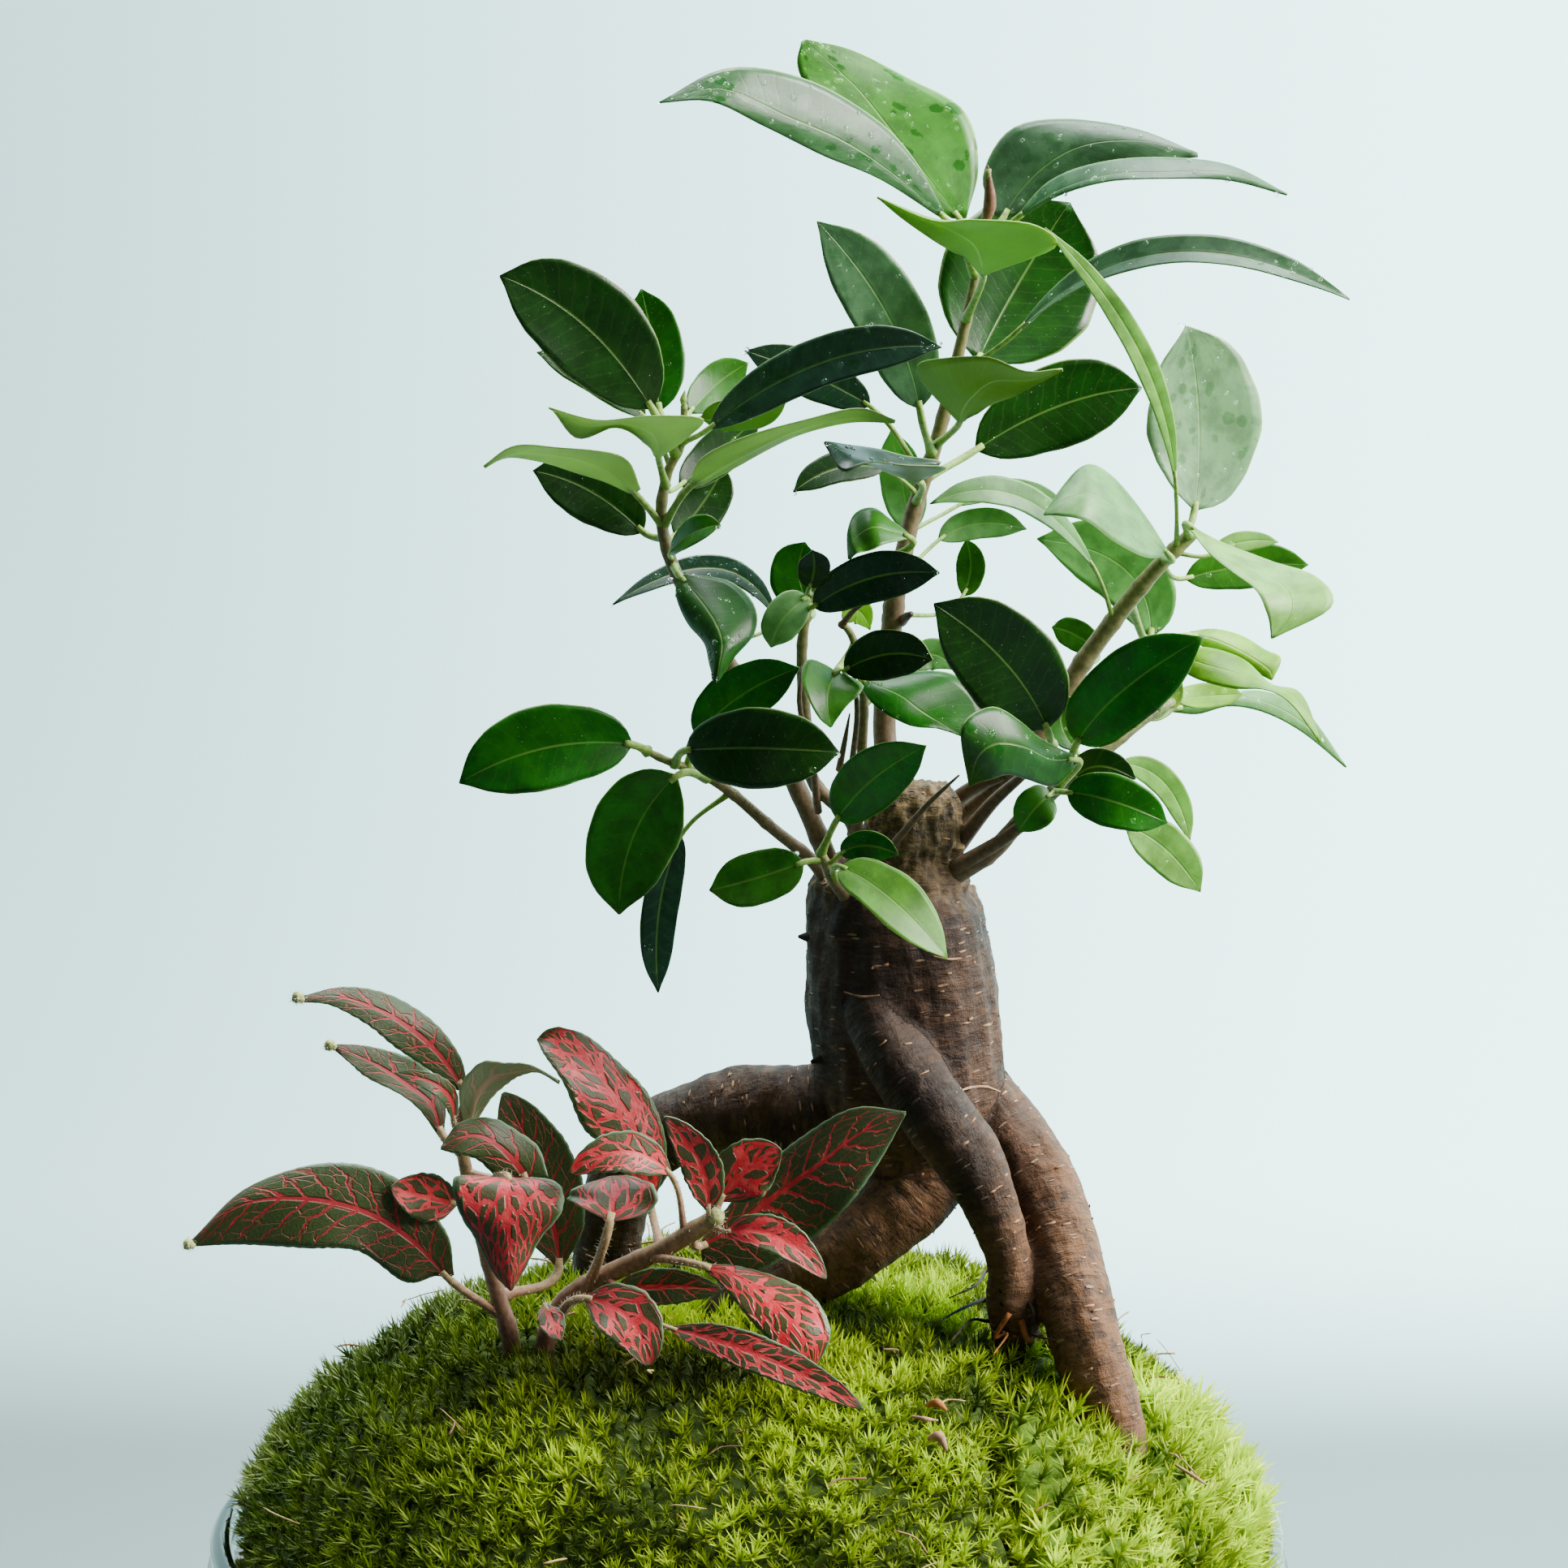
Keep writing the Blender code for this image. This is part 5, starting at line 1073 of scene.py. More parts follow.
def fig_leaf_material():
    """Waxy fig leaf: pale midrib and side veins, wet patches, paler underside."""
    material, tree = new_material("fig_leaf")
    across, along, number, spot = leaf_coordinates(tree)
    tint = stored(tree, "tint", "Color")
    gloss = stored(tree, "gloss", "Fac")
    wet = stored(tree, "wet", "Fac")
    under = ramp(tree, spot[2], 0.2, 0.9)
    place = node(tree, "CombineXYZ", {0: across, 1: along, 2: number}).outputs[0]
    off_rib = maths(tree, "ABSOLUTE", across)
    midrib = ramp(tree, off_rib, 0.30, 0.08)
    warp = maths(tree, "MULTIPLY", grain_noise(tree, place, 0.35, 2.0), 1.6)
    course = maths(tree, "ADD", maths(tree, "SUBTRACT", along,
                                      maths(tree, "MULTIPLY", off_rib, 0.55)), warp)
    wave = maths(tree, "PINGPONG", course, 1.45)
    side_veins = maths(tree, "MULTIPLY", ramp(tree, wave, 0.30, 0.02), 0.10)
    veins = maths(tree, "MAXIMUM", midrib, side_veins)
    mottle = grain_noise(tree, place, 0.22, 3.0, 0.6)
    shade = ramp(tree, mottle, 0.3, 0.7, 0.72, 1.22)
    face = mixed(tree, 1.0, tint, node(tree, "CombineColor", {0: shade, 1: shade, 2: shade})
                 .outputs[0], "MULTIPLY")
    face = mixed(tree, maths(tree, "MULTIPLY", veins, 0.24), face, (0.30, 0.50, 0.10, 1))
    edge = ramp(tree, maths(tree, "ABSOLUTE", spot[0]), 0.955, 0.995)
    face = mixed(tree, maths(tree, "MULTIPLY", edge, 0.55), face, (0.36, 0.52, 0.18, 1))
    blot = node(tree, "TexVoronoi", {"Vector": place, "Scale": 0.30, "Smoothness": 0.4,
                                     "Randomness": 1.0}, feature="SMOOTH_F1")
    rough_blot = maths(tree, "ADD", blot.outputs["Distance"],
                       maths(tree, "MULTIPLY", grain_noise(tree, place, 0.9, 2.0), 0.35))
    region = ramp(tree, grain_noise(tree, place, 0.075, 1.0), 0.46, 0.54)
    patch = maths(tree, "MULTIPLY", maths(tree, "MULTIPLY", ramp(tree, rough_blot, 0.54, 0.48),
                                          region), wet)
    face = mixed(tree, maths(tree, "MULTIPLY", patch, 0.62), face, (0.006, 0.070, 0.008, 1))
    speck = ramp(tree, grain_noise(tree, place, 2.6, 2.0, 0.5), 0.70, 0.76)
    face = mixed(tree, maths(tree, "MULTIPLY", speck, 0.30), face, (0.55, 0.62, 0.55, 1))
    below = mixed(tree, 0.45, tint, (0.200, 0.330, 0.025, 1))
    below = mixed(tree, maths(tree, "MULTIPLY", veins, 0.45), below, (0.42, 0.58, 0.26, 1))
    colour = mixed(tree, under, face, below)
    dull = maths(tree, "ADD", gloss, maths(tree, "MULTIPLY", under, 0.16))
    dull = maths(tree, "SUBTRACT", dull, maths(tree, "MULTIPLY", patch, 0.26))
    height = maths(tree, "SUBTRACT", maths(tree, "MULTIPLY", mottle, 0.5),
                   maths(tree, "MULTIPLY", veins, 0.55))
    height = maths(tree, "ADD", height, maths(tree, "MULTIPLY", grain_noise(
        tree, place, 3.2, 2.0), 0.10))
    bump = node(tree, "Bump", {"Height": height, "Strength": 0.55, "Distance": 0.22 * MM})
    solid = node(tree, "BsdfPrincipled", {
        "Base Color": colour, "Roughness": dull, "Specular IOR Level": 0.28,
        "Normal": bump.outputs[0], "Coat Weight": 0.03, "Coat Roughness": 0.25})
    glow = mixed(tree, 1.0, colour, (1.35, 1.5, 0.75, 1), "MULTIPLY")
    through = node(tree, "BsdfTranslucent", {"Color": glow, "Normal": bump.outputs[0]})
    mix = node(tree, "MixShader", {0: 0.30, 1: solid.outputs[0], 2: through.outputs[0]})
    output(tree, mix.outputs[0])
    return material


def net_leaf_material(settings):
    """Velvety leaf with a net of red veins and a green edge."""
    material, tree = new_material("net_leaf")
    across, along, number, spot = leaf_coordinates(tree)
    look = node(tree, "SeparateXYZ", {0: stored(tree, "look")})
    redness, bright, gloss = look.outputs
    off_rib = maths(tree, "ABSOLUTE", across)
    side = maths(tree, "SIGN", across)
    seed = maths(tree, "ADD", maths(tree, "MULTIPLY", number, 7.3), side)
    place = node(tree, "CombineXYZ", {0: across, 1: along, 2: seed}).outputs[0]
    warp = maths(tree, "MULTIPLY", maths(tree, "SUBTRACT", grain_noise(tree, place, 0.45, 2.0),
                                         0.5), 2.6)
    course = maths(tree, "ADD", maths(tree, "SUBTRACT", along,
                                      maths(tree, "MULTIPLY", off_rib, 1.05)), warp)
    slant = node(tree, "CombineXYZ", {
        0: maths(tree, "MULTIPLY", off_rib, 0.62), 1: maths(tree, "MULTIPLY", course, 0.40),
        2: seed}).outputs[0]
    net = node(tree, "TexVoronoi", {"Vector": slant, "Scale": 0.62, "Randomness": 0.85},
               feature="DISTANCE_TO_EDGE").outputs["Distance"]
    far = maths(tree, "ABSOLUTE", spot[0])
    reach = maths(tree, "SUBTRACT", 1.0, maths(tree, "MULTIPLY", far, 0.45))
    width = maths(tree, "MULTIPLY", maths(tree, "ADD", 0.014, maths(
        tree, "MULTIPLY", maths(tree, "POWER", redness, 2.0), 0.27)), reach)
    net_vein = ramp(tree, maths(tree, "SUBTRACT", net, width), 0.026, -0.008)
    wave = maths(tree, "PINGPONG", course, 2.3)
    narrowing = maths(tree, "SUBTRACT", 1.15, far)
    side_width = maths(tree, "MULTIPLY", maths(tree, "ADD", 0.20, maths(
        tree, "MULTIPLY", redness, 0.50)), narrowing)
    side_vein = ramp(tree, maths(tree, "SUBTRACT", wave, side_width), 0.16, -0.06)
    mid_width = maths(tree, "MULTIPLY", maths(tree, "SUBTRACT", 1.15, spot[1]), 0.62)
    midrib = ramp(tree, maths(tree, "SUBTRACT", off_rib, mid_width), 0.25, -0.10)
    faint = ramp(tree, redness, 0.20, 0.55, 0.42, 1.0)
    veins = maths(tree, "MAXIMUM", maths(tree, "MAXIMUM", maths(
        tree, "MULTIPLY", net_vein, faint), side_vein), midrib)
    ragged = maths(tree, "ADD", far, maths(tree, "MULTIPLY", maths(
        tree, "SUBTRACT", grain_noise(tree, place, 0.8, 2.0), 0.5), 0.24))
    inner = ramp(tree, ragged, 0.96, 0.80)
    inner = maths(tree, "MULTIPLY", inner, ramp(tree, spot[1], 1.0, 0.93))
    veins = maths(tree, "MULTIPLY", veins, inner)
    fine = grain_noise(tree, place, 2.4, 3.0, 0.6)
    green = mixed(tree, ramp(tree, fine, 0.3, 0.75), opaque(settings.blade),
                  (0.024, 0.070, 0.007, 1))
    dim = mixed(tree, bright, (0.24, 0.010, 0.016, 1), opaque(settings.vein))
    pink = mixed(tree, maths(tree, "MULTIPLY", ramp(tree, grain_noise(
        tree, place, 0.5, 2.0), 0.4, 0.7), bright), dim, (0.62, 0.060, 0.060, 1))
    blush = maths(tree, "MULTIPLY", inner, maths(tree, "MULTIPLY", redness, 0.65))
    green = mixed(tree, blush, green, (0.085, 0.022, 0.012, 1))
    face = mixed(tree, veins, green, pink)
    edge = ramp(tree, far, 0.93, 0.985)
    face = mixed(tree, maths(tree, "MULTIPLY", edge, 0.5), face, (0.16, 0.25, 0.13, 1))
    under = ramp(tree, spot[2], 0.2, 0.9)
    below = mixed(tree, veins, (0.30, 0.36, 0.19, 1), (0.52, 0.40, 0.26, 1))
    colour = mixed(tree, under, face, below)
    height = maths(tree, "SUBTRACT", maths(tree, "MULTIPLY", fine, 0.35),
                   maths(tree, "MULTIPLY", veins, 0.8))
    bump = node(tree, "Bump", {"Height": height, "Strength": 0.75, "Distance": 0.35 * MM})
    dull = maths(tree, "SUBTRACT", 0.60, maths(tree, "MULTIPLY", gloss, 0.36))
    dull = maths(tree, "ADD", dull, maths(tree, "MULTIPLY", fine, 0.12))
    solid = node(tree, "BsdfPrincipled", {
        "Base Color": colour, "Roughness": dull, "Normal": bump.outputs[0],
        "Sheen Weight": 0.06, "Sheen Roughness": 0.5, "Specular IOR Level": 0.4})
    through = node(tree, "BsdfTranslucent", {"Color": mixed(
        tree, 1.0, colour, (1.3, 1.1, 1.0, 1), "MULTIPLY")})
    mix = node(tree, "MixShader", {0: 0.18, 1: solid.outputs[0], 2: through.outputs[0]})
    output(tree, mix.outputs[0])
    return material


def bark_material(settings):
    """Dark bark, wrinkled round the limb, worn paler in places, with painted light on the lit roots
    and painted shade on the front root.
    """
    material, tree = new_material("bark")
    grain = stored(tree, "grain")
    scar = stored(tree, "scar", "Fac")
    ringed = node(tree, "Mapping", {"Vector": grain, "Scale": (1.0, 1.0, 3.4)}).outputs[0]
    drawn = node(tree, "Mapping", {"Vector": grain, "Scale": (1.0, 1.0, 0.45)}).outputs[0]
    broad = grain_noise(tree, grain, 55.0, 4.0, 0.6)
    rings = grain_noise(tree, ringed, 210.0, 4.0, 0.62, 0.5)
    cracks = grain_noise(tree, drawn, 900.0, 3.0, 0.7)
    crust = grain_noise(tree, grain, 420.0, 5.0, 0.7)
    worn = maths(tree, "ADD", maths(tree, "MULTIPLY", ramp(tree, broad, 0.35, 0.70), 0.55),
                 maths(tree, "MULTIPLY", ramp(tree, rings, 0.42, 0.75), 0.55))
    colour = mixed(tree, worn, opaque(settings.bark), opaque(settings.worn))
    colour = mixed(tree, maths(tree, "MULTIPLY", ramp(tree, cracks, 0.52, 0.72), 0.5), colour,
                   (0.014, 0.009, 0.008, 1))
    dashes = node(tree, "TexVoronoi", {
        "Vector": node(tree, "Mapping", {"Vector": grain, "Scale": (1.0, 1.0, 4.2)}).outputs[0],
        "Scale": 260.0, "Randomness": 1.0})
    kept = ramp(tree, node(tree, "SeparateColor", {0: dashes.outputs["Color"]}).outputs[0],
                0.80, 0.84)
    dash = maths(tree, "MULTIPLY", ramp(tree, dashes.outputs["Distance"], 0.30, 0.20), kept)
    colour = mixed(tree, maths(tree, "MULTIPLY", dash, 0.75), colour, (0.30, 0.185, 0.115, 1))
    # Painted light: warm pale bark where light falls on the roots
    painted_light = maths(tree, "MULTIPLY", stored(tree, "painted_light", "Fac"), ramp(tree, crust, 0.3, 0.6))
    colour = mixed(tree, maths(tree, "MULTIPLY", painted_light, 0.42), colour, (0.240, 0.115, 0.050, 1))
    # Painted shade on the front root
    painted_shade = maths(tree, "MULTIPLY", stored(tree, "painted_shade", "Fac"), 0.62)
    colour = mixed(tree, painted_shade, colour, (0.010, 0.006, 0.004, 1))
    flaky = mixed(tree, ramp(tree, crust, 0.35, 0.68), (0.030, 0.021, 0.010, 1),
                  (0.180, 0.120, 0.055, 1))
    colour = mixed(tree, scar, colour, flaky)
    height = maths(tree, "ADD", maths(tree, "MULTIPLY", rings, 0.9),
                   maths(tree, "MULTIPLY", cracks, -0.35))
    height = maths(tree, "ADD", height, maths(tree, "MULTIPLY", crust, 0.35))
    height = maths(tree, "ADD", height, maths(tree, "MULTIPLY", dash, 0.5))
    bump = node(tree, "Bump", {"Height": height, "Strength": 1.0, "Distance": 0.75 * MM})
    dull = ramp(tree, crust, 0.2, 0.8, 0.62, 0.86)
    solid = node(tree, "BsdfPrincipled", {"Base Color": colour, "Roughness": dull,
                                          "Specular IOR Level": 0.22,
                                          "Normal": bump.outputs[0]})
    output(tree, solid.outputs[0])
    return material


def stage_material(settings):
    """Plain backdrop, brighter to the right, darker on the floor and pale far away.

    Its back lets light through, so that the object shows from behind it too.
    """
    material, tree = new_material("backdrop")
    spot = node(tree, "SeparateXYZ", {0: node(tree, "TexCoord").outputs["Object"]})
    across = ramp(tree, spot.outputs[0], -0.30, 0.30, 0.34, 1.0)
    floor = maths(tree, "MULTIPLY", ramp(tree, spot.outputs[1], 0.36, 0.56, 0.16, 1.0),
                  ramp(tree, spot.outputs[1], -0.3, 0.1))
    solid = node(tree, "BsdfPrincipled", {"Base Color": (0.11, 0.13, 0.13, 1),
                                          "Roughness": 0.9, "Specular IOR Level": 0.1})
    glow = node(tree, "Emission", {
        "Color": opaque(settings.backdrop),
        "Strength": maths(tree, "MULTIPLY", maths(tree, "MULTIPLY", across, floor),
                          settings.glow)})
    near = node(tree, "AddShader", {0: solid.outputs[0], 1: glow.outputs[0]}).outputs[0]
    reach = node(tree, "VectorMath", {0: node(tree, "TexCoord").outputs["Object"]},
                 operation="LENGTH").outputs["Value"]
    straight = node(tree, "LightPath").outputs["Is Camera Ray"]
    front = maths(tree, "MULTIPLY", ramp(tree, reach, 0.45, 1.1),
                  ramp(tree, spot.outputs[1], 0.28, 0.12))
    side = maths(tree, "MULTIPLY", ramp(tree, reach, 0.45, 1.1),
                 ramp(tree, maths(tree, "ABSOLUTE", spot.outputs[0]), 0.45, 0.9))
    away = maths(tree, "MULTIPLY", maths(tree, "MAXIMUM", front, side), straight)
    haze = node(tree, "Emission", {"Color": FAR_COLOUR, "Strength": FAR_GLOW})
    facing = node(tree, "MixShader", {0: away, 1: near, 2: haze.outputs[0]}).outputs[0]
    back = node(tree, "NewGeometry").outputs["Backfacing"]
    clear = node(tree, "BsdfTransparent")
    output(tree, node(tree, "MixShader", {0: back, 1: facing, 2: clear.outputs[0]}).outputs[0])
    return material


def daylight():
    """Dim surroundings, brighter behind, above and to the right."""
    world = bpy.data.worlds.new("daylight")
    world.use_nodes = True
    tree = world.node_tree
    tree.nodes.clear()
    way = node(tree, "TexCoord").outputs["Generated"]
    bright = node(tree, "VectorMath", {0: way, 1: (0.52, 0.42, 0.74)}, operation="DOT_PRODUCT")
    strength = ramp(tree, bright.outputs["Value"], 0.0, 1.0, 0.02, 0.9)
    around = node(tree, "Background", {"Color": (0.86, 0.95, 1.0, 1), "Strength": strength})
    behind = node(tree, "Background", {"Color": FAR_COLOUR, "Strength": FAR_GLOW})
    seen_straight = node(tree, "LightPath").outputs["Is Camera Ray"]
    mix = node(tree, "MixShader", {0: seen_straight, 1: around.outputs[0],
                                   2: behind.outputs[0]})
    node(tree, "OutputWorld", {"Surface": mix.outputs[0]})
    return world


class TERRARIUM_OT_glass_bowl(bpy.types.Operator):
    """Spin the glass bowl with its rolled lip"""
    bl_idname = "terrarium.glass_bowl"
    bl_label = "Glass bowl"

    def execute(self, context):
        settings = context.scene.terrarium_bowl
        lip = settings.lip
        profile = [(radius * MM, height * MM) for radius, height in FOOT_PROFILE]
        for step in range(1, 19):
            height = BELLY_HEIGHT * (1 - cos(step * pi / 36))
            profile.append((wall_radius(height, 0), height))
        top = RIM_HEIGHT - 2.6 * lip
        for step in range(1, 13):
            height = BELLY_HEIGHT + (top - BELLY_HEIGHT) * step / 12
            profile.append((wall_radius(height, 0), height))
        for step in range(15):
            turn = radians(-60 + 20 * step)
            profile.append((RIM_RADIUS - lip + lip * cos(turn),
                            RIM_HEIGHT - lip + lip * sin(turn)))
        inside = []
        for step in range(37):
            height = FOOT_THICKNESS + 1 * MM + (100 * MM - FOOT_THICKNESS - 1 * MM) * (
                step / 36) ** 1.3
            inside.append((filling_radius(height, settings.wall) + LAYER_GAP - 0.05 * MM, height))
        profile += reversed(inside)
        profile += [(FOOT_INSIDE - 1 * MM, FOOT_THICKNESS + 0.1 * MM), (0, FOOT_THICKNESS)]
        bowl = turned("bowl_glass", profile, BOWL_STEPS)
        smooth(bowl, 40)
        dress(bowl, glass_material(settings), "clear_glass", "glass_bowl")
        return {"FINISHED"}


class TERRARIUM_OT_gravel(bpy.types.Operator):
    """Fill the bottom of the bowl with pebbles"""
    bl_idname = "terrarium.gravel"
    bl_label = "Drainage gravel"

    def execute(self, context):
        settings = context.scene.terrarium_bowl
        material = tinted_material("gravel", 0.62, 900.0, 0.15 * MM)
        core = node_copy("gravel_core", ["drainage_gravel"])
        apply(core, "DISPLACE", strength=-3.5 * MM, mid_level=0.0)
        mark(core.data, "tint", colours(np.tile((0.10, 0.085, 0.07), (len(core.data.vertices),
                                                                      1))))
        dress(core, material, "gravel", "drainage_gravel")
        generator = np.random.default_rng(SEEDS["gravel"])
        size = settings.pebble / 2
        places = []
        for level in range(5):
            height = GRAVEL_LOW[2] + size * 0.62 + level * 1.25 * size
            if height > GRAVEL_HIGH[2] - 0.5 * size:
                break
            for ring in range(2 if level < 3 else 30):
                radius = filling_radius(height, settings.wall) - size * (1.0 + 1.75 * ring)
                if radius < size:
                    break
                count = int(2 * pi * radius / (1.8 * size))
                for step in range(count):
                    turn = 2 * pi * (step + generator.uniform(-0.2, 0.2)) / count + level
                    inward = generator.uniform(0, 0.25) * size
                    places.append(((radius - inward) * cos(turn), (radius - inward) * sin(turn),
                                   height + generator.uniform(-0.12, 0.12) * size))
        places = np.array(places)
        blanks = [pebble_blank(seed) for seed in range(4)]
        axes = standing_axes(np.tile((0, 0, 1.0), (len(places), 1)),
                             generator.uniform(0, 2 * pi, len(places)), generator, 0.25)
        sizes = size * generator.uniform(0.75, 1.0, (len(places), 3)) * (1, 0.85, 0.72)
        palette = np.array(GRAVEL_COLOURS)
        chosen_colours = palette[generator.integers(0, len(palette), len(places))]
        chosen_colours = chosen_colours * generator.uniform(0.8, 1.15, (len(places), 1))
        picks = generator.integers(0, len(blanks), len(places))
        pebbles = copies("pebbles", blanks, places, axes, sizes, picks,
                         lambda number, chosen: np.repeat(
                             chosen_colours[chosen][:, None, :],
                             len(blanks[number].data.vertices), axis=1))
        drop(*blanks)
        smooth(pebbles)
        dress(pebbles, material, "gravel", "drainage_gravel")
        return {"FINISHED"}


class TERRARIUM_OT_soil(bpy.types.Operator):
    """Turn the mound of soil, with crumbs against the glass"""
    bl_idname = "terrarium.soil"
    bl_label = "Soil"

    def execute(self, context):
        settings = context.scene.terrarium_bowl
        low, high = SOIL_LOW[2] + 0.2 * MM, SOIL_HIGH[2] - 1 * MM
        edge = 98 * MM
        profile = [(0, low)]
        for step in range(41):
            height = low + (edge - low) * step / 40
            profile.append((filling_radius(height, settings.wall) - 0.15 * MM, height))
        profile += [(90 * MM, edge + 1 * MM), (46 * MM, high), (0, high)]
        mound = turned("soil_mound", profile, SOIL_STEPS)
        apply(mound, "SUBSURF", subdivision_type="SIMPLE", levels=1, render_levels=1)
        lumps = clouds("soil_lumps", 3 * MM, 4)
        apply(mound, "DISPLACE", strength=-2.2 * MM, mid_level=0.0, texture=lumps,
              texture_coords="LOCAL")
        generator = np.random.default_rng(SEEDS["soil"])
        rows = generator.uniform(0.4, 1.6, (len(mound.data.vertices), 1)) * SOIL_COLOUR
        mark(mound.data, "tint", colours(rows))
        smooth(mound, 60)
        material = tinted_material("soil", 0.93, 700.0, 0.5 * MM)
        dress(mound, material, "soil", "soil")
        count = CRUMB_COUNT
        heights = generator.uniform(low + 2 * MM, edge - 1 * MM, count)
        turns = generator.uniform(0, 2 * pi, count)
        radii = filling_radius(heights, settings.wall) - generator.uniform(1.0, 2.2, count) * MM
        places = np.stack([radii * np.cos(turns), radii * np.sin(turns), heights], axis=1)
        axes = standing_axes(np.tile((0, 0, 1.0), (count, 1)), turns, generator, 1.0)
        sizes = generator.uniform(0.5, 1.5, (count, 1)) ** 1.6 * generator.uniform(
            0.6, 1.0, (count, 3)) * MM
        blanks = [crumb_blank(seed) for seed in range(3)]
        palette = np.array(CRUMB_COLOURS)
        rows = palette[generator.choice(len(palette), count, p=CRUMB_SHARES)]
        picks = generator.integers(0, 3, count)
        crumbs = copies("soil_crumbs", blanks, places, axes, sizes, picks,
                        lambda number, chosen: np.repeat(
                            rows[chosen][:, None, :], len(blanks[number].data.vertices), axis=1))
        drop(*blanks)
        smooth(crumbs, 30)
        dress(crumbs, material, "soil", "soil")
        return {"FINISHED"}


class TERRARIUM_OT_moss(bpy.types.Operator):
    """Grow the cushions of moss, shoot by shoot"""
    bl_idname = "terrarium.moss"
    bl_label = "Moss"

    def execute(self, context):
        settings = context.scene.terrarium_moss
        core_material = tinted_material("moss_core", 0.95, 1500.0, 0.4 * MM)
        material = tinted_material("moss_shoots", 0.55, 400.0, 0.05 * MM, translucent=0.5,
                                   variation=0.15)
        blanks = [shoot_blank(seed) for seed in range(6)]
        generator = np.random.default_rng(SEEDS["moss"])
        for name in MOSS_NODES:
            root, tip, size, brightness, sunk = MOSS_LOOKS[name]
            core = node_copy(name + "_core", [name])
            apply(core, "REMESH", mode="VOXEL", voxel_size=1.5 * MM)
            apply(core, "SMOOTH", factor=0.6, iterations=6)
            lumps = clouds(name + "_lumps", 13 * MM, 2)
            apply(core, "DISPLACE", strength=4.2 * MM, mid_level=sunk, texture=lumps,
                  texture_coords="LOCAL")
            places, normals = scatter(core.data, settings.spacing * size ** 0.7, generator)
            # The core is darker than the shoots' roots: partly its own dark old stems, partly painted
            # shade in the gaps between shoots
            rows = np.tile(np.array(root) * 0.45, (len(core.data.vertices), 1))
            mark(core.data, "tint", colours(rows))
            smooth(core)
            dress(core, core_material, "moss", name)
            count = len(places)
            rim = rising(np.linalg.norm(places[:, :2], axis=1), *MOSS_RIM)
            upright = normals * 0.75 + np.array((0, 0, 0.45))
            upright[:, :2] *= 1 - 0.8 * rim[:, None]
            upright[:, 2] = np.maximum(upright[:, 2], 0.3)
            upright /= np.linalg.norm(upright, axis=1)[:, None]
            turns = generator.uniform(0, 2 * pi, count)
            axes = standing_axes(upright, turns, generator, 0.17)
            patch = soft_noise(places, 55.0) * 0.6 + soft_noise(places, 160.0) * 0.4
            grown = generator.uniform(0.7, 1.2, count) * (1 + 0.25 * patch)
            sizes = (settings.height * size * grown)[:, None] * (1.0, 1.0, 1.0)
            light = np.clip(brightness + 1.1 * patch + generator.normal(0, 0.18, count), 0, 1)
            # Painted shade: the main cushion darker to its left and at its back
            if name == "moss_main":
                side = rising(places[:, 0], *SHADY_SIDE)
                before = falling(places[:, 1], *SHADY_BACK)
                light *= 0.25 + 0.75 * side * before
            low = np.array(DARK_MOSS)
            tips = low + (np.array(tip) - low) * light[:, None]
            # Painted shadow of the net-leaf plant on the moss
            across, down = picture_place(places)
            shade = ((across - SHADE_SPOT[0]) / SHADE_SPOT[2]) ** 2 + (
                (down - SHADE_SPOT[1]) / SHADE_SPOT[3]) ** 2
            tips *= 1 - 0.84 * np.exp(-shade)[:, None]
            # Painted shade at the seams between cushions, on shoots that face sideways
            seam_shade = falling(normals[:, 2], *SEAM_SHADE) * (1 - rim)
            tips *= 1 - 0.75 * seam_shade[:, None]
            tips *= generator.uniform(0.82, 1.18, (count, 1))
            # Roots follow the tips' lightness, painted shade included, and darken under the painted
            # shadow
            roots = np.array(root) * (0.6 + 0.8 * light[:, None]) * (
                1 - 0.7 * np.exp(-shade)[:, None])
            picks = generator.integers(0, len(blanks), count)
            parts = np.array_split(np.arange(count), ceil(count / SHOOTS_IN_PIECE))
            for part, chosen in enumerate(parts):
                piece = copies(
                    f"{name}_shoots_{part}", blanks, places[chosen], axes[chosen],
                    sizes[chosen], picks[chosen],
                    shoot_colours(blanks, roots[chosen], tips[chosen]))
                dress(piece, material, "moss", name)
        drop(*blanks)
        return {"FINISHED"}


def shoot_colours(blanks, roots, tips):
    """Function that colours shoots from their dark roots to their bright tips."""
    def rows_of(number, chosen):
        height = points_of(blanks[number].data)
        share = np.clip(np.linalg.norm(height, axis=1), 0, 1)[None, :, None] ** 0.8
        return roots[chosen][:, None, :] * (1 - share) + tips[chosen][:, None, :] * share
    return rows_of


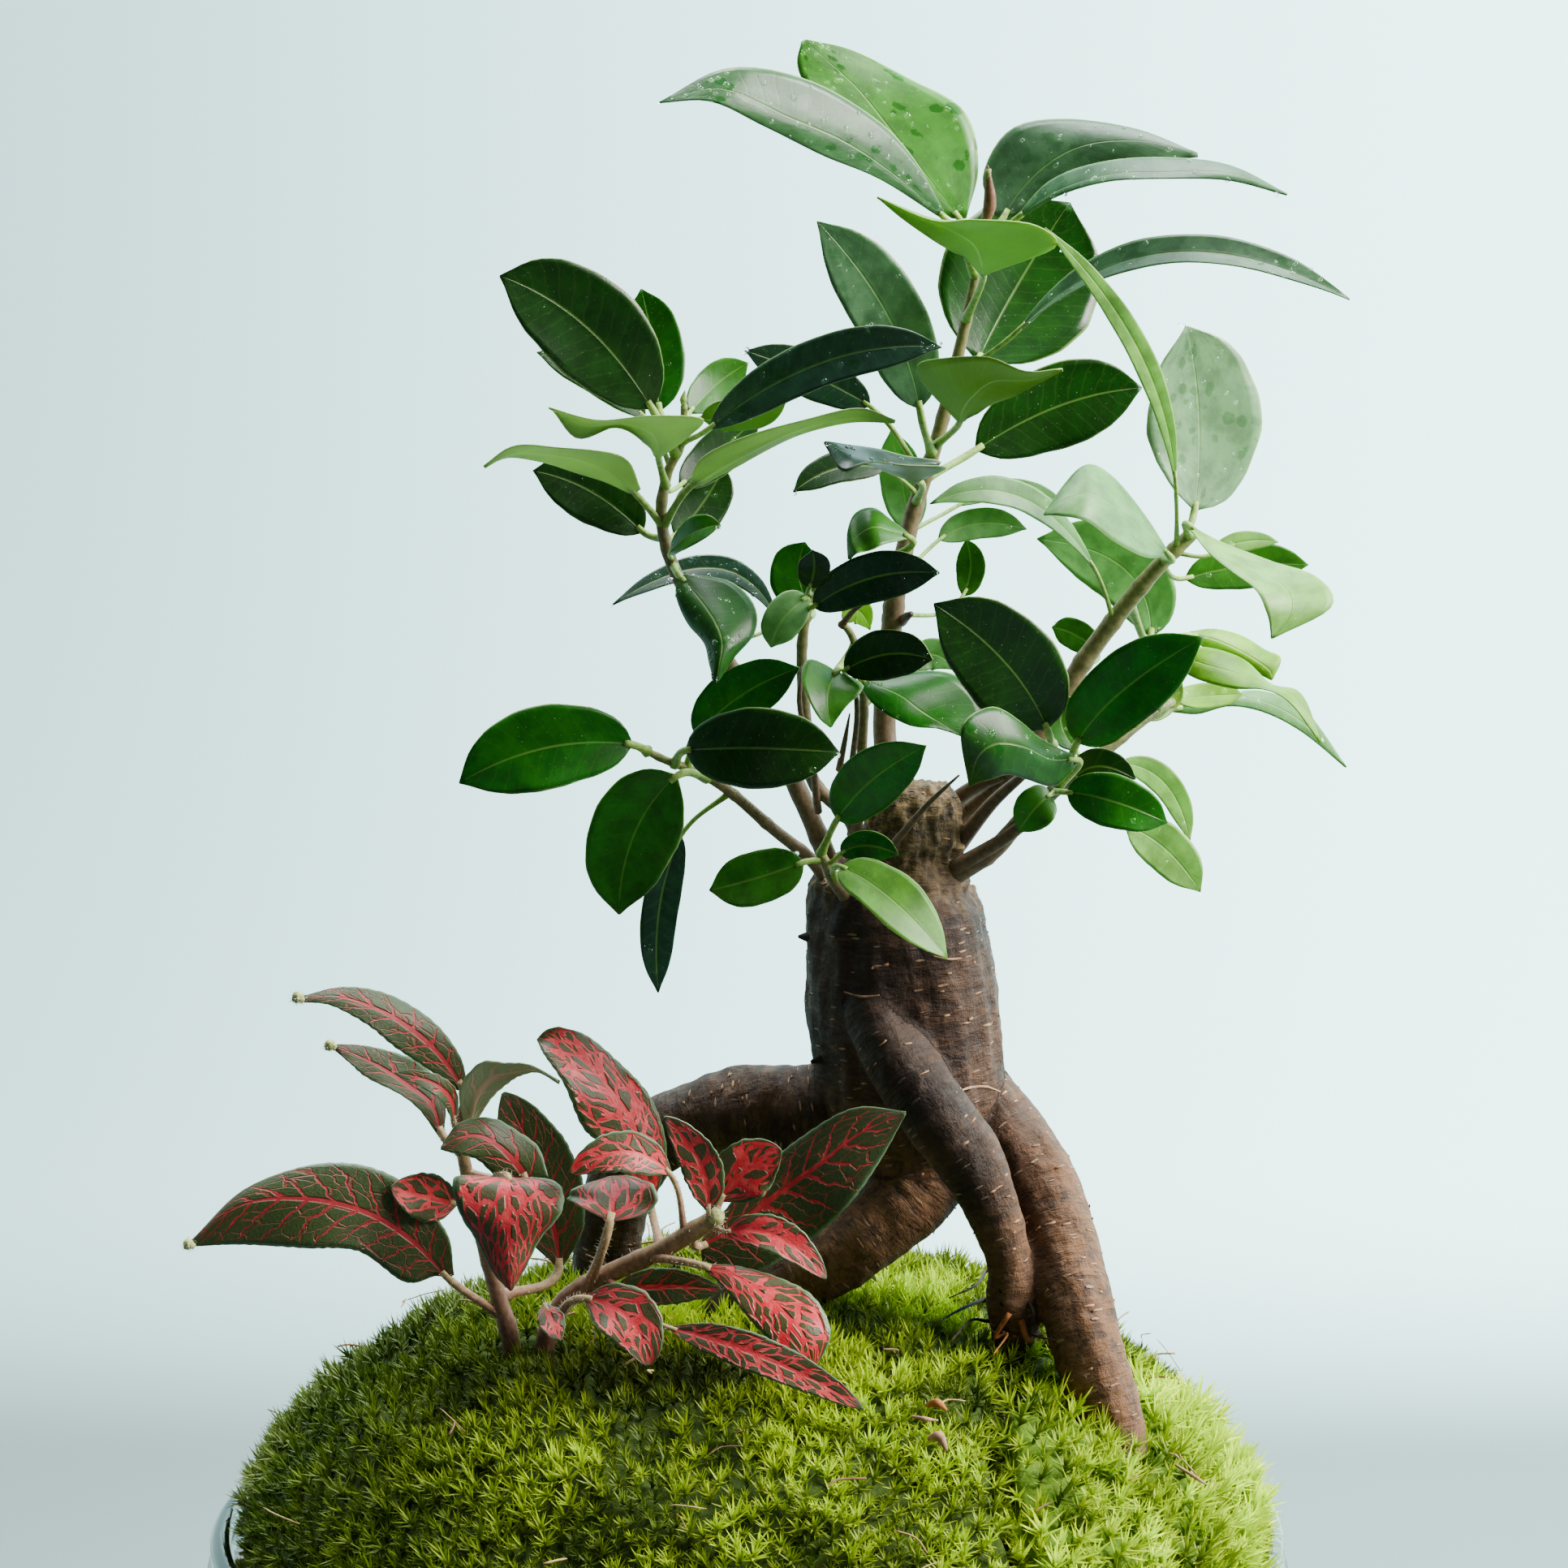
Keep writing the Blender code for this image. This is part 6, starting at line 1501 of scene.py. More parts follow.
class TERRARIUM_OT_litter(bpy.types.Operator):
    """Strew straw on the moss"""
    bl_idname = "terrarium.litter"
    bl_label = "Litter"

    def execute(self, context):
        generator = np.random.default_rng(SEEDS["litter"])
        ground = surface_of([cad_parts[name].data for name in MOSS_NODES])
        material = tinted_material("litter", 0.85, 1200.0, 0.1 * MM)
        pieces = []
        for number in range(STRAW_COUNT):
            turn, reach = generator.uniform(0, 2 * pi), 90 * MM * sqrt(generator.uniform(0.02, 1))
            spot = Vector((reach * cos(turn), reach * sin(turn), 1))
            hit = ground.ray_cast(spot, Vector((0, 0, -1)))
            if hit[0] is None:
                continue
            length = generator.uniform(3, 9) * MM
            lean = Vector((generator.normal(), generator.normal(), generator.normal(0, 0.25)))
            lean = lean.normalized() * length
            middle = hit[0] + hit[1] * generator.uniform(1.6, 4.0) * MM
            sag = Vector((generator.normal(), generator.normal(), 0.5)) * length * 0.12
            route = smooth_route([middle - lean / 2, middle + sag, middle + lean / 2], 7)
            radius = generator.uniform(0.09, 0.24) * MM
            straw = tube(f"straw_{number}", route, [radius] * 6 + [radius * 0.3], 1)
            colour = STRAWS[number % len(STRAWS)]
            tint_along(straw, route, colour, colour)
            pieces.append(straw)
        litter = join("moss_litter", pieces)
        smooth(litter)
        dress(litter, material, "moss", "moss_main")
        return {"FINISHED"}


class TERRARIUM_OT_trunk(bpy.types.Operator):
    """Grow the swollen trunk and its roots"""
    bl_idname = "terrarium.trunk"
    bl_label = "Fig trunk"

    def execute(self, context):
        settings = context.scene.terrarium_fig
        limbs, routes = [], []
        for number, points in enumerate(TRUNK):
            count = 10 * len(points)
            route = smooth_route([seen(*point[:3]) for point in points], count)
            radii = spread([point[3] * MM for point in points], count)
            routes.append((route, radii))
            limbs.append(tube(f"limb_{number}", route, radii, 6))
        wood = join("fig_wood", limbs)
        apply(wood, "REMESH", mode="VOXEL", voxel_size=settings.grain)
        apply(wood, "SMOOTH", factor=0.6, iterations=16)
        places = points_of(wood.data)
        grain, radius, ways = limb_coordinates(places, routes)
        normals = normals_of(wood.data)
        relief = bark_relief(places, grain, radius)
        scar = stump_share(places)
        relief += scar * stump_relief(grain)
        move_points(wood.data, places + normals * relief[:, None])
        mark(wood.data, "grain", grain)
        mark(wood.data, "scar", scar)
        across, down = picture_place(places)
        # Painted light on the right root and on the middle root at the foot, where light falls in the
        # front view
        right = rising(across, *PAINTED_LIGHT_RIGHT["across"]) * rising(down, *PAINTED_LIGHT_RIGHT["down"])
        middle = (rising(across, *PAINTED_LIGHT_MIDDLE["left"]) * falling(across, *PAINTED_LIGHT_MIDDLE["right"])
                  * rising(down, *PAINTED_LIGHT_MIDDLE["down"]))
        mark(wood.data, "painted_light", np.maximum(right, 1.35 * middle))
        # Painted shade on the front root, near its course in the front view
        course = np.array([point[:2] for point in TRUNK[FRONT_ROOT]])
        off = np.abs(across - np.interp(down, course[:, 1], course[:, 0]))
        mark(wood.data, "painted_shade",
             falling(off, *FRONT_ROOT_SHADE["aside"]) * rising(down, *FRONT_ROOT_SHADE["top"])
             * falling(down, *FRONT_ROOT_SHADE["bottom"]) * falling(places[:, 1], *FRONT_ROOT_SHADE["front"]))
        smooth(wood)
        dress(wood, bark_material(settings), "bark", "fig_trunk")
        rough = tinted_material("bark_pieces", 0.85, 900.0, 0.12 * MM)
        pores = lenticels(wood, ways, settings.pores)
        dress(pores, rough, "bark", "fig_trunk")
        moss = [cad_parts[name].data for name in MOSS_NODES]
        ground = surface_of([wood.data] + moss)
        pieces = []
        for number, (spots, lifts, radii, colour) in enumerate(ROOTLETS):
            route = [landed(ground, *spot, lift) for spot, lift in zip(spots, lifts)]
            route = smooth_route(route, 16)
            piece = tube(f"rootlet_{number}", route, spread(radii, 16) * MM, 2)
            tint_along(piece, route, colour, colour)
            pieces.append(piece)
        fringe = join("fig_rootlets", pieces)
        smooth(fringe)
        dress(fringe, rough, "bark", "fig_trunk")
        return {"FINISHED"}


class TERRARIUM_OT_fig_stems(bpy.types.Operator):
    """Draw the fig's stems and leaf stalks"""
    bl_idname = "terrarium.fig_stems"
    bl_label = "Fig stems"

    def execute(self, context):
        material = tinted_material("fig_stems", 0.55, 900.0, 0.12 * MM)
        for name in STEMS:
            if name.startswith("fig"):
                stems = stem_tubes(name, *FIG_STEMS, 9.0, 0.14)
                stems += stalk_tubes(name, *FIG_STALKS, PETIOLE)
                stems += bud_tubes(name)
                whole = join(name + "_stems", stems)
                smooth(whole)
                dress(whole, material, "bark", name)
        return {"FINISHED"}


class TERRARIUM_OT_fig_leaves(bpy.types.Operator):
    """Lay the fig's leaves along their midribs"""
    bl_idname = "terrarium.fig_leaves"
    bl_label = "Fig leaves"

    def execute(self, context):
        material = fig_leaf_material()
        blank = blade_blank("fig_blade", 12, 26)
        drops = []
        for name in STEMS:
            if not name.startswith("fig"):
                continue
            blades = []
            for number, (row, look) in enumerate(zip(LEAVES[name], LOOKS[name].split())):
                seed = number + 17 * list(STEMS).index(name)
                colour, dull, wet = FIG_LOOKS[look]
                piece = blade(blank, row, fig_outline(row), seed, FIG_THICK, FIG_EDGE, FIG_RIB,
                              0.05, 0)
                total = len(piece.data.vertices)
                shade = 1 + 0.10 * sin(seed * 2.7)
                mark(piece.data, "tint", colours(np.tile(np.array(colour) * shade, (total, 1))))
                mark(piece.data, "gloss", np.full(total, dull))
                mark(piece.data, "wet", np.full(total, wet))
                blades.append(piece)
            whole = join(name + "_leaves", blades)
            smooth(whole)
            dress(whole, material, "fig_leaf", name)
            drops.append(whole)
        water = droplets(drops, context.scene.terrarium_fig.droplets)
        dress(water, water_material(), "clear_glass")
        drop(blank)
        return {"FINISHED"}


class TERRARIUM_OT_net_leaves(bpy.types.Operator):
    """Grow the net-leaf plant's stems, stalks and leaves"""
    bl_idname = "terrarium.net_leaves"
    bl_label = "Net-leaf plant"

    def execute(self, context):
        settings = context.scene.terrarium_net_leaf
        material = net_leaf_material(settings)
        stem_material = tinted_material("net_leaf_stems", 0.55, 900.0, 0.10 * MM)
        blank = blade_blank("net_blade", 14, 60)
        for name in STEMS:
            if not name.startswith("netleaf"):
                continue
            blades = []
            for number, (row, look) in enumerate(zip(LEAVES[name], LOOKS[name].split())):
                seed = number + 17 * list(STEMS).index(name)
                outline = OTHER_OUTLINES.get(row.name, BROAD)
                piece = blade(blank, row, outline, seed, NET_THICK, NET_EDGE, NET_RIB, 0.07, 1)
                total = len(piece.data.vertices)
                mark(piece.data, "look", np.tile(NET_LOOKS[look], (total, 1)))
                blades.append(piece)
            whole = join(name + "_leaves", blades)
            smooth(whole)
            dress(whole, material, "net_leaf", name)
            stems = stem_tubes(name, *NET_STEMS, 12.0, 0.12)
            stems += stalk_tubes(name, *NET_STALKS, NET_PETIOLE)
            stems += bud_tubes(name)
            stems.append(hairs(name, stems))
            stalks = join(name + "_stems", stems)
            smooth(stalks)
            dress(stalks, stem_material, "net_leaf", name)
        drop(blank)
        return {"FINISHED"}


class TERRARIUM_OT_stage(bpy.types.Operator):
    """Set the backdrop, the light and the camera"""
    bl_idname = "terrarium.stage"
    bl_label = "Stage"

    def execute(self, context):
        settings = context.scene.terrarium_stage
        profile = [(STAGE_FRONT, 0)]
        for step in range(STAGE_STEPS + 1):
            turn = step * pi / (2 * STAGE_STEPS)
            profile.append((STAGE_BEND + STAGE_ROUND * sin(turn), STAGE_ROUND * (1 - cos(turn))))
        profile.append((STAGE_BEND + STAGE_ROUND, STAGE_TOP))
        places, faces = [], []
        for back, height in profile:
            places += [(-STAGE_HALF, back, height), (STAGE_HALF, back, height)]
        for step in range(len(profile) - 1):
            faces.append((2 * step, 2 * step + 1, 2 * step + 3, 2 * step + 2))
        floor = mesh_piece("backdrop", places, faces)
        smooth(floor)
        floor.data.materials.append(stage_material(settings))
        lamp("key_light", (1.05, -0.03, 0.92), (0, 0, 0.22), 0.8, settings.key,
             (1.0, 0.98, 0.93))
        lamp("top_light", (0.00, 0.35, 1.30), (0, 0, 0.2), 0.7, settings.top,
             (0.94, 0.98, 1.0))
        lamp("fill_light", (-0.9, -1.6, 0.9), (0, 0, 0.2), 1.4, settings.fill,
             (0.92, 0.97, 1.0))
        context.scene.world = daylight()
        camera = bpy.data.cameras.new("photo_camera")
        camera.lens = SENSOR_WIDTH * VIEW_SCALE / PICTURE_WIDTH
        camera.sensor_width = SENSOR_WIDTH
        camera.clip_end = 20
        viewer = bpy.data.objects.new("photo_camera", camera)
        viewer.location = EYE
        viewer.rotation_euler = (pi / 2 - EYE_PITCH, 0, 0)
        context.scene.collection.objects.link(viewer)
        context.scene.camera = viewer
        return {"FINISHED"}


def lamp(name, place, target, size, power, colour):
    """Soft square area lamp."""
    data = bpy.data.lights.new(name, "AREA")
    data.shape = "SQUARE"
    data.size = size
    data.spread = radians(55)
    data.energy = power
    data.color = colour
    piece = bpy.data.objects.new(name, data)
    piece.location = place
    piece.rotation_euler = (Vector(target) - Vector(place)).to_track_quat("-Z", "Y").to_euler()
    bpy.context.scene.collection.objects.link(piece)


def turned(name, profile, steps):
    """Round closed body, spun from a profile of radius and height."""
    places = [(radius, 0, height) for radius, height in profile]
    mesh = bpy.data.meshes.new(name)
    mesh.from_pydata(places, [(step, step + 1) for step in range(len(places) - 1)], [])
    body = bpy.data.objects.new(name, mesh)
    bpy.context.scene.collection.objects.link(body)
    select(body)
    bpy.ops.object.mode_set(mode="EDIT")
    bpy.ops.mesh.select_all(action="SELECT")
    bpy.ops.mesh.spin(steps=steps, angle=2 * pi, center=(0, 0, 0), axis=(0, 0, 1))
    bpy.ops.mesh.select_all(action="SELECT")
    bpy.ops.mesh.remove_doubles(threshold=0.000005)
    bpy.ops.mesh.normals_make_consistent(inside=False)
    bpy.ops.object.mode_set(mode="OBJECT")
    return body


def node_copy(name, nodes):
    """Merged copy of some CAD nodes' meshes, with no colour of theirs."""
    pieces = []
    for source in nodes:
        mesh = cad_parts[source].data.copy()
        mesh.materials.clear()
        piece = bpy.data.objects.new(f"{name}_{source}", mesh)
        bpy.context.scene.collection.objects.link(piece)
        pieces.append(piece)
    whole = join(name, pieces)
    apply(whole, "WELD", merge_threshold=0.00002)
    return whole


def clouds(name, size, depth):
    """Cloud texture for displacing."""
    texture = bpy.data.textures.new(name, "CLOUDS")
    texture.noise_scale = size
    texture.noise_depth = depth
    return texture


def soft_noise(places, scale):
    """Smooth pattern between -1 and 1, made of crossing waves."""
    x, y, z = (places * scale).T
    total = np.sin(x + 1.7 * np.sin(0.6 * y + 0.3)) * np.sin(1.1 * y + 1.3 * np.sin(0.7 * x))
    total += 0.6 * np.sin(1.9 * x + 2.2 + np.sin(2.3 * y + z)) * np.sin(2.1 * y - 1.1 * z)
    total += 0.35 * np.sin(4.1 * x - 1.2 * y + 0.7) * np.sin(3.7 * y + 1.9 * x + z)
    return np.clip(total / 1.4, -1, 1)


def normals_of(mesh):
    """Normals of a mesh's vertices."""
    rows = np.empty(len(mesh.vertices) * 3, dtype=np.float32)
    mesh.vertex_normals.foreach_get("vector", rows)
    return rows.reshape(-1, 3).astype(float)


def scatter(mesh, distance, generator):
    """Places and normals spread over the upper side of a mesh, about a distance apart."""
    mesh.calc_loop_triangles()
    corners = np.empty(len(mesh.loop_triangles) * 3, dtype=np.int32)
    mesh.loop_triangles.foreach_get("vertices", corners)
    corners = points_of(mesh)[corners.reshape(-1, 3)]
    cross = np.cross(corners[:, 1] - corners[:, 0], corners[:, 2] - corners[:, 0])
    area = np.linalg.norm(cross, axis=1)
    normal = cross / np.maximum(area, 1e-12)[:, None]
    reach = np.linalg.norm(corners.mean(axis=1)[:, :2], axis=1)
    upper = (normal[:, 2] > -0.3) & (corners.mean(axis=1)[:, 2] > MOSS_FLOOR)
    weight = area * upper * (reach < MOSS_REACH)
    count = int(2.6 * weight.sum() / 2 / distance ** 2)
    picks = generator.choice(len(weight), count, p=weight / weight.sum())
    first, second = generator.random((2, count))
    swap = first + second > 1
    first[swap], second[swap] = 1 - first[swap], 1 - second[swap]
    start = corners[picks, 0]
    spots = (start + (corners[picks, 1] - start) * first[:, None]
             + (corners[picks, 2] - start) * second[:, None])
    kept, taken = [], {}
    cells = np.floor(spots / distance).astype(int)
    around = [(x, y, z) for x in (-1, 0, 1) for y in (-1, 0, 1) for z in (-1, 0, 1)]
    limit = distance ** 2
    rows = spots.tolist()
    for index, (cell, spot) in enumerate(zip(map(tuple, cells.tolist()), rows)):
        clear = True
        for step in around:
            near = taken.get((cell[0] + step[0], cell[1] + step[1], cell[2] + step[2]))
            if near is not None:
                other = rows[near]
                gap = ((other[0] - spot[0]) ** 2 + (other[1] - spot[1]) ** 2
                       + (other[2] - spot[2]) ** 2)
                if gap < limit:
                    clear = False
                    break
        if clear and cell not in taken:
            taken[cell] = index
            kept.append(index)
    return spots[kept], normal[picks][kept]


def surface_of(meshes):
    """Surface of some meshes together, to rest small pieces on."""
    places, faces = [], []
    for mesh in meshes:
        start = len(places)
        places += [tuple(vertex.co) for vertex in mesh.vertices]
        faces += [[start + corner for corner in face.vertices] for face in mesh.polygons]
    return BVHTree.FromPolygons(places, faces)


def landed(ground, across, down, lift):
    """Point of a surface that shows nearest there in the front view, raised by some mm."""
    spot = seen(across, down, 0)
    place, normal = ground.ray_cast(EYE, spot - EYE)[:2]
    if place is None:
        place, normal = ground.find_nearest(spot)[:2]
    return place + normal * lift * MM


def pebble_blank(seed):
    """Rounded pebble of size one, to copy."""
    deselect()
    bpy.ops.mesh.primitive_ico_sphere_add(subdivisions=2, radius=1)
    blank = bpy.context.object
    places = points_of(blank.data)
    bumps = 1 + 0.13 * soft_noise(places + 3.7 * seed, 1.4)
    move_points(blank.data, places * bumps[:, None])
    return blank


def crumb_blank(seed):
    """Angular crumb of size one, to copy."""
    deselect()
    bpy.ops.mesh.primitive_ico_sphere_add(subdivisions=1, radius=1)
    blank = bpy.context.object
    places = points_of(blank.data)
    generator = np.random.default_rng(seed)
    move_points(blank.data, places * generator.uniform(0.65, 1.15, (len(places), 1)))
    return blank


def shoot_blank(seed):
    """Moss shoot of height one: pointed leaves that fan out round a short stem, to copy."""
    generator = np.random.default_rng(100 + seed)
    places, faces = [], []
    inner, outer = 4, 11
    for number in range(inner + outer):
        close = number < inner
        turn = 2 * pi * (number / (inner if close else outer) + generator.uniform(-0.09, 0.09))
        spread_out = radians(generator.uniform(8, 24) if close else generator.uniform(34, 72))
        length = generator.uniform(0.46, 0.62) if close else generator.uniform(0.44, 0.62)
        foot = np.array((0, 0, 0.44 if close else generator.uniform(0.08, 0.42)))
        outward = np.array((cos(turn), sin(turn), 0))
        aside = np.array((-sin(turn), cos(turn), 0))
        rise = np.array((0, 0, 1.0))
        ahead = outward * sin(spread_out) + rise * cos(spread_out)
        inward = rise * sin(spread_out) - outward * cos(spread_out)
        wide = generator.uniform(0.048, 0.068)
        start = foot - ahead * 0.06
        curl = outward * 0.05 + rise * 0.02
        base = len(places)
        places += [start + aside * wide, start - aside * wide, start - inward * 0.06,
                   foot + ahead * length + curl]
        faces += [(base, base + 1, base + 2), (base + 1, base, base + 3),
                  (base + 2, base + 1, base + 3), (base, base + 2, base + 3)]
    blank = mesh_piece(f"shoot_{seed}", [tuple(place) for place in places], faces)
    select(blank)
    bpy.ops.object.mode_set(mode="EDIT")
    bpy.ops.mesh.select_all(action="SELECT")
    bpy.ops.mesh.normals_make_consistent(inside=False)
    bpy.ops.object.mode_set(mode="OBJECT")
    return blank


def limb_coordinates(places, routes):
    """Straightened place on the nearest limb, the limb's radius and its way there."""
    best = np.full(len(places), np.inf)
    grain = np.zeros((len(places), 3))
    thick = np.zeros(len(places))
    ways = np.zeros((len(places), 3))
    for number, (route, radii) in enumerate(routes):
        line = np.array([tuple(point) for point in route])
        ahead = np.gradient(line, axis=0)
        ahead /= np.linalg.norm(ahead, axis=1)[:, None]
        length = np.concatenate([[0], np.cumsum(np.linalg.norm(np.diff(line, axis=0), axis=1))])
        gaps = np.linalg.norm(places[:, None, :] - line[None], axis=2)
        inside = gaps / np.array(radii)[None]
        step = np.argmin(inside, axis=1)
        score = inside[np.arange(len(places)), step]
        first = np.cross(ahead, (0.0, 1.0, 0.15))
        first /= np.linalg.norm(first, axis=1)[:, None]
        second = np.cross(ahead, first)
        off = places - line[step]
        along = np.einsum("ij,ij->i", off, ahead[step])
        turn = np.arctan2(np.einsum("ij,ij->i", off, second[step]),
                          np.einsum("ij,ij->i", off, first[step]))
        reach = np.linalg.norm(off - ahead[step] * along[:, None], axis=1)
        mine = score < best
        best[mine] = score[mine]
        rows = np.stack([reach * np.cos(turn) + 0.1 * number, reach * np.sin(turn),
                         length[step] + along], axis=1)
        grain[mine] = rows[mine]
        thick[mine] = np.array(radii)[step][mine]
        ways[mine] = ahead[step][mine]
    return grain, thick, ways


def bark_relief(places, grain, radius):
    """Height of the bark's swellings, folds and wrinkles."""
    folds = soft_noise(places, 130.0) * 0.60 + soft_noise(places + 0.3, 300.0) * 0.34
    rings = soft_noise(grain * (0.5, 0.5, 2.4), 520.0) * 0.20
    seams = np.maximum(soft_noise(grain * (1.3, 1.3, 0.35), 190.0), 0) ** 2 * -0.25
    down = picture_place(places)[1]
    ragged = down + 10 * soft_noise(places, 500.0)
    collar = (np.exp(-((ragged - COLLAR[0]) / COLLAR[1]) ** 2) * 0.9
              - np.exp(-((ragged - FURROW[0]) / FURROW[1]) ** 2) * 1.0)
    return (folds * np.clip(radius / (9 * MM), 0.4, 1.4) + rings + seams
            + collar * np.clip(radius / (12 * MM), 0, 1)) * MM


def lenticels(wood, ways, count):
    """Raised pale pores that lie round the limbs, denser on the right root."""
    generator = np.random.default_rng(SEEDS["pores"])
    places, normals = points_of(wood.data), normals_of(wood.data)
    weight = 0.35 + np.clip((places[:, 0] - 0.035) * 40, 0, 1)
    picks = generator.choice(len(places), count, replace=False, p=weight / weight.sum())
    third, ahead = normals[picks], ways[picks]
    first = unit(np.cross(ahead, third) + generator.normal(0, 0.12, (count, 3)))
    second = unit(np.cross(third, first))
    axes = np.stack([first, second, np.cross(first, second)], axis=2)
    length = generator.uniform(0.40, 1.45, count) ** 1.3
    sizes = np.stack([length, generator.uniform(0.18, 0.34, count),
                      generator.uniform(0.12, 0.24, count)], axis=1) * MM
    blank = crumb_blank(7)
    tone = generator.uniform(0.5, 1.15, (count, 1)) * np.array(PORE_COLOUR)
    total = len(blank.data.vertices)
    pores = copies("fig_pores", [blank], places[picks], axes, sizes, np.zeros(count, dtype=int),
                   lambda number, chosen: np.repeat(tone[chosen][:, None, :], total, axis=1))
    drop(blank)
    smooth(pores)
    return pores


def picture_place(places):
    """Where places show in the front view."""
    off = places - np.array(EYE)
    ahead = off @ np.array(VIEW_AHEAD)
    return (VIEW_CENTRE + VIEW_SCALE * off[:, 0] / ahead,
            VIEW_CENTRE - VIEW_SCALE * (off @ np.array(VIEW_UP)) / ahead)


def stump_share(places):
    """How far each place belongs to the rough broken top of the trunk."""
    down = picture_place(places)[1]
    border = STUMP_BORDER[0] + STUMP_BORDER[1] * soft_noise(places, 420.0)
    lower = STUMP_TORN[0] + STUMP_TORN[1] * soft_noise(places, 700.0)
    torn = 0.6 * falling(down, lower, STUMP_TORN[2])
    return np.maximum(falling(down, border, STUMP_BORDER[2]), torn)


def stump_relief(grain):
    """Height of the stump's fibrous bark."""
    return (soft_noise(grain * (1, 1, 0.3), 900.0) * 0.60
            + soft_noise(grain * (1, 1, 0.5) + 0.7, 1900.0) * 0.40) * MM


def blade_blank(name, across, along):
    """Flat closed plate of size two and thickness one, to shape into leaves."""
    deselect()
    bpy.ops.mesh.primitive_grid_add(x_subdivisions=across, y_subdivisions=along, size=2)
    blank = bpy.context.object
    blank.name = name
    bpy.ops.object.mode_set(mode="EDIT")
    bpy.ops.mesh.select_all(action="SELECT")
    bpy.ops.mesh.extrude_region_move(TRANSFORM_OT_translate={"value": (0, 0, -1)})
    bpy.ops.mesh.select_all(action="SELECT")
    bpy.ops.mesh.normals_make_consistent(inside=False)
    bpy.ops.object.mode_set(mode="OBJECT")
    return blank


def width_along(outline, places):
    """Smooth width of a blade at places along it."""
    rough = np.interp(np.linspace(0, 1, 201), *zip(*outline))
    padded = np.pad(rough, 10, mode="reflect", reflect_type="odd")
    window = np.hanning(23)[1:-1]
    return np.interp(places, np.linspace(0, 1, 201),
                     np.convolve(padded, window / window.sum(), "valid"))


def unit(rows):
    """Rows of vectors made one long."""
    return rows / np.linalg.norm(rows, axis=-1, keepdims=True)


def blade_frame(row):
    """Ends and pull of a leaf's midrib, and the way its face looks."""
    at, mid, tip = [np.array(seen(*spot, depth))
                    for spot, depth in zip((row.at, row.mid, row.tip), row.near)]
    control = 2 * mid - 0.5 * (at + tip)
    middle = unit(tip - at)
    to_eye = unit(np.array(EYE) - mid)
    facing = unit(to_eye - middle * (to_eye @ middle))
    sideways = np.cross(middle, facing)
    lead = sideways[2] if abs(sideways[2]) > UPRIGHT else sideways[0]
    if lead < 0:
        sideways = -sideways
    face = facing * cos(radians(row.roll)) + sideways * sin(radians(row.roll))
    return at, control, tip, face


def droplets(leaves, count):
    """Small drops of water that lie on the upper faces of the wetter leaves."""
    generator = np.random.default_rng(SEEDS["droplets"])
    places, normals, weights = [], [], []
    for leaf in leaves:
        total = len(leaf.data.vertices)
        wet, spot = np.empty(total), np.empty(total * 3)
        leaf.data.attributes["wet"].data.foreach_get("value", wet)
        leaf.data.attributes["spot"].data.foreach_get("vector", spot)
        spot = spot.reshape(-1, 3)
        places.append(points_of(leaf.data))
        normals.append(normals_of(leaf.data))
        weights.append((wet + 0.04) * (spot[:, 2] < 0.5) * (np.abs(spot[:, 0]) < 0.85))
    places, normals = np.concatenate(places), np.concatenate(normals)
    weights = np.concatenate(weights) * (normals[:, 2] > -0.1)
    picks = generator.choice(len(places), count, replace=False, p=weights / weights.sum())
    bead = pebble_blank(3)
    axes = standing_axes(normals[picks], generator.uniform(0, 6, count), generator, 0.02)
    size = generator.uniform(0.25, 0.80, (count, 1)) ** 1.6
    sizes = size * np.array((1.0, 0.9, 0.42)) * MM
    total = len(bead.data.vertices)
    slide = generator.normal(0, 0.4, (count, 2)) * MM
    spots = places[picks] + axes[:, :, 0] * slide[:, :1] + axes[:, :, 1] * slide[:, 1:]
    water = copies("leaf_droplets", [bead], spots, axes, sizes, np.zeros(count, dtype=int),
                   lambda number, chosen: np.ones((len(chosen), total, 3)))
    drop(bead)
    smooth(water)
    return water


def drawn_places(row, side, share):
    """Places on the middle surface of a drawn leaf, and its edges' places there."""
    lines = []
    for edge, lean in ((row.left, row.lean[0]), (row.rib, 0), (row.right, row.lean[1])):
        points = [seen(*spot, depth + lean * sin(pi * number / 5))
                  for number, (spot, depth) in enumerate(zip(edge, row.near))]
        line = np.array([tuple(point) for point in smooth_route(points, 61)])
        lines.append(np.stack([np.interp(share, np.linspace(0, 1, 61), column)
                               for column in line.T], axis=1))
    left, rib, right = lines
    middle = rib + side[:, None] * (right - left) / 2
    middle += np.abs(side)[:, None] ** 1.5 * ((left + right) / 2 - rib)
    return middle, left, right


def drawn_shape(row, side, share):
    """Middle surface of a drawn leaf, its ways up and across, half widths and length."""
    middle, left, right = drawn_places(row, side, share)
    inner = np.clip(share, 0.05, 0.95)
    ahead = (drawn_places(row, side, inner + 0.03)[0] - drawn_places(row, side, inner - 0.03)[0])
    across = (drawn_places(row, side + 0.1, inner)[0] - drawn_places(row, side - 0.1, inner)[0])
    across = unit(across)
    up = unit(np.cross(across, unit(ahead)))
    half = np.maximum(np.linalg.norm(right - left, axis=1) / 2, 0.12 * MM)
    spine = drawn_places(row, np.zeros(30), np.linspace(0, 1, 30))[0]
    length = np.linalg.norm(np.diff(spine, axis=0), axis=1).sum()
    return middle + across * (side * 0.12 * MM)[:, None], up, across, half, length


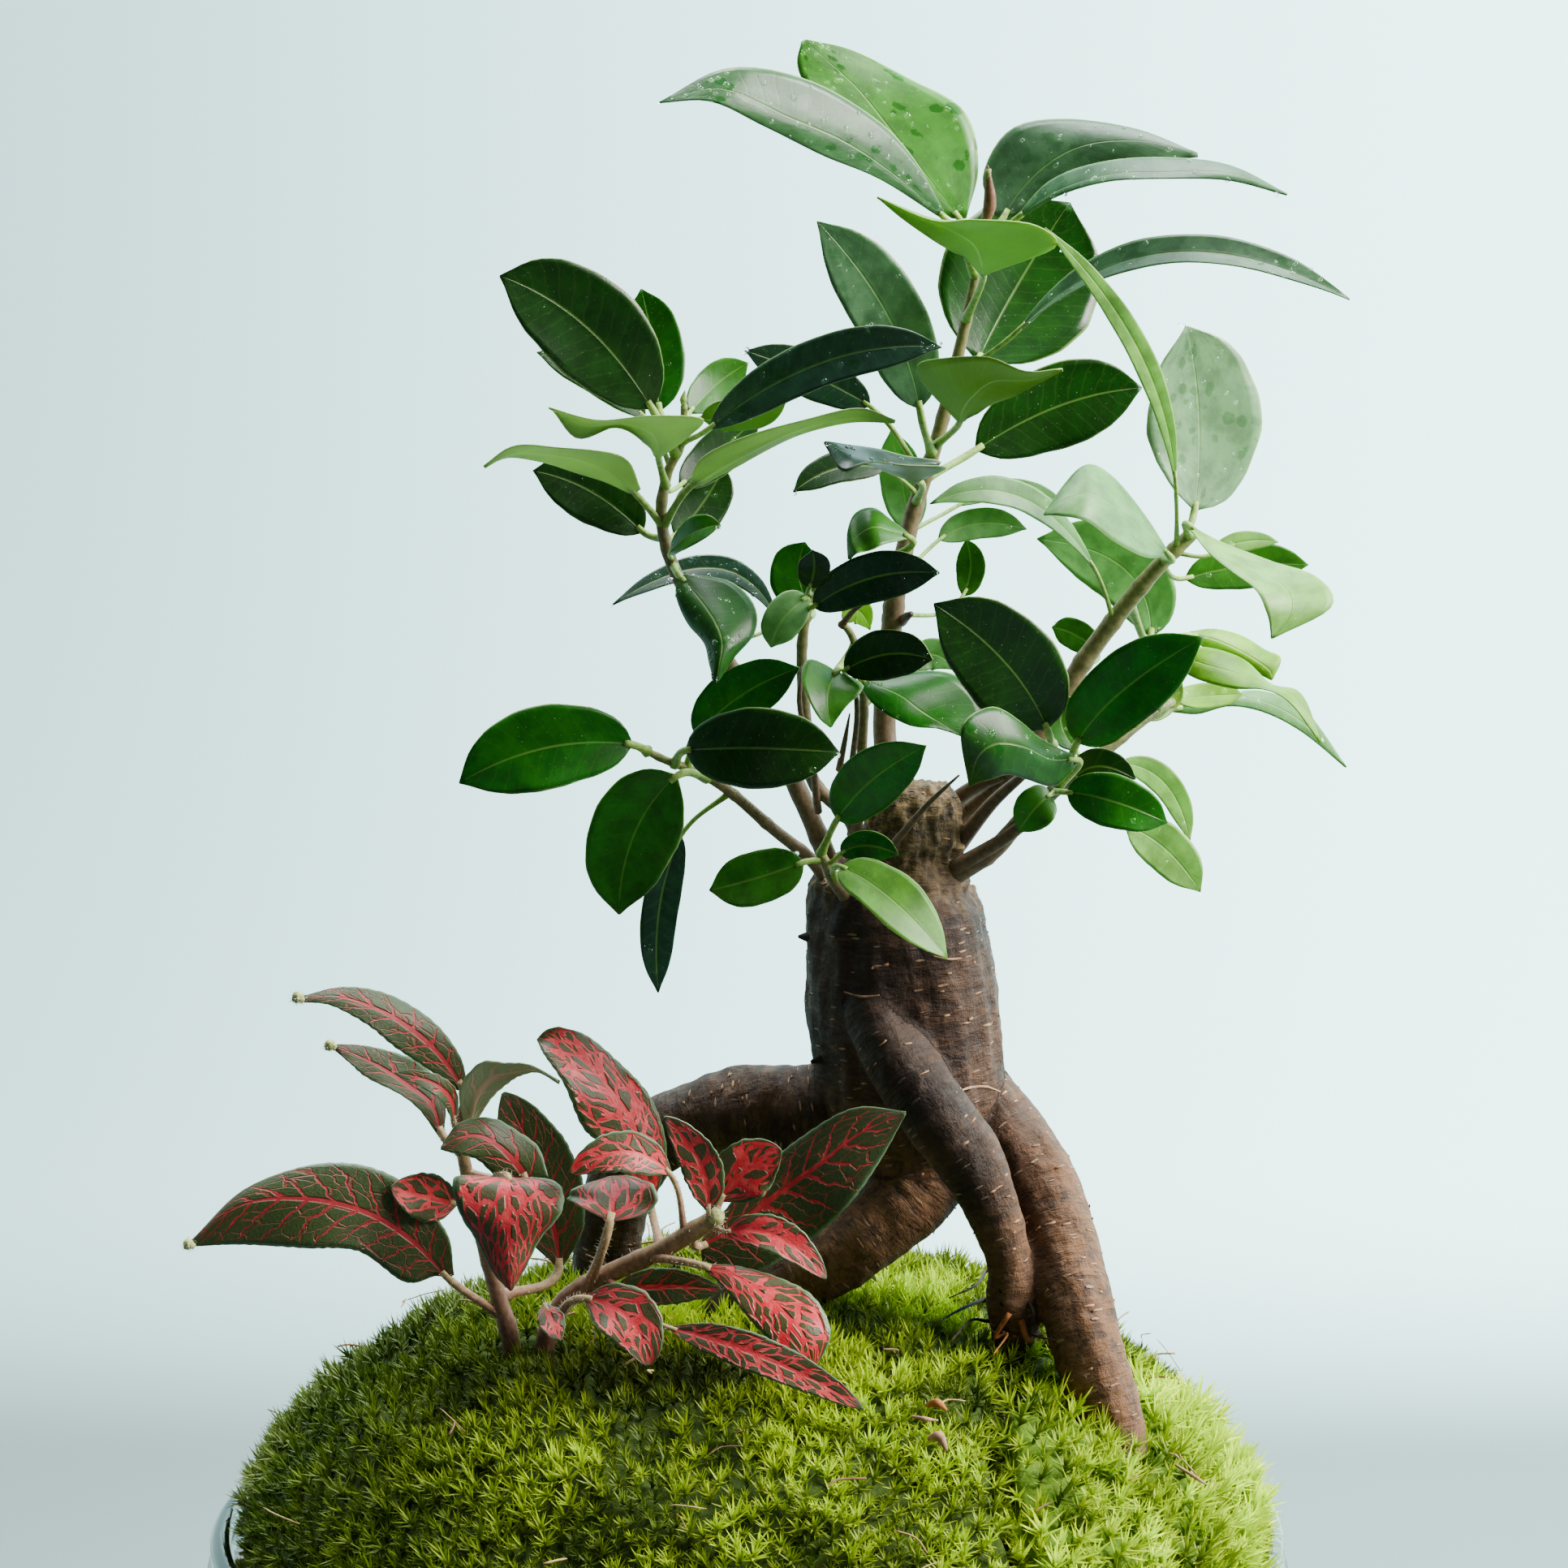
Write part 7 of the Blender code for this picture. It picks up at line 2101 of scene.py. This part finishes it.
def curved_shape(row, outline, seed, side, share):
    """The same for a leaf that is laid along a curved midrib."""
    at, control, tip, face = blade_frame(row)
    t = share[:, None]
    rib = at * (1 - t) ** 2 + 2 * control * t * (1 - t) + tip * t ** 2
    ahead = unit(2 * (1 - t) * (control - at) + 2 * t * (tip - control))
    up = unit(face - ahead * (ahead @ face)[:, None])
    across = np.cross(ahead, up)
    twist = radians(9) * sin(seed * 1.9) * (share - 0.4)
    up, across = (up * np.cos(twist)[:, None] + across * np.sin(twist)[:, None],
                  across * np.cos(twist)[:, None] - up * np.sin(twist)[:, None])
    half = np.maximum(row.wide * MM / 2 * width_along(outline, share), 0.12 * MM)
    fold = radians(row.fold)
    lift = half * sin(fold) * np.abs(side) ** 1.35
    middle = rib + across * (half * side * cos(fold))[:, None] + up * lift[:, None]
    return middle, up, across, half, np.linalg.norm(tip - at) * 1.05


def blade(blank, row, outline, seed, thick, edge, rib_height, waves, toothed):
    """Leaf blade shaped from a copy of the blank."""
    piece = bpy.data.objects.new(row.name, blank.data.copy())
    bpy.context.scene.collection.objects.link(piece)
    shape = points_of(piece.data)
    side, share, under = shape[:, 0], (shape[:, 1] + 1) / 2, -shape[:, 2]
    if isinstance(row, Drawn):
        middle, up, across, half, length = drawn_shape(row, side, share)
    else:
        middle, up, across, half, length = curved_shape(row, outline, seed, side, share)
    bend = np.abs(side)
    swell = np.sin(pi * share)
    if toothed:
        reach = 0.20 * MM * (np.abs(np.sin(pi * share * length / (2.1 * MM) + side)) - 0.5)
    else:
        reach = 0.03 * half * np.sin(9 * share + seed)
    wave = waves * half * bend ** 2 * np.sin(2 * pi * (1.6 + 0.3 * sin(seed)) * share
                                            + seed * 2.1 + 0.9 * side) * swell ** 0.5
    body = edge + (thick - edge) * (1 - bend ** 1.5)
    rib_drop = rib_height * np.exp(-(side * half / (0.5 * MM)) ** 2) * (1 - 0.8 * share)
    level = np.where(under > 0.5, -body / 2 - rib_drop, body / 2 - 0.35 * rib_drop)
    places = middle + across * (reach * side * bend ** 5 * swell)[:, None]
    places += up * (wave + level)[:, None]
    move_points(piece.data, places)
    total = len(shape)
    mark(piece.data, "blade", np.tile((half.max() / MM, length / MM, seed * 3.17), (total, 1)))
    mark(piece.data, "spot", np.stack([side, share, under], axis=1))
    return piece


def fig_outline(row):
    """Outline of a fig leaf: oval, or narrow where the leaf is long for its width."""
    if isinstance(row, Drawn) or row.name in OTHER_OUTLINES:
        return OTHER_OUTLINES.get(row.name)
    span = (seen(*row.tip, row.near[2]) - seen(*row.at, row.near[0])).length
    return OVAL if row.wide * MM > 0.2 * span else NARROW


def bud_tubes(name):
    """Buds, knobs and dead twigs of a shoot."""
    pieces = []
    for number, bud in enumerate(BUDS.get(name, ())):
        route = smooth_route([seen(*point) for point in bud.route], 14)
        piece = tube(f"{name}_bud_{number}", route, spread(bud.radii, 14) * MM, 3)
        tint_along(piece, route, bud.colour, [0.6 * part for part in bud.colour])
        pieces.append(piece)
    return pieces


def stem_tubes(name, woody, young, joint, swell):
    """Stems of a shoot, with swollen joints and colour from woody to young."""
    pieces = []
    for number, stem in enumerate(STEMS[name]):
        count = 9 * len(stem.route)
        route = smooth_route([seen(*point) for point in stem.route], count)
        radii = spread([stem.start * MM, stem.end * MM], count)
        run = np.cumsum([0] + [(b - a).length for a, b in zip(route, route[1:])])
        ring = np.maximum(np.cos(2 * pi * run / (joint * MM)), 0) ** 6
        piece = tube(f"{name}_stem_{number}", route, radii * (1 + swell * ring), 3)
        tint_along(piece, route, woody, young, 2.4)
        pieces.append(piece)
    return pieces


def stalk_tubes(name, start_colour, end_colour, radius):
    """Leaf stalks, each from its stem to the foot of its blade."""
    pieces = []
    for row in LEAVES[name]:
        start = nearest(name, row.stalk)
        if isinstance(row, Drawn):
            at, into = [Vector(spot) for spot in drawn_places(row, np.zeros(2),
                                                              np.array((0, 0.15)))[0]]
            into = (into - at).normalized()
        else:
            at, control = blade_frame(row)[:2]
            at, into = Vector(at), Vector(unit(control - at))
        reach = (at - start).length
        route = []
        ends = (start, start.lerp(at, 0.35), at - into * reach * 0.33, at + into * 1.5 * MM)
        for step in range(13):
            t = step / 12
            route.append(ends[0] * (1 - t) ** 3 + ends[1] * 3 * t * (1 - t) ** 2
                         + ends[2] * 3 * t * t * (1 - t) + ends[3] * t ** 3)
        size = 11 if isinstance(row, Drawn) else row.wide
        wide = radius * min(max(size / 11, 0.62), 1.15)
        radii = spread([wide * 1.45, wide * 1.05, wide * 0.9, wide * 0.85, wide * 0.9, wide * 0.75],
                       13)
        piece = tube(f"{name}_{row.name}_stalk", route, radii, 2)
        tint_along(piece, route, start_colour, end_colour)
        pieces.append(piece)
    return pieces


def hairs(name, stems):
    """Fine pale hairs that stand on stems, one thin spike each."""
    generator = np.random.default_rng(len(name))
    places, normals = [], []
    for stem in stems:
        spots = points_of(stem.data)
        picks = generator.choice(len(spots), min(HAIRS_ON_STEM, len(spots)), replace=False)
        places.append(spots[picks])
        normals.append(normals_of(stem.data)[picks])
    places, normals = np.concatenate(places), np.concatenate(normals)
    spike = mesh_piece("hair", [(0.05, 0, 0), (-0.025, 0.043, 0), (-0.025, -0.043, 0), (0, 0, 1)],
                       [(0, 2, 1), (0, 1, 3), (1, 2, 3), (2, 0, 3)])
    count = len(places)
    axes = standing_axes(normals, generator.uniform(0, 6, count), generator, 0.35)
    sizes = generator.uniform(0.5, 1.1, (count, 1)) * np.array((1, 1, 1.0)) * MM
    piece = copies(name + "_hairs", [spike], places, axes, sizes, np.zeros(count, dtype=int),
                   lambda number, chosen: np.full((len(chosen), 4, 3), HAIR_COLOUR))
    drop(spike)
    return piece


OPERATORS = (
    TERRARIUM_OT_glass_bowl, TERRARIUM_OT_gravel, TERRARIUM_OT_soil, TERRARIUM_OT_moss,
    TERRARIUM_OT_litter, TERRARIUM_OT_trunk, TERRARIUM_OT_fig_stems, TERRARIUM_OT_fig_leaves,
    TERRARIUM_OT_net_leaves, TERRARIUM_OT_stage,
)
SETTINGS = {
    "terrarium_bowl": BowlSettings, "terrarium_moss": MossSettings,
    "terrarium_fig": FigSettings, "terrarium_net_leaf": NetLeafSettings,
    "terrarium_stage": StageSettings,
}


class TERRARIUM_PT_panel(bpy.types.Panel):
    """Sizes, colours and steps of the terrarium"""
    bl_idname = "TERRARIUM_PT_panel"
    bl_label = "Bowl terrarium"
    bl_space_type = "VIEW_3D"
    bl_region_type = "UI"
    bl_category = "Terrarium"

    def draw(self, context):
        for name in SETTINGS:
            settings = getattr(context.scene, name)
            box = self.layout.box()
            for key in settings.bl_rna.properties.keys():
                if key not in ("rna_type", "name"):
                    box.prop(settings, key)
        for operator in OPERATORS:
            self.layout.operator(operator.bl_idname)


def register():
    """Add the settings, the steps and the panel."""
    for name, settings in SETTINGS.items():
        bpy.utils.register_class(settings)
        setattr(bpy.types.Scene, name, bpy.props.PointerProperty(type=settings))
    for operator in OPERATORS:
        bpy.utils.register_class(operator)
    bpy.utils.register_class(TERRARIUM_PT_panel)


def unregister():
    """Take them away."""
    bpy.utils.unregister_class(TERRARIUM_PT_panel)
    for operator in reversed(OPERATORS):
        bpy.utils.unregister_class(operator)
    for name, settings in SETTINGS.items():
        delattr(bpy.types.Scene, name)
        bpy.utils.unregister_class(settings)


def main():
    """Build every piece."""
    register()
    bpy.ops.terrarium.glass_bowl()
    bpy.ops.terrarium.gravel()
    bpy.ops.terrarium.soil()
    bpy.ops.terrarium.moss()
    bpy.ops.terrarium.litter()
    bpy.ops.terrarium.trunk()
    bpy.ops.terrarium.fig_stems()
    bpy.ops.terrarium.fig_leaves()
    bpy.ops.terrarium.net_leaves()
    bpy.ops.terrarium.stage()


if __name__ == "__main__":
    main()
